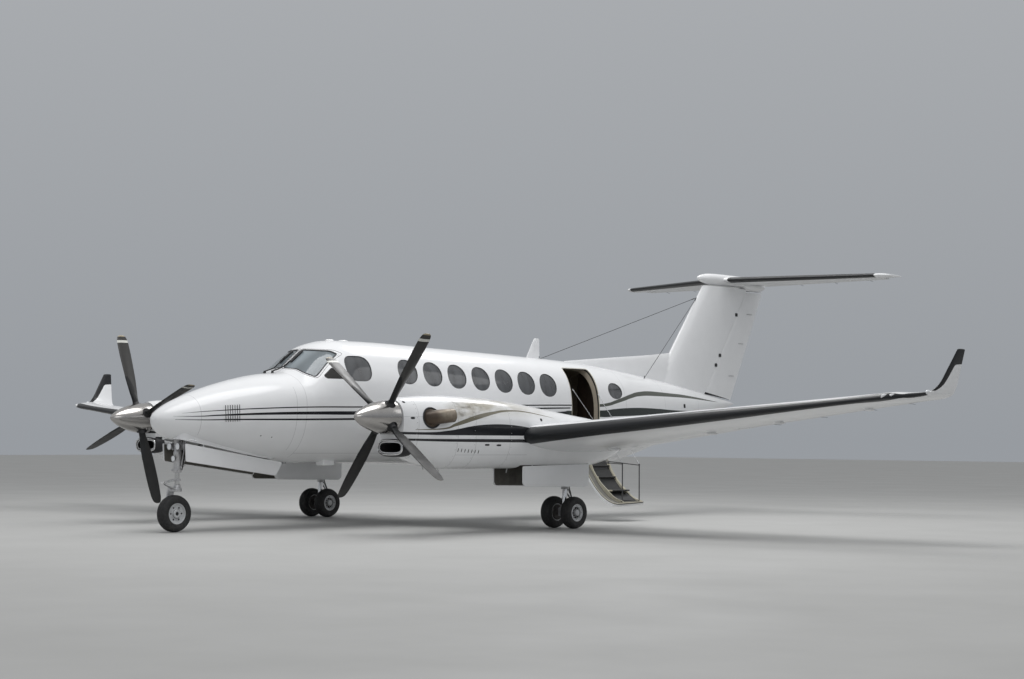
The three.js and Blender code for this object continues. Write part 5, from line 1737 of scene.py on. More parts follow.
@dataclass(frozen=True)
class Cabin:
    """Floor, side lining, partitions, instrument panel and controls.

    Attributes:
        panel_y: Station of the instrument panel's face.
    """

    panel_y: float = -4.66

    def build(self, frame: dict) -> None:
        """Builds the furniture and gives the CAD floor its carpet.

        Args:
            frame: The loaded frame.
        """
        floor = frame["nodes"]["cabin_floor"]
        floor.data.materials.clear()
        floor.data.materials.append(CARPET.material())
        self.build_panel()
        self.build_controls()
        self.build_partitions()
        self.build_ledges()

    def build_panel(self) -> None:
        """Builds the instrument panel, its hood and displays."""
        desk = Shape()
        low, high = 1.72, 2.06
        half, top_half = (FUSELAGE.half_at(self.panel_y, z, 0.07) for z in (low, high))
        outline = rounded(((-half, low), (half, low), (top_half, high), (-top_half, high)), 0.04, 5)
        desk.plate(outline, Axis.Y, self.panel_y - 0.10, self.panel_y, 0.008)
        hood = rounded(((self.panel_y - 0.08, 2.030), (self.panel_y + 0.12, 2.060),
                        (self.panel_y + 0.11, 2.095), (self.panel_y - 0.08, 2.085)), 0.02, 4)
        desk.plate(hood, Axis.X, -0.50, 0.50, 0.006, 0)
        for x in (-0.40, 0.0, 0.40):
            desk.box((x - 0.135, self.panel_y - 0.01, 1.81), (x + 0.135, self.panel_y + 0.012, 2.01),
                     0.006, 1)
            desk.box((x - 0.118, self.panel_y, 1.828), (x + 0.118, self.panel_y + 0.0135, 1.992), 0.002, 2)
        for k in range(9):
            x = -0.30 + 0.075 * k
            desk.rod((x, self.panel_y - 0.01, 1.765), (x, self.panel_y + 0.02, 1.765), 0.011, 14, 1)
        desk.piece("instrument_panel_dressed", AIRFRAME, (DARK_TRIM, SEAL, SHADOW), "panel_black",
                   ("instrument_panel",))

    def build_controls(self) -> None:
        """Builds the control wheels and the throttle quadrant."""
        controls = Shape()
        for x in (-0.33, 0.33):
            controls.rod((x, self.panel_y - 0.02, 1.76), (x, self.panel_y + 0.20, 1.78), 0.016, 16)
            horn = ((0.15, 0.22, 1.90), (0.165, 0.22, 1.80), (0.09, 0.215, 1.755))
            path = [(x - a, self.panel_y + b, c) for a, b, c in horn]
            path += [(x, self.panel_y + 0.21, 1.78)]
            path += [(x + a, self.panel_y + b, c) for a, b, c in horn[::-1]]
            controls.tube(flowing(path, 26), 0.015, 12)
        controls.box((-0.13, self.panel_y + 0.01, 1.17), (0.13, self.panel_y + 0.30, 1.66), 0.02)
        for x, tall in ((-0.07, 0.11), (-0.03, 0.11), (0.02, 0.09), (0.06, 0.09)):
            foot = (x, self.panel_y + 0.16, 1.65)
            tip = (x, self.panel_y + 0.13, 1.66 + tall)
            controls.rod(foot, tip, 0.006, 10, 1)
            controls.turned([(0, -0.014), (0.012, -0.010), (0.014, 0.002), (0.010, 0.014), (0, 0.016)],
                            tip, (0, 0, 1), 16, 0)
        controls.piece("cockpit_controls", AIRFRAME, (DARK_TRIM, GEAR_METAL), "panel_black")

    def build_partitions(self) -> None:
        """Builds the cabinets behind the cockpit and beside the door, inside the hull."""
        wood = Shape()
        for y, inner, top in ((-3.46, 0.24, 2.42), (1.44, 0.22, 2.36)):
            for side in Side:
                insets = ((FLOOR_TOP + 0.02, 0.07), (1.75, 0.065), (top, 0.08))
                x_low, x_mid, x_top = (FUSELAGE.half_at(y, z, inset) for z, inset in insets)
                outline = rounded(((inner, FLOOR_TOP + 0.004), (x_low, FLOOR_TOP + 0.004), (x_mid, 1.75),
                                   (x_top, top), (inner, top)), 0.05, 5)
                wood.join(Shape().plate(outline, Axis.Y, y, y + 0.035, 0.004).sided(side))
                foot, head = ((inner, y + 0.018, z) for z in (FLOOR_TOP + 0.02, top))
                wood.join(Shape().rod(foot, head, 0.012, 12, 1).sided(side))
        wood.piece("cabin_partitions", AIRFRAME, (WOOD, LINING), "carpet")

    def build_ledges(self) -> None:
        """Builds the side ledges with armrest rails under the windows."""
        for side in Side:
            stations = np.linspace(-3.38, 0.45 if side is Side.LEFT else 1.40, 40)
            rings = []
            for y in stations:
                low, high = (FUSELAGE.half_at(y, z, 0.05) for z in (1.20, 1.86))
                flat = rounded(((low - 0.05, 1.175), (low - 0.005, 1.20), (high - 0.003, 1.86),
                                (high - 0.045, 1.87), (high - 0.075, 1.83)), 0.02, 3)
                rings.append([(side.value * x, y, z) for x, z in flat])
            Shape().loft(np.array(rings)).piece(f"side_ledge_{side.word}", AIRFRAME, (LINING,), "carpet")


@dataclass(frozen=True)
class Seat:
    """One padded seat: cushion, back, head pad and armrests on a base.

    Attributes:
        name: Start of its pieces' names.
        x: Middle across.
        y: Middle along.
        facing: 1 when it faces forward, -1 when it faces aft.
    """

    name: str
    x: float
    y: float
    facing: int

    def pad(self, name: str, middle: Point, half: Point, crown: float, tilt: float,
            channels: int) -> bpy.types.Object:
        """Builds a crowned pad whose sides pull in between its corners.

        Args:
            name: The piece's name.
            middle: Its middle; y is counted from the seat's own middle.
            half: Half its width, depth and thickness, before it is tilted.
            crown: How far its face swells.
            tilt: Lean about X in degrees.
            channels: Sewn channels across its face.

        Returns:
            The padded piece.
        """
        count, round_off = 30, 5.0
        u = np.linspace(-1, 1, count)
        grid_x, grid_y = np.meshgrid(u, u, indexing="ij")
        edge = (1 - np.abs(grid_x) ** round_off) * (1 - np.abs(grid_y) ** round_off)
        swell = np.sqrt(np.clip(edge, 0, 1))
        pull_x = 1 - 0.035 * (1 - grid_y**2)
        pull_y = 1 - 0.035 * (1 - grid_x**2)
        squeeze = 1 - 0.06 * (np.abs(grid_x) ** 8) * (np.abs(grid_y) ** 8)
        sewn = sum(np.exp(-((grid_y - at) / 0.035) ** 2) for at in np.linspace(-0.6, 0.6, channels))
        piped = np.exp(-((np.maximum(np.abs(grid_x), np.abs(grid_y)) - 0.80) / 0.03) ** 2)
        rise = half[2] * swell * (0.72 + 0.28 * swell)
        bulge = crown * (1 - grid_x**2) * (1 - grid_y**2)
        dent = 0.010 * sewn * swell + 0.006 * piped
        index = np.arange(count * count).reshape(count, count)
        quads = np.stack([index[:-1, :-1], index[1:, :-1], index[1:, 1:], index[:-1, 1:]], -1)
        pad = Shape()
        for z in (rise + bulge - dent, -rise):
            sheet = np.stack([grid_x * half[0] * pull_x * squeeze, grid_y * half[1] * pull_y * squeeze, z],
                             axis=-1)
            pad.add(sheet, quads.reshape(-1, 4).tolist())
        lean = np.array(Matrix.Rotation(math.radians(tilt), 3, "X"))

        def stand(points: np.ndarray) -> np.ndarray:
            """Leans the pad and puts it on its seat."""
            points = points @ lean.T + middle
            return points * (1, -self.facing, 1) + (self.x, self.y, FLOOR_TOP)

        made = pad.bent(stand).mesh_object(name, (LEATHER,), 60)
        finer = made.modifiers.new("finer", "SUBSURF")
        finer.levels = 1
        finer.render_levels = 1
        settle(made, AIRFRAME)
        return made

    def build(self) -> Shape:
        """Builds the pads and returns the seat's hard frame, to be joined with others."""
        self.pad(f"{self.name}_cushion", (0, 0.02, 0.385), (0.235, 0.235, 0.062), 0.020, 0, 3)
        self.pad(f"{self.name}_back", (0, -0.250, 0.70), (0.225, 0.290, 0.060), 0.018, 84, 4)
        self.pad(f"{self.name}_head_pad", (0, -0.262, 0.985), (0.150, 0.085, 0.048), 0.010, 86, 0)
        frame = Shape()
        frame.box((-0.11, -0.12, 0.004), (0.11, 0.12, 0.315), 0.02)
        frame.box((-0.20, -0.20, 0.300), (0.20, 0.20, 0.328), 0.01)
        frame.box((-0.19, 0.298, 0.330), (0.19, 0.322, 0.96), 0.01)
        for side in (-1, 1):
            x = side * 0.252
            frame.box((x - 0.030, -0.18, 0.545), (x + 0.030, 0.24, 0.590), 0.014, 1)
            frame.box((x - 0.014, 0.02, 0.330), (x + 0.014, 0.20, 0.550), 0.008)
        return frame.bent(lambda p: p * (1, self.facing, 1) + (self.x, self.y, FLOOR_TOP))


@dataclass(frozen=True)
class Seating:
    """The crew's and the cabin's seats."""

    crew: tuple[tuple[float, float, int], ...] = ((0.33, -3.90, 1), (-0.33, -3.90, 1))
    rows: tuple[tuple[float, int], ...] = ((-2.85, -1), (-1.75, 1), (-0.80, 1))
    cabin_x: float = 0.40

    def build(self) -> None:
        """Builds every seat and joins their frames by group."""
        frames = Shape()
        for k, (x, y, facing) in enumerate(self.crew):
            frames.join(Seat(f"crew_seat_{k + 1}", x, y, facing).build())
        frames.box((-0.13, -4.06, FLOOR_TOP), (0.13, -3.80, FLOOR_TOP + 0.36), 0.02)
        frames.piece("crew_seat_frames", AIRFRAME, (DARK_TRIM, LEATHER), "seat_leather", ("crew_seats",))
        for side in Side:
            frames = Shape()
            for k, (y, facing) in enumerate(self.rows):
                seat = Seat(f"cabin_seat_{side.word}_{k + 1}", side.value * self.cabin_x, y, facing)
                frames.join(seat.build())
            x = side.value * self.cabin_x
            for rail in (x - 0.09, x + 0.09):
                frames.box((rail - 0.012, -3.05, FLOOR_TOP), (rail + 0.012, -0.6, FLOOR_TOP + 0.014), 0.003)
            frames.piece(f"cabin_seat_frames_{side.word}", AIRFRAME, (DARK_TRIM, LEATHER), "seat_leather",
                         (f"cabin_seats_{side.word}",))


# Wings


def section_half(share: np.ndarray | float, ratio: float) -> np.ndarray | float:
    """Returns the half thickness of a symmetrical section at a share of its chord."""
    return 5 * ratio * (0.2969 * np.sqrt(share) - 0.126 * share - 0.3516 * share**2
                        + 0.2843 * share**3 - 0.1036 * share**4)


def foil(lead: Point, trail: Point, normal: Point, ratio: float, upper: float = 1.0,
         lower: float = 1.0, half_count: int = 30, edge: float = 0.003) -> np.ndarray:
    """Draws a wing section.

    Args:
        lead: Leading edge.
        trail: Trailing edge.
        normal: Direction of its thickness.
        ratio: Thickness as a share of the chord.
        upper: Weight of its upper half.
        lower: Weight of its lower half.
        half_count: Points on each half.
        edge: Half thickness of its trailing edge.

    Returns:
        The ring, over the top and back beneath.
    """
    lead, trail, normal = (np.asarray(v, float) for v in (lead, trail, normal))
    shares = (1 - np.cos(np.linspace(0, math.pi, half_count))) / 2
    length = np.linalg.norm(trail - lead)
    half = section_half(shares, ratio) * length
    chord = lead + np.outer(shares, trail - lead)
    over = chord + np.outer(half * upper + edge * shares, normal)
    under = chord - np.outer(half * lower + edge * shares, normal)
    return np.vstack([over, under[1:][::-1]])


def nose_arc(y: float, z: float, reach: float, count: int = 15) -> list[tuple[float, float]]:
    """Returns y and z round the half circle in front of a hinge, from its top to its bottom."""
    turn = np.radians(np.linspace(90, 270, count))
    return [(y + reach * math.cos(a), z + reach * math.sin(a)) for a in turn]


def well(hinge: Point, reach: float, step: Point, tall: float,
         count: int = 15) -> list[tuple[float, float]]:
    """Draws the space that a hinged surface works in.

    Args:
        hinge: Its hinge in y and z.
        reach: Radius of the round front.
        step: How far behind the hinge the front widens, and how far back the space goes.
        tall: Half its height behind the front.
        count: Points round the front.

    Returns:
        y and z of each point.
    """
    y, z = hinge
    near, far = y + step[0], y + step[1]
    high, low = z + tall, z - tall
    return [(far, high), (near, high), *nose_arc(y, z, reach, count), (near, low), (far, low)]


def main_bay(centre: float) -> Shape:
    """Returns the space of one main wheel bay."""
    fore, aft, roof = MAIN_BAY
    return Shape().box((centre - MAIN_BAY_HALF, fore, 0.7), (centre + MAIN_BAY_HALF, aft, roof), 0.0, 2)


@dataclass(frozen=True)
class Flap:
    """A trailing-edge surface of the wing.

    Attributes:
        name: Its body's name without the side.
        inner: Where it starts along the span.
        outer: Where it ends.
    """

    name: str
    inner: float
    outer: float


@dataclass(frozen=True)
class Wing:
    """Both wings with their winglets, moving surfaces and fittings.

    Attributes:
        hinge_share: Share of the chord at which the surfaces are hinged.
        gap: Clearance in front of a surface's nose.
        side_gap: Clearance beside a surface.
        flaps: The moving surfaces.
    """

    hinge_share: float = 0.74
    gap: float = 0.007
    side_gap: float = 0.012
    flaps: tuple[Flap, ...] = (
        Flap("flap_inboard", 0.880, 2.150),
        Flap("flap_outboard", 3.110, 5.560),
        Flap("aileron", 5.600, 8.280),
    )

    @staticmethod
    def row(x: float) -> np.ndarray:
        """Reads the straight part of the wing at a span."""
        table = np.array(WING_ROWS)[:5]
        return straight(table[:, [0, 1, 2, 4, 5, 6]], x)[0]

    def skins(self, x: float, share: float) -> tuple[float, float, float]:
        """Returns y and the heights of the upper and lower skin at a share of the chord."""
        lead_y, lead_z, trail_y, trail_z, ratio = self.row(x)
        y = lead_y + (trail_y - lead_y) * share
        z = lead_z + (trail_z - lead_z) * share
        half = float(section_half(share, ratio)) * math.hypot(trail_y - lead_y, trail_z - lead_z)
        return y, z + half * 1.28 + 0.003 * share, z - half * 0.72 - 0.003 * share

    def hinge(self, x: float) -> tuple[float, float, float]:
        """Returns y, z and radius of a surface's round nose."""
        y, up, down = self.skins(x, self.hinge_share)
        return y, (up + down) / 2, (up - down) / 2

    def sections(self) -> np.ndarray:
        """Returns the wing's rings from root to winglet tip."""
        table = np.array(WING_ROWS)
        spans = np.r_[0, np.cumsum(np.linalg.norm(np.diff(table[:, :3], axis=0), axis=1))]
        bend = spans[4]
        at = np.r_[np.linspace(0, bend, 60), np.linspace(bend, spans[-1], 46)[1:]]
        flat = straight(np.c_[spans, table], at)
        curved = smooth(np.c_[spans, table], at)
        mix = np.clip((at - (bend - 0.30)) / 0.15, 0, 1)[:, None]
        rows = flat * (1 - mix) + curved * mix
        rings = []
        for lx, ly, lz, tx, ty, tz, ratio, cant in rows:
            normal = (-math.sin(math.radians(cant)), 0, math.cos(math.radians(cant)))
            rings.append(foil((lx, ly, lz), (tx, ty, tz), normal, ratio, 1.28, 0.72))
        tip = rings[-1]
        for share, lift in ((0.93, 0.006), (0.72, 0.011), (0.3, 0.0135)):
            rings.append(scaled(tip, share) + (0.002, 0.004, lift))
        return np.array(rings)

    def pocket(self, flap: Flap) -> Shape:
        """Returns the space that a surface works in."""
        rings = []
        for x in (flap.inner - self.side_gap, *np.linspace(flap.inner, flap.outer, 12)[1:-1],
                  flap.outer + self.side_gap):
            y, z, radius = self.hinge(min(x, 8.34))
            rings.append([(x, *at) for at in well((y, z), radius + self.gap, (0.02, 1.0), 0.3)])
        return Shape().loft(np.array(rings), finish=1)

    def surface(self, flap: Flap) -> Shape:
        """Returns a moving surface with a round nose about its hinge."""
        rings = []
        for x in np.linspace(flap.inner, flap.outer, 20):
            y, z, radius = self.hinge(x)
            ring = [(x, *at) for at in nose_arc(y, z, radius)]
            shares = np.linspace(self.hinge_share, 1, 9)[1:]
            under = [self.skins(x, s) for s in shares]
            ring += [(x, at, down) for at, _, down in under]
            ring += [(x, at, up) for at, up, _ in under[::-1]]
            rings.append(ring)
        return Shape().loft(np.array(rings))

    def build(self) -> None:
        """Builds the wings, their surfaces and the small fittings on them."""
        table = self.sections()
        body = FUSELAGE.solid(np.linspace(-4.0, 0.4, 60), 72, 0.012, finish=1)
        for side in Side:
            word = side.word
            made = Shape().loft(table).sided(side).mesh_object(f"wing_{word}", (WING_PAINT, SHADOW, BAY))
            pockets = [self.pocket(flap).sided(side) for flap in self.flaps]
            carve(made, [body, main_bay(side.value * ENGINE_X), *pockets], angle=28)
            settle(made, AIRFRAME, (f"wing_outer_{word}", f"wing_inner_{word}"))
            for flap in self.flaps:
                self.build_surface(flap, side)
            self.build_fittings(side)

    def build_surface(self, flap: Flap, side: Side) -> None:
        """Builds one moving surface, clear of the nacelle."""
        name = f"{flap.name}_{side.word}"
        made = self.surface(flap).sided(side).mesh_object(f"{name}_skin", (WHITE_PAINT, SHADOW))
        if flap.name == "flap_inboard":
            clear = NACELLE.solid(np.linspace(-2.2, -0.36, 40), 72, -0.010, finish=1)
            carve(made, [clear.sided(side)], angle=28)
        settle(made, name, (name,))

    def build_fittings(self, side: Side) -> None:
        """Builds hinge fairings, static wicks, a position lamp and boot clips."""
        word = side.word
        fairings = Shape()
        for x in (3.45, 5.22, 6.35, 7.75):
            y, z, radius = self.hinge(x)
            _, _, down = self.skins(x, 0.62)
            path = [(x, y - 0.30, down + 0.012), (x, y - 0.16, z - radius - 0.012),
                    (x, y - 0.02, z - radius - 0.020)]
            radii = (0.004, 0.012, 0.018, 0.022, 0.024, 0.024, 0.022, 0.018, 0.010)
            fairings.tube(flowing(path, 9), radii, 14)
        fairings.sided(side).piece(f"hinge_fairings_{word}", AIRFRAME, (WHITE_PAINT,), "paint_white")
        wicks = Shape()
        for x in (5.9, 6.7, 7.5, 8.1):
            y, up, down = self.skins(x, 0.995)
            z = (up + down) / 2
            wicks.rod((x, y - 0.03, z), (x, y + 0.02, z - 0.002), 0.005, 8)
            wicks.rod((x, y + 0.01, z - 0.001), (x, y + 0.15, z - 0.008), 0.0022, 6)
        wicks.sided(side).piece(f"static_wicks_{word}", f"aileron_{word}", (SEAL,), "panel_black")
        lamps = Shape()
        for x, lead_y, lead_z in ((8.345, -2.372, 1.826), (8.410, -2.300, 1.832)):
            path = [(x - 0.024, lead_y + 0.004, lead_z - 0.020), (x, lead_y - 0.004, lead_z + 0.004),
                    (x + 0.024, lead_y + 0.050, lead_z + 0.020)]
            radii = (0.006, 0.010, 0.013, 0.015, 0.016, 0.016, 0.015, 0.013, 0.010, 0.006)
            lamps.tube(flowing(path, 10), radii, 14)
        lamps.turned([(0, -0.03), (0.010, -0.026), (0.016, -0.01), (0.017, 0.01), (0.012, 0.03), (0, 0.034)],
                     (8.683, -1.896, 1.890), (0.25, 1, 0.3), 20, 1)
        lamps.sided(side).piece(f"wing_lamps_{word}", AIRFRAME, (WHITE_PAINT, LAMP), "glass")


# Nacelles and propellers


@dataclass(frozen=True)
class Nacelle:
    """Both engine nacelles with intake, exhaust pipes, fasteners and the engine inside.

    Attributes:
        intake_z: Height of the intake's middle.
        intake_half: Half width and half height of its mouth.
        intake_y: Station of its lip.
        pipe: Exhaust path. Columns: distance from the shaft, y, height over the shaft, radius.
    """

    intake_z: float = 1.156
    intake_half: tuple[float, float] = (0.218, 0.086)
    intake_y: float = -5.128
    pipe: tuple[tuple[float, float, float, float], ...] = (
        (0.200, -4.740, -0.010, 0.078),
        (0.296, -4.722, -0.006, 0.090),
        (0.368, -4.668, 0.004, 0.095),
        (0.420, -4.580, 0.016, 0.095),
        (0.446, -4.505, 0.024, 0.092),
        (0.462, -4.428, 0.030, 0.090),
    )

    def mouth(self, y: float, grow: float, rise: float | None = None, drop: float = 0.0) -> np.ndarray:
        """Draws the intake's oval at a station, larger by grow across and rise in height."""
        half = np.add(self.intake_half, (grow, grow if rise is None else rise))
        flat = oval((ENGINE_X, self.intake_z - drop), half, 64, 3.3)
        return np.stack([flat[:, 0], np.full(len(flat), y), flat[:, 1]], axis=1)

    def throat(self, rows: Sequence[Point]) -> np.ndarray:
        """Draws the intake's oval at several distances behind the lip.

        Args:
            rows: Distance, growth across and, where they matter, growth in height and drop.

        Returns:
            The rings.
        """
        return np.array([self.mouth(self.intake_y + back, *sizes) for back, *sizes in rows])

    def build(self) -> None:
        """Builds both nacelles."""
        scoop = Shape().loft(self.throat((
            (0.0, -0.010), (0.006, -0.004), (0.025, 0.0), (0.160, 0.008, 0.014, 0.004),
            (0.34, 0.014, 0.034, 0.016), (0.520, 0.020, 0.060, 0.030))))
        duct = Shape().loft(self.throat(((-0.010, -0.020), (0.12, -0.028), (0.330, -0.040, -0.03))), 1)
        face = Shape().turned([(0, -0.05), (0.196, -0.05), (0.196, 0.03), (0, 0.03)],
                              (ENGINE_X, -5.115, SHAFT_Z), (0, 1, 0), 64, 1)
        first, last = NACELLE_ROWS[0][0], NACELLE_ROWS[-1][0]
        stations = np.r_[np.linspace(first, first + 0.4, 20), np.linspace(first + 0.4, last, 130)[1:]]
        for side in Side:
            word = side.word
            hull = Hull(NACELLE_ROWS, side.value * ENGINE_X)
            made = NACELLE.solid(stations, 96).sided(side).mesh_object(
                f"nacelle_{word}_cowl", (NACELLE_PAINT, SHADOW, BAY, BOOT))
            carve(made, [scoop.sided(side)], Cut.JOIN)
            carve(made, [tool.sided(side) for tool in (duct, face, main_bay(ENGINE_X))])
            hull.polish(made)
            settle(made, AIRFRAME, (f"nacelle_{word}",))
            self.build_lip(side)
            self.build_pipes(side)
            self.build_engine(side)
            self.build_fasteners(side, hull)
            self.build_marks(side)

    def build_lip(self, side: Side) -> None:
        """Builds the bright lip of the intake and the black boot behind it."""
        lip = Shape()
        lip.hoop(self.mouth(self.intake_y - 0.004, 0.008), (0, 1, 0), 0.0085, 0, flat=1.6, sides=14)
        lip.loft(self.throat((
            (0.004, 0.014, 0.012), (0.012, 0.030, 0.026), (0.045, 0.042, 0.036), (0.105, 0.046, 0.040),
            (0.150, 0.040, 0.032), (0.150, 0.010, 0.004), (0.020, 0.0, 0.0))), 1, looped=True)
        lip.sided(side).piece(f"intake_lip_{side.word}", AIRFRAME, (POLISHED, SEAL), "spinner_polish",
                              angle=50)

    def build_pipes(self, side: Side) -> None:
        """Builds the two exhaust pipes with their collars."""
        rows = np.array(self.pipe)
        count, bored = 34, 16
        for cheek, place in ((Side.LEFT, "outer"), (Side.RIGHT, "inner")):
            across = side.value * (ENGINE_X + cheek.value * rows[:, 0])
            path = flowing(np.stack([across, rows[:, 1], SHAFT_Z + rows[:, 2]], axis=1), count)
            radii = np.interp(np.linspace(0, 1, count), np.linspace(0, 1, len(rows)), rows[:, 3])
            made = Shape().tube(path, radii, 40).mesh_object(
                f"exhaust_pipe_{side.word}_{place}", (BURNT, SHADOW))
            beyond = path[-1:] + (path[-1] - path[-3])
            carve(made, [Shape().tube(np.vstack([path[bored:], beyond]),
                                      np.r_[radii[bored:], radii[-1]] - 0.006, 40, finish=1)])
            settle(made, AIRFRAME)
            turn = turns(48)
            flat = np.stack([-4.692 + 0.136 * np.cos(turn), SHAFT_Z - 0.004 + 0.130 * np.sin(turn)], axis=1)
            skin = NACELLE.side_skin(cheek)
            edge = skin(flat, -0.001)
            ring = Shape().hoop(edge, (1, 0, 0), 0.0125, flat=0.8)
            seat = edge.mean(axis=0)[1:]
            hole, deep = skin(scaled(flat, 0.98, seat), -0.0012), skin(scaled(flat, 0.70, seat), -0.0008)
            inwards = (cheek.value * 0.012, 0, 0)
            ring.loft(np.array([hole, deep, deep - inwards, hole - inwards]), 1, looped=True)
            ring.sided(side).piece(f"exhaust_collar_{side.word}_{place}", AIRFRAME, (SEAL, BURNT),
                                   "engine_metal")

    def build_engine(self, side: Side) -> None:
        """Builds the part of the engine that shows through the gap behind the spinner."""
        profile = ((0, -4.98), (0.10, -4.98), (0.145, -4.95), (0.17, -4.80), (0.20, -4.6), (0.232, -4.3),
                   (0.232, -3.6), (0.20, -3.45), (0, -3.42))
        core = Shape().turned(profile, (ENGINE_X, 0, SHAFT_Z), (0, 1, 0), 40)
        core.sided(side).piece(f"engine_core_{side.word}", AIRFRAME, (DISC,), "engine_metal",
                               (f"engine_{side.word}",))

    def build_fasteners(self, side: Side, hull: Hull) -> None:
        """Stands rows of flush fasteners along the cowl's seams."""
        places = []
        sides = 96
        for y in (-4.925, -4.275, -3.945, -3.255):
            ring, behind = (hull.ring(at, sides, -0.0002) for at in (y, y + 0.01))
            for k in range(0, sides, 3):
                facing = unit(np.cross(ring[(k + 1) % sides] - ring[k - 1], behind[k] - ring[k]))
                centre = ring.mean(axis=0)
                if np.dot(facing, ring[k] - centre) < 0:
                    facing = -facing
                places.append((ring[k], facing, (0, 1, 0)))
        Row(f"cowl_fasteners_{side.word}", Stud.DOME, (0.0055, 0.0045, 0.0014), 8).build(
            places, AIRFRAME, GEAR_METAL, "gear_metal")

    def build_marks(self, side: Side) -> None:
        """Builds the vents, drains and service openings on the cowl's sides."""
        marks = Shape()
        for flip in Side:
            skin = NACELLE.side_skin(flip)
            for y, z, half_y, half_z in ((-3.71, 1.195, 0.044, 0.012), (-3.49, 1.191, 0.044, 0.012),
                                         (-4.99, 1.543, 0.032, 0.014), (-5.05, 1.751, 0.018, 0.012),
                                         (-2.62, 1.545, 0.020, 0.020)):
                outline = oval((y, z), (half_y, half_z), 24, 3.0)
                marks.panel(outline, skin, -0.0015, 0.01, rings=3)
            for k in range(7):
                slot = oval((-4.22 + 0.062 * k, 1.125 - 0.004 * k), (0.006, 0.026), 16, 2.5)
                marks.panel(slot, skin, -0.001, 0.006, rings=3)
        marks.sided(side).piece(f"cowl_vents_{side.word}", AIRFRAME, (SHADOW,), "panel_black")
        drains = Shape()
        for y, x in ((-4.55, 0.0), (-4.35, 0.09)):
            z = NACELLE.low_z(y)
            drains.rod((ENGINE_X + x, y, z + 0.02), (ENGINE_X + x, y + 0.03, z - 0.045), 0.007, 10)
        drains.sided(side).piece(f"cowl_drains_{side.word}", AIRFRAME, (GEAR_METAL,), "gear_metal")


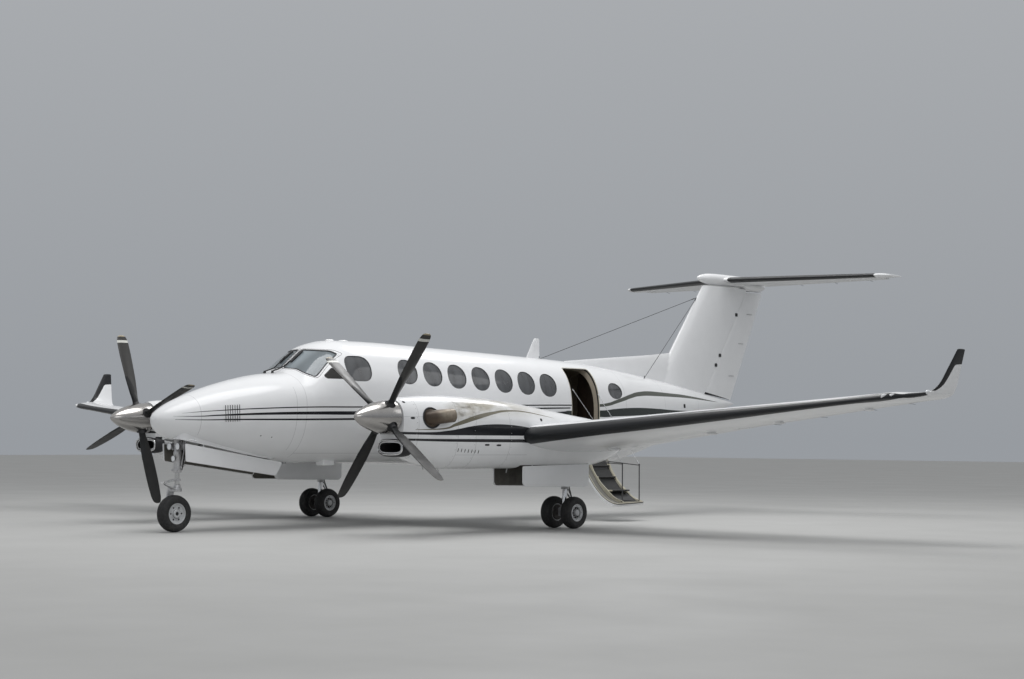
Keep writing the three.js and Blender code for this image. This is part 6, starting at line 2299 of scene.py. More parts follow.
@dataclass(frozen=True)
class Propeller:
    """One propeller: four blades with boots, hub and polished spinner.

    Attributes:
        side: Which engine.
        first_angle: Where its first blade points, from +Z towards +X, in degrees.
        station: The blades' station.
        tip_y: Station of the spinner's tip.
        rear_y: Station of the spinner's rear edge.
        root_hole: Radius of the spinner's opening round a blade.
    """

    side: Side
    first_angle: float
    station: float = -5.262
    tip_y: float = -5.780
    rear_y: float = -5.140
    root_hole: float = 0.072

    @property
    def angles(self) -> list[float]:
        """The blades' angles in radians."""
        return [math.radians(self.first_angle + 90 * k) for k in range(4)]

    @property
    def hub(self) -> np.ndarray:
        """The middle of the hub."""
        return np.array([self.side.value * ENGINE_X, self.station, SHAFT_Z])

    @staticmethod
    def section(radius: float, shares: np.ndarray) -> tuple[np.ndarray, np.ndarray, np.ndarray, float]:
        """Reads a blade's section at a radius.

        Args:
            radius: Distance from the shaft.
            shares: Places along the chord, from the leading edge.

        Returns:
            Camber, half thickness and place along y for each share, and how round the root is.
        """
        chord, thickness, _ = smooth(BLADE_ROWS, radius)[0]
        root = float(np.clip((0.46 - radius) / 0.26, 0, 1))
        bow = 1 - (2 * shares - 1) ** 2
        lens = section_half(shares, 0.12) / section_half(0.3, 0.12) * (1 - root)
        lens = lens + np.sqrt(np.clip(bow, 0, 1)) * root
        half = thickness / 2 * np.clip(lens, 0.0, None)
        return 0.25 * thickness * (1 - root) * bow, half, (shares - 0.5) * chord, root

    @staticmethod
    def pitched(flat: np.ndarray, radius: float) -> np.ndarray:
        """Turns a flat section to its pitch and lifts it to its radius."""
        twist = math.radians(smooth(BLADE_ROWS, radius)[0][2])
        x = flat[:, 0] * math.cos(twist) - flat[:, 1] * math.sin(twist)
        y = flat[:, 1] * math.cos(twist) + flat[:, 0] * math.sin(twist)
        return np.stack([x, y, np.full(len(x), radius)], axis=1)

    def blade(self) -> Shape:
        """Returns one blade that points up, about the hub's middle."""
        radii = np.r_[np.linspace(0.15, 1.28, 54), 1.335 - 0.055 * np.linspace(1, 0, 12)[1:] ** 2]
        shares = (1 - np.cos(np.linspace(0, math.pi, 18))) / 2
        rings = []
        for radius in radii:
            camber, half, along, root = self.section(radius, shares)
            half = half + 0.0006 * (1 - root)
            over = np.stack([camber + half, along], axis=1)
            under = np.stack([camber - half * 0.7, along], axis=1)[1:-1][::-1]
            rings.append(self.pitched(np.vstack([over, under]), radius))
        made = Shape().loft(np.array(rings))
        around = len(rings[0])
        skins = (len(rings) - 1) * around
        made.finishes[:skins] = [0 if k % around < len(shares) - 1 else 3 for k in range(skins)]
        return made

    def boot(self) -> Shape:
        """Returns the black boot over the leading edge of one blade's root."""
        rings, skin = [], 0.0016
        for radius in np.linspace(0.245, 0.66, 22):
            reach = 0.52 if radius < 0.5 else 0.52 - 0.35 * (radius - 0.5) / 0.16
            shares = reach * (1 - np.cos(np.linspace(0, math.pi / 2, 10)))
            camber, half, along, _ = self.section(radius, shares)
            over = np.stack([camber + half + skin, along - skin], axis=1)
            under = np.stack([camber - half * 0.7 - skin, along - skin], axis=1)[1:]
            rings.append(self.pitched(np.vstack([over[::-1], under]), radius))
        return Shape().loft(np.array(rings), 1)

    def around(self, shape: Shape) -> Shape:
        """Returns four copies of a shape, one at each blade's angle."""
        total = Shape()
        for angle in self.angles:
            turn = np.array(Matrix.Rotation(angle, 3, "Y"))
            total.join(shape.bent(lambda points, turn=turn: points @ turn.T + self.hub))
        return total

    def build(self) -> None:
        """Builds the blades with their hub, then the spinner."""
        word = self.side.word
        body = f"propeller_{word}"
        paint = BladePaint(f"blade_paint_{word}", (0.030, 0.029, 0.027), 0.34, mottle=0.3, specular=0.48,
                           grain=12.0, centre_x=self.side.value * ENGINE_X)
        single = self.blade().join(self.boot())
        single.turned([(0.050, 0.08), (0.056, 0.10), (0.056, 0.175), (0.060, 0.18), (0.060, 0.205),
                       (0.052, 0.212), (0.046, 0.25)], (0, 0, 0), (0, 0, 1), 32, 2)
        blades = self.around(single)
        back = (0, self.rear_y - self.station - 0.004, 0)
        blades.rod(self.hub + (0, -0.09, 0), self.hub + back, 0.128, 40, 2)
        blades.piece(f"blades_{word}", body, (paint, BOOT, DARK_TRIM, BLADE_BACK), "blade_dark",
                     (f"propeller_{word}",), 32)
        metal = TurnedMetal(f"spinner_metal_{word}", (0.47, 0.455, 0.44), 0.20, metallic=1.0, mottle=0.10,
                            grain=8.0)
        profile = flowing([(0.002, 0), (0.030, 0.020), (0.088, 0.098), (0.146, 0.218), (0.190, 0.352),
                           (0.214, 0.478), (0.221, 0.560), (0.222, 0.634)], 44)
        inner = [(max(r - 0.006, 0.001), a + 0.012) for r, a in profile[::-1]]
        rings = [*profile.tolist(), (0.222, 0.640), (0.216, 0.640), *inner[1:]]
        spinner = Shape().turned(rings, (self.hub[0], self.tip_y, SHAFT_Z), (0, 1, 0), 96)
        made = spinner.mesh_object(f"spinner_{word}_shell", (metal, SHADOW))
        hole = Shape().turned([(self.root_hole, 0.06), (self.root_hole, 0.30)], (0, 0, 0), (0, 0, 1), 40, 1)
        carve(made, [self.around(hole)])
        settle(made, body, (f"spinner_{word}",))
        plate = Shape().turned([(0.10, -0.006), (0.214, -0.006), (0.214, 0.002), (0.10, 0.002)],
                               (self.hub[0], self.rear_y - 0.03, SHAFT_Z), (0, 1, 0), 64, 0, looped=True)
        plate.join(self.around(Shape().hoop(self.hole_edge(), (0, 0, 1), 0.0045, 1)))
        plate.piece(f"spinner_plate_{word}", body, (DARK_TRIM, SEAL), "blade_dark")

    def hole_edge(self) -> np.ndarray:
        """Returns the edge of the spinner's opening round one blade that points up."""
        turn = turns(40)
        x, y = self.root_hole * np.cos(turn), self.root_hole * np.sin(turn)
        profile = ((0.478, 0.214), (0.500, 0.2165), (0.518, 0.218), (0.560, 0.221), (0.60, 0.222))
        radius = smooth(profile, y + self.station - self.tip_y)[:, 0]
        return np.stack([x, y, np.sqrt(radius**2 - x**2)], axis=1)


# Landing gear


@dataclass(frozen=True)
class Wheel:
    """One wheel about an axle along X.

    Attributes:
        centre: Its middle.
        radius: The tyre's outer radius.
        half: Half the tyre's width.
        rim: The rim's radius.
    """

    centre: tuple[float, float, float]
    radius: float
    half: float
    rim: float

    def tyre(self) -> Shape:
        """Returns the tyre with its grooves."""
        deep, wide = self.radius - self.rim, self.half
        half = flowing([(self.rim - 0.004, wide * 0.66), (self.rim + 0.02 * deep, wide * 0.80),
                        (self.rim + 0.30 * deep, wide * 0.97), (self.rim + 0.52 * deep, wide),
                        (self.rim + 0.80 * deep, wide * 0.88), (self.radius - 0.012, wide * 0.66),
                        (self.radius - 0.003, wide * 0.36), (self.radius, 0.0)], 64)
        profile = np.vstack([half, (half * (1, -1))[:-1][::-1]])
        grooves = np.zeros(len(profile))
        for at in (-0.46, -0.16, 0.16, 0.46):
            grooves += np.clip(1.7 - np.abs(profile[:, 1] - at * wide) / 0.0021, 0, 1)
        crown = profile[:, 0] > self.radius - 0.02
        profile[:, 0] -= 0.0045 * np.where(crown, np.clip(grooves, 0, 1), 0)
        return Shape().turned(profile, self.centre, (1, 0, 0), 96, 0, looped=True)

    def barrel(self, faces: Sequence[Point], holes: int, hole: Point,
               facing: Iterable[int] = (1, -1)) -> Shape:
        """Returns the rim.

        Args:
            faces: Radius and distance from the middle, from the flange to the hub.
            holes: Number of openings in each face.
            hole: Radius at which they stand and their own radius.
            facing: The sides that show the face.

        Returns:
            The rim, with dark openings as its second finish.
        """
        outer = [(self.rim - 0.006, -self.half * 0.5), (self.rim - 0.006, self.half * 0.5)]
        back = [(r, -a) for r, a in faces[::-1]]
        made = Shape().turned([*back, *outer, *faces], self.centre, (1, 0, 0), 72)
        reach, radius = hole
        depth = np.interp(reach, *np.array(faces[::-1]).T) + 0.0006
        for sign in facing:
            for k in range(holes):
                turn = 2 * math.pi * k / holes
                at = np.add(self.centre, (sign * depth, reach * math.cos(turn), reach * math.sin(turn)))
                made.turned([(0, -0.004), (radius, -0.004), (radius, 0.0), (0, 0.0)],
                            at, (sign, 0, 0), 20, 1)
        return made


@dataclass(frozen=True)
class NoseGear:
    """The nose leg, its half fork and its wheel.

    Attributes:
        axle: Where the axle stands.
        steer_y: Station of the steering axis.
    """

    axle: tuple[float, float, float] = (0.0, -6.612, 0.250)
    steer_y: float = -6.570

    def build(self) -> None:
        """Builds the leg, the fork and the wheel."""
        self.build_leg()
        self.build_fork()
        wheel = Wheel(self.axle, 0.250, 0.0855, 0.136)
        wheel.tyre().piece("nose_tyre_rubber", "nose_wheel", (TYRE,), "tyre", ("nose_tyre",), 30)
        faces = ((0.143, 0.058), (0.147, 0.063), (0.146, 0.069), (0.138, 0.071), (0.128, 0.066),
                 (0.120, 0.052), (0.108, 0.047), (0.072, 0.045), (0.062, 0.052), (0.058, 0.066),
                 (0.050, 0.072), (0.030, 0.073), (0.026, 0.066), (0.001, 0.066))
        rim = wheel.barrel(faces, 6, (0.090, 0.0125))
        for sign in (1, -1):
            at = np.add(self.axle, (sign * 0.0665, 0, 0))
            rim.turned([(0, -0.002), (0.024, -0.002), (0.024, 0.001), (0.018, 0.004), (0, 0.005)],
                       at, (sign, 0, 0), 28, 1)
            rim.turned([(0.0595, 0.0), (0.0640, 0.0), (0.0640, 0.0015), (0.0595, 0.0015)],
                       np.add(self.axle, (sign * 0.0575, 0, 0)), (sign, 0, 0), 40, 1, looped=True)
        rim.piece("nose_wheel_rim", "nose_wheel", (RIM_PAINT, SHADOW), "rim_paint", ("nose_rim",), 30)

    def build_leg(self) -> None:
        """Builds the fixed part of the leg with its lamps, links and lines."""
        y = self.steer_y
        leg = Shape()
        leg.turned([(0.036, 0), (0.054, 0), (0.058, 0.006), (0.058, 0.040), (0.050, 0.050), (0.050, 0.230),
                    (0.055, 0.240), (0.055, 0.275), (0.049, 0.285), (0.049, 0.420), (0.057, 0.440),
                    (0.057, 0.600), (0.050, 0.620), (0.0, 0.625)], (0, y, 0.800), (0, 0, 1), 40)
        leg.rod((-0.200, y, 1.345), (0.200, y, 1.345), 0.034, 28)
        leg.rod((0, -6.54, 0.900), (0, -5.87, 1.400), 0.022, 24, 0)
        leg.rod((0, -6.38, 1.0195), (0, -6.30, 1.079), 0.029, 24, 1)
        leg.rod((-0.05, -5.87, 1.400), (0.05, -5.87, 1.400), 0.030, 24, 1)
        leg.box((-0.040, y + 0.035, 0.870), (0.040, y + 0.085, 0.930), 0.008)
        for sign in (1, -1):
            leg.box((sign * 0.075 - 0.012, y - 0.030, 1.10), (sign * 0.075 + 0.012, y + 0.020, 1.20), 0.005)
            leg.rod((sign * 0.045, y, 1.15), (sign * 0.095, y, 1.15), 0.014, 16)
            leg.rod((sign * 0.050, y + 0.02, 0.86), (sign * 0.150, y + 0.05, 1.34), 0.009, 12, 1)
        leg.box((-0.062, y - 0.052, 0.815), (0.062, y - 0.030, 0.845), 0.004)
        leg.piece("nose_leg_casting", AIRFRAME, (GEAR_PAINT, GEAR_METAL), "gear_metal", ("nose_leg",))
        lamps, lenses = Shape(), Shape()
        case = ((0.0, 0.052), (0.45, 0.048), (0.85, 0.026), (1, 0.006), (1, 0.0), (0.90, 0.0),
                (0.88, 0.010), (0, 0.012))
        lens = ((0, -0.006), (0.5, -0.004), (0.89, 0.003), (0.89, 0.008), (0, 0.008))
        for x, z, size in ((0.088, 1.150, 0.050), (-0.088, 1.150, 0.050), (0.0, 0.985, 0.043)):
            for made, profile in ((lamps, case), (lenses, lens)):
                made.turned([(size * share, along) for share, along in profile], (x, y - 0.075, z),
                            (0, 1, 0), 36)
        lamps.piece("nose_lamp_cases", AIRFRAME, (GEAR_METAL,), "gear_metal")
        lenses.piece("nose_lamp_lenses", AIRFRAME, (LAMP,), "glass")
        lines = Shape()
        for x, aft in ((0.045, 0.045), (-0.045, 0.045), (0.02, 0.062)):
            path = [(x, y + aft, 0.83), (x * 1.3, y + aft + 0.02, 0.98), (x, y + aft, 1.15),
                    (x * 0.8, y + aft + 0.01, 1.40)]
            lines.tube(flowing(path, 18), 0.0055, 8)
        lines.piece("nose_leg_pipes", AIRFRAME, (HOSE,), "panel_black")

    def build_fork(self) -> None:
        """Builds the part that steers: piston, collar, half fork, axle and torque links."""
        y = self.steer_y
        fork = Shape()
        fork.rod((0, y, 0.560), (0, y, 0.895), 0.034, 36, 1)
        crown = rounded(rectangle((-0.134, y - 0.058), (0.058, y + 0.058)), 0.045, 6)
        fork.plate(crown, Axis.Z, 0.542, 0.598, 0.008)
        fork.turned([(0.034, 0), (0.050, 0), (0.050, 0.020), (0.040, 0.045), (0.034, 0.05)], (0, y, 0.595),
                    (0, 0, 1), 36)
        axle_y, axle_z = self.axle[1:]
        outline = rounded(((axle_y - 0.046, 0.210), (axle_y + 0.046, 0.210), (axle_y + 0.062, 0.480),
                           (y + 0.056, 0.596), (y - 0.056, 0.596), (axle_y - 0.050, 0.430)), 0.035, 5)
        fork.plate(outline, Axis.X, -0.134, -0.102, 0.008)
        fork.rod((-0.142, axle_y, axle_z), (-0.094, axle_y, axle_z), 0.040, 28)
        fork.rod((-0.130, axle_y, axle_z), (0.050, axle_y, axle_z), 0.021, 24, 1)
        fork.rod((-0.150, axle_y, axle_z), (-0.140, axle_y, axle_z), 0.020, 6, 1)
        apex_y, apex_z = -6.806, 0.660
        near = y - 0.040
        for foot in (0.700, 0.575):
            for sign in (1, -1):
                fork.rod((sign * 0.034, near, foot), (sign * 0.012, apex_y, apex_z), 0.0105, 14)
            fork.rod((-0.046, near, foot), (0.046, near, foot), 0.014, 18)
        fork.rod((-0.024, apex_y, apex_z), (0.024, apex_y, apex_z), 0.015, 18, 1)
        fork.turned([(0.034, 0), (0.047, 0), (0.047, 0.030), (0.034, 0.030)], (0, y, 0.688), (0, 0, 1), 36,
                    looped=True)
        fork.piece("nose_fork_casting", "nose_fork", (GEAR_PAINT, CHROME), "gear_metal", ("nose_fork",))


@dataclass(frozen=True)
class MainGear:
    """Both main legs with twin wheels and brakes.

    Attributes:
        axle: Station and height of the axle.
        offset: Distance of each wheel from the leg.
    """

    axle: tuple[float, float] = (-1.655, 0.230)
    offset: float = 0.187

    def build(self) -> None:
        """Builds the legs and wheels of both sides."""
        for side in Side:
            self.build_leg(side)
            self.build_wheels(side)

    def build_leg(self, side: Side) -> None:
        """Builds one leg with its links, brace and brake lines."""
        x = side.value * ENGINE_X
        y, z = self.axle
        leg = Shape()
        top, foot = (x, y + 0.060, 1.195), (x, y + 0.030, 0.560)
        axis = np.subtract(top, foot)
        leg.turned([(0.040, 0), (0.058, 0), (0.062, 0.006), (0.062, 0.050), (0.054, 0.062),
                    (0.054, 0.260), (0.061, 0.272), (0.061, 0.330), (0.055, 0.345), (0.058, 0.560),
                    (0.052, 0.625), (0, 0.635)], foot, axis, 40)
        leg.rod((x, y, 0.280), (x, y + 0.0305, 0.575), 0.040, 36, 1)
        leg.rod((x - 0.240, y + 0.055, 1.120), (x + 0.240, y + 0.055, 1.120), 0.032, 28)
        leg.box((x - 0.060, y - 0.062, z - 0.055), (x + 0.060, y + 0.062, z + 0.070), 0.020)
        leg.rod((x, y, z + 0.05), (x, y + 0.004, z + 0.10), 0.052, 32)
        leg.rod((x - self.offset, y, z), (x + self.offset, y, z), 0.033, 28, 1)
        apex = (x, y + 0.190, 0.390)
        for start in ((x, y + 0.060, 0.560), (x, y + 0.045, 0.262)):
            for sign in (1, -1):
                leg.rod(np.add(start, (sign * 0.038, 0, 0)), np.add(apex, (sign * 0.012, 0, 0)), 0.0125, 14)
            leg.rod(np.add(start, (-0.050, 0, 0)), np.add(start, (0.050, 0, 0)), 0.017, 20)
        leg.rod(np.add(apex, (-0.026, 0, 0)), np.add(apex, (0.026, 0, 0)), 0.016, 20, 1)
        leg.rod((x, y + 0.020, 0.720), (x, y - 0.900, 1.120), 0.025, 24)
        leg.rod((x, y - 0.40, 0.903), (x, y - 0.48, 0.9375), 0.033, 24, 1)
        leg.rod((x - 0.200, y - 0.900, 1.120), (x + 0.200, y - 0.900, 1.120), 0.022, 24)
        for sign in (1, -1):
            leg.rod((x + sign * 0.030, y - 0.01, 0.740), (x + sign * 0.060, y - 0.055, 0.740), 0.014, 16, 1)
        leg.piece(f"main_leg_{side.word}_casting", AIRFRAME, (GEAR_PAINT, CHROME), "gear_metal",
                  (f"main_leg_{side.word}",))
        lines = Shape()
        for sign in (1, -1):
            bends = ((0.085, 0.075, z + 0.03), (0.05, 0.12, 0.36), (0.055, 0.10, 0.47),
                     (0.060, 0.045, 0.62), (0.050, 0.07, 0.90))
            path = [(x + sign * beside, y + behind, height) for beside, behind, height in bends]
            lines.tube(flowing(path, 24), 0.006, 8)
        lines.piece(f"main_leg_{side.word}_pipes", AIRFRAME, (HOSE,), "panel_black")

    def build_wheels(self, side: Side) -> None:
        """Builds one pair of wheels."""
        word = side.word
        body = f"main_wheels_{word}"
        rims = Shape()
        y, z = self.axle
        faces = ((0.124, 0.056), (0.129, 0.060), (0.128, 0.066), (0.121, 0.068), (0.112, 0.064),
                 (0.108, 0.058), (0.088, 0.057), (0.084, 0.050), (0.082, 0.036), (0.046, 0.034),
                 (0.045, 0.066), (0.040, 0.074), (0.024, 0.078), (0.001, 0.078))
        for word_in, sign in (("outer", 1), ("inner", -1)):
            x = side.value * (ENGINE_X + sign * self.offset)
            wheel = Wheel((x, y, z), 0.230, 0.0825, 0.120)
            out = sign * side.value
            wheel.tyre().piece(f"main_tyre_{word}_{word_in}_rubber", body, (TYRE,), "tyre",
                               (f"main_tyre_{word}_{word_in}",), 30)
            rims.join(wheel.barrel(faces, 8, (0.098, 0.006), (out,)))
            at = (x + out * 0.0365, y, z)
            rims.turned([(0.046, -0.001), (0.0815, -0.001), (0.0815, 0.001), (0.046, 0.001)],
                        at, (out, 0, 0), 48, 1, looped=True)
            for k in range(9):
                turn = 2 * math.pi * k / 9
                bolt = (x + out * 0.036, y + 0.064 * math.cos(turn), z + 0.064 * math.sin(turn))
                rims.turned([(0, 0), (0.007, 0), (0.007, 0.008), (0.005, 0.010), (0, 0.010)],
                            bolt, (out, 0, 0), 6, 2)
            disc = ((0.034, -0.078), (0.104, -0.078), (0.110, -0.072), (0.110, -0.030), (0.034, -0.030))
            rims.turned(disc, (x, y, z), (out, 0, 0), 56, 3, looped=True)
        rims.piece(f"main_rims_{word}", body, (RIM_PAINT, SHADOW, CHROME, DISC), "rim_paint",
                   (f"main_wheels_{word}",), 30)


@dataclass(frozen=True)
class GearDoors:
    """The six doors that stay open beside the wheels.

    Attributes:
        nose: Outline of a nose door in y and z.
        main: Outline of a main door in y and z.
    """

    nose: tuple[tuple[float, float], ...] = (
        (-6.630, 1.190), (-6.615, 0.950), (-5.053, 0.745), (-4.935, 0.930))
    main: tuple[tuple[float, float], ...] = (
        (-2.850, 0.902), (-2.850, 0.660), (-2.810, 0.622), (-1.500, 0.600), (-1.440, 0.634), (-1.440, 0.926))

    def door(self, outline: Sequence[Point], inner_x: float, outer_x: float, corner: float) -> Shape:
        """Returns one door with a pressed inner skin.

        Args:
            outline: Its outline in y and z.
            inner_x: Face towards the wheel.
            outer_x: Face away from it.
            corner: Rounding of its corners.

        Returns:
            The door; its inner pressings are its second finish.
        """
        flat = rounded(outline, corner, 5)
        low, high = sorted((inner_x, outer_x))
        made = Shape().plate(flat, Axis.X, low + 0.001, high - 0.001, 0.004)
        towards = math.copysign(1, inner_x - outer_x)
        face = sorted((inner_x - towards * 0.004, inner_x + towards * 0.0008))
        made.plate(scaled(flat, (0.985, 0.95)), Axis.X, *face, 0.0004, 1)
        dense = refined(flat, 0.02)
        reach = np.ptp(flat[:, 0]) / 2
        for share in (-0.68, -0.23, 0.23, 0.68):
            at = flat[:, 0].min() + reach * (1 + share)
            heights = dense[np.abs(dense[:, 0] - at) < 0.09][:, 1]
            low_z, high_z = heights.min() + 0.03, heights.max() - 0.03
            rib = rounded(rectangle((at - 0.085, low_z), (at + 0.085, high_z)), 0.03, 4)
            a, b = sorted((inner_x - towards * 0.002, inner_x + towards * 0.0045))
            made.plate(rib, Axis.X, a, b, 0.002, 1)
        return made

    def build(self) -> None:
        """Builds the nose doors and the main doors with their hinge arms."""
        for side in Side:
            sign = side.value
            nose = self.door(self.nose, sign * 0.232, sign * 0.252, 0.02)
            for y in (-6.30, -5.35):
                nose.rod((sign * 0.231, y, 1.08), (sign * 0.205, y, 1.20), 0.010, 12)
            nose.piece(f"nose_gear_door_{side.word}", AIRFRAME, (WHITE_PAINT, DOOR_INSIDE), "paint_white",
                       (f"nose_door_{side.word}",))
            for place, flip in (("outer", 1), ("inner", -1)):
                inner = sign * (ENGINE_X + flip * 0.268)
                outer = sign * (ENGINE_X + flip * 0.288)
                door = self.door(self.main, inner, outer, 0.03)
                for y in (-2.60, -1.80):
                    door.rod((inner, y, 0.80), (inner - sign * flip * 0.045, y, 0.93), 0.010, 12)
                made = door.mesh_object(f"main_gear_door_{side.word}_{place}", (WHITE_PAINT, DOOR_INSIDE))
                settle(made, AIRFRAME, (f"main_door_{side.word}_{place}",))


# Tail


@dataclass(frozen=True)
class Empennage:
    """Fin, dorsal fin, rudder, tailplane, elevators and the bullet between them.

    Attributes:
        droop: How far the elevators hang at rest, in degrees.
        span: Where an elevator starts and ends.
        fin_z: Foot and top of the fin.
        rudder_top: Height of the rudder's top.
        rudder_gap: Clearance between the rudder and the fuselage below it.
        dorsal: Dorsal fin. Columns: y, height of its ridge, half width of its foot.
        bullet: Radius and y of the fairing on top of the fin.
        bullet_z: Height of its middle.
    """

    droop: float = 9.0
    span: tuple[float, float] = (0.205, 2.690)
    fin_z: tuple[float, float] = (1.98, 4.055)
    rudder_top: float = 4.008
    rudder_gap: float = 0.036
    dorsal: tuple[tuple[float, float, float], ...] = (
        (1.36, 2.566, 0.020), (2.60, 2.668, 0.046), (3.60, 2.746, 0.066), (4.23, 2.812, 0.084),
        (4.70, 2.900, 0.084))
    bullet: tuple[tuple[float, float], ...] = (
        (0.0, 4.990), (0.034, 5.030), (0.070, 5.140), (0.098, 5.360), (0.104, 5.700), (0.100, 6.300),
        (0.078, 6.560), (0.044, 6.640), (0.0, 6.644))
    bullet_z: float = 4.185

    @staticmethod
    def half(rows: Sequence[Point], at: float, y: float) -> float:
        """Returns the half thickness at a station y of the section that stands at a place."""
        lead, _, trail, *_, ratio = straight(rows, at)[0]
        share = (y - lead) / (trail - lead)
        return float(section_half(share, ratio)) * (trail - lead) + 0.003 * share

    def surface(self, rows: Sequence[Point], at: float, middle: float,
                count: int) -> list[tuple[float, float]]:
        """Draws the section of a rudder or elevator round its hinge.

        Args:
            rows: The sections of the fin or tailplane.
            at: Where along them.
            middle: Middle of its thickness.
            count: Stations from the hinge to the trailing edge.

        Returns:
            y and place across the thickness of each point.
        """
        _, hinge, trail, *_ = straight(rows, at)[0]
        sides = [(y, self.half(rows, at, y)) for y in np.linspace(hinge, trail, count)[1:]]
        return [*nose_arc(hinge, middle, self.half(rows, at, hinge)),
                *((y, middle - half) for y, half in sides), *((y, middle + half) for y, half in sides[::-1])]

    def build(self) -> None:
        """Builds the whole tail."""
        self.build_fin()
        self.build_rudder()
        self.build_tailplane()
        for side in Side:
            self.build_elevator(side)

    def build_fin(self) -> None:
        """Builds the fin with its dorsal fin and its rudder well."""
        rings = []
        for z in np.linspace(*self.fin_z, 44):
            lead, _, trail, ratio = straight(FIN_ROWS, z)[0]
            rings.append(foil((0, lead, z), (0, trail, z), (1, 0, 0), ratio))
        fin = Shape().loft(np.array(rings)).mesh_object("fin_skin", (WHITE_PAINT, SHADOW))
        ridge_rows = []
        s = np.linspace(0, 1, 14)
        for y in np.linspace(self.dorsal[0][0], self.dorsal[-1][0], 60):
            ridge, half = smooth(self.dorsal, y)[0]
            foot = float(FUSELAGE.top_z(0.0, y)[0]) - 0.03
            wide = half * np.clip(1 - s**1.5, 0, 1) ** 0.62
            right = np.stack([wide, np.full(len(s), y), foot + (ridge - foot) * s], axis=1)
            ridge_rows.append(np.vstack([right, (right * (-1, 1, 1))[:-1][::-1]]))
        dorsal = Shape().loft(np.array(ridge_rows))
        carve(fin, [dorsal], Cut.JOIN)
        pocket = []
        for z in np.linspace(1.5, 4.032, 20):
            at = float(np.clip(z, FIN_ROWS[0][0], FIN_ROWS[-1][0]))
            hinge = straight(FIN_ROWS, at)[0][1]
            reach = self.half(FIN_ROWS, at, hinge) + 0.010
            pocket.append([(x, y, z) for y, x in well((hinge, 0.0), reach, (0.015, 1.3), 0.25, 13)])
        carve(fin, [Shape().loft(np.array(pocket), finish=1)], angle=30)
        settle(fin, AIRFRAME, ("fin",))
        marks = Shape()
        for z in (2.63, 2.81, 3.57):
            hinge = straight(FIN_ROWS, z)[0][1]
            for sign in (1, -1):
                half = self.half(FIN_ROWS, z, hinge - 0.06)
                outline = oval((hinge - 0.045, z), (0.036, 0.030), 24, 8.0)
                a, b = sorted((sign * (half - 0.004), sign * (half + 0.007)))
                marks.plate(outline, Axis.X, a, b)
        marks.piece("rudder_hinge_covers", AIRFRAME, (SEAL,), "panel_black")

    def build_rudder(self) -> None:
        """Builds the rudder, clear of the fuselage below it."""
        rings = []
        for z in np.linspace(self.fin_z[0], self.rudder_top, 34):
            rings.append([(x, y, z) for y, x in self.surface(FIN_ROWS, z, 0.0, 8)])
        made = Shape().loft(np.array(rings)).mesh_object("rudder_skin", (WHITE_PAINT, SHADOW))
        clear = FUSELAGE.solid(np.linspace(4.4, 6.07, 30), 72, -self.rudder_gap, finish=1)
        carve(made, [clear], angle=30)
        settle(made, "rudder", ("rudder",))
        tab = Shape()
        for z in (2.45, 3.05, 3.6):
            y = straight(FIN_ROWS, z)[0][2] - 0.20
            half = self.half(FIN_ROWS, z, y)
            path = [(half + 0.004, y - 0.16, z), (half + 0.016, y - 0.06, z), (half + 0.002, y + 0.05, z)]
            tab.tube(flowing(path, 9), 0.005, 8)
        tab.piece("rudder_tab_rods", "rudder", (GEAR_METAL,), "gear_metal")

    def tail_ring(self, x: float) -> np.ndarray:
        """Returns the tailplane's section at a span."""
        lead, _, trail, z, ratio = straight(TAILPLANE_ROWS, x)[0]
        return foil((x, lead, z), (x, trail, z), (0, 0, 1), ratio, half_count=26)

    def build_tailplane(self) -> None:
        """Builds the tailplane with its elevator wells, and the bullet."""
        spans = np.r_[np.linspace(0, 2.7, 40), 2.76, 2.82, 2.86, 2.90, 2.93]
        half_rings = [self.tail_ring(x) for x in spans]
        last = half_rings[-1]
        for share, out in ((0.9, 0.006), (0.6, 0.010)):
            half_rings.append(scaled(last, share) + (out, 0, 0))
        rings = [ring * (-1, 1, 1) for ring in half_rings[1:][::-1]] + half_rings
        made = Shape().loft(np.array(rings)).mesh_object("tailplane_skin", (TAIL_PAINT, SHADOW))
        pockets = []
        for side in Side:
            rings = []
            for x in np.linspace(self.span[0] - 0.012, self.span[1] + 0.012, 12):
                _, hinge, _, z, _ = straight(TAILPLANE_ROWS, x)[0]
                reach = self.half(TAILPLANE_ROWS, x, hinge) + 0.009
                rings.append([(x, *at) for at in well((hinge, z), reach, (0.012, 0.6), 0.2, 13)])
            pockets.append(Shape().loft(np.array(rings), finish=1).sided(side))
        carve(made, pockets, angle=30)
        settle(made, AIRFRAME, ("tailplane",))
        profile = [(max(r, 0.0015), y) for r, y in flowing(self.bullet, 60)]
        bullet = Shape().turned(profile, (0, 0, self.bullet_z), (0, 1, 0), 56)
        bullet.turned([(0.001, 6.640), (0.016, 6.645), (0.020, 6.665), (0.014, 6.690), (0.001, 6.697)],
                      (0, 0, self.bullet_z), (0, 1, 0), 24, 1)
        fairing = []
        for share in np.linspace(0, 1, 24):
            grow = math.sqrt(max(1 - (2 * share - 1) ** 2, 0.002))
            flat = oval((0, 4.120), (0.175 * grow, 0.092 * grow), 36, 2.2)
            fairing.append(np.stack([flat[:, 0], np.full(36, 6.29 + 0.74 * share), flat[:, 1]], axis=1))
        bullet.loft(np.array(fairing))
        bullet.piece("tail_bullet", AIRFRAME, (WHITE_PAINT, LAMP), "tail_paint")

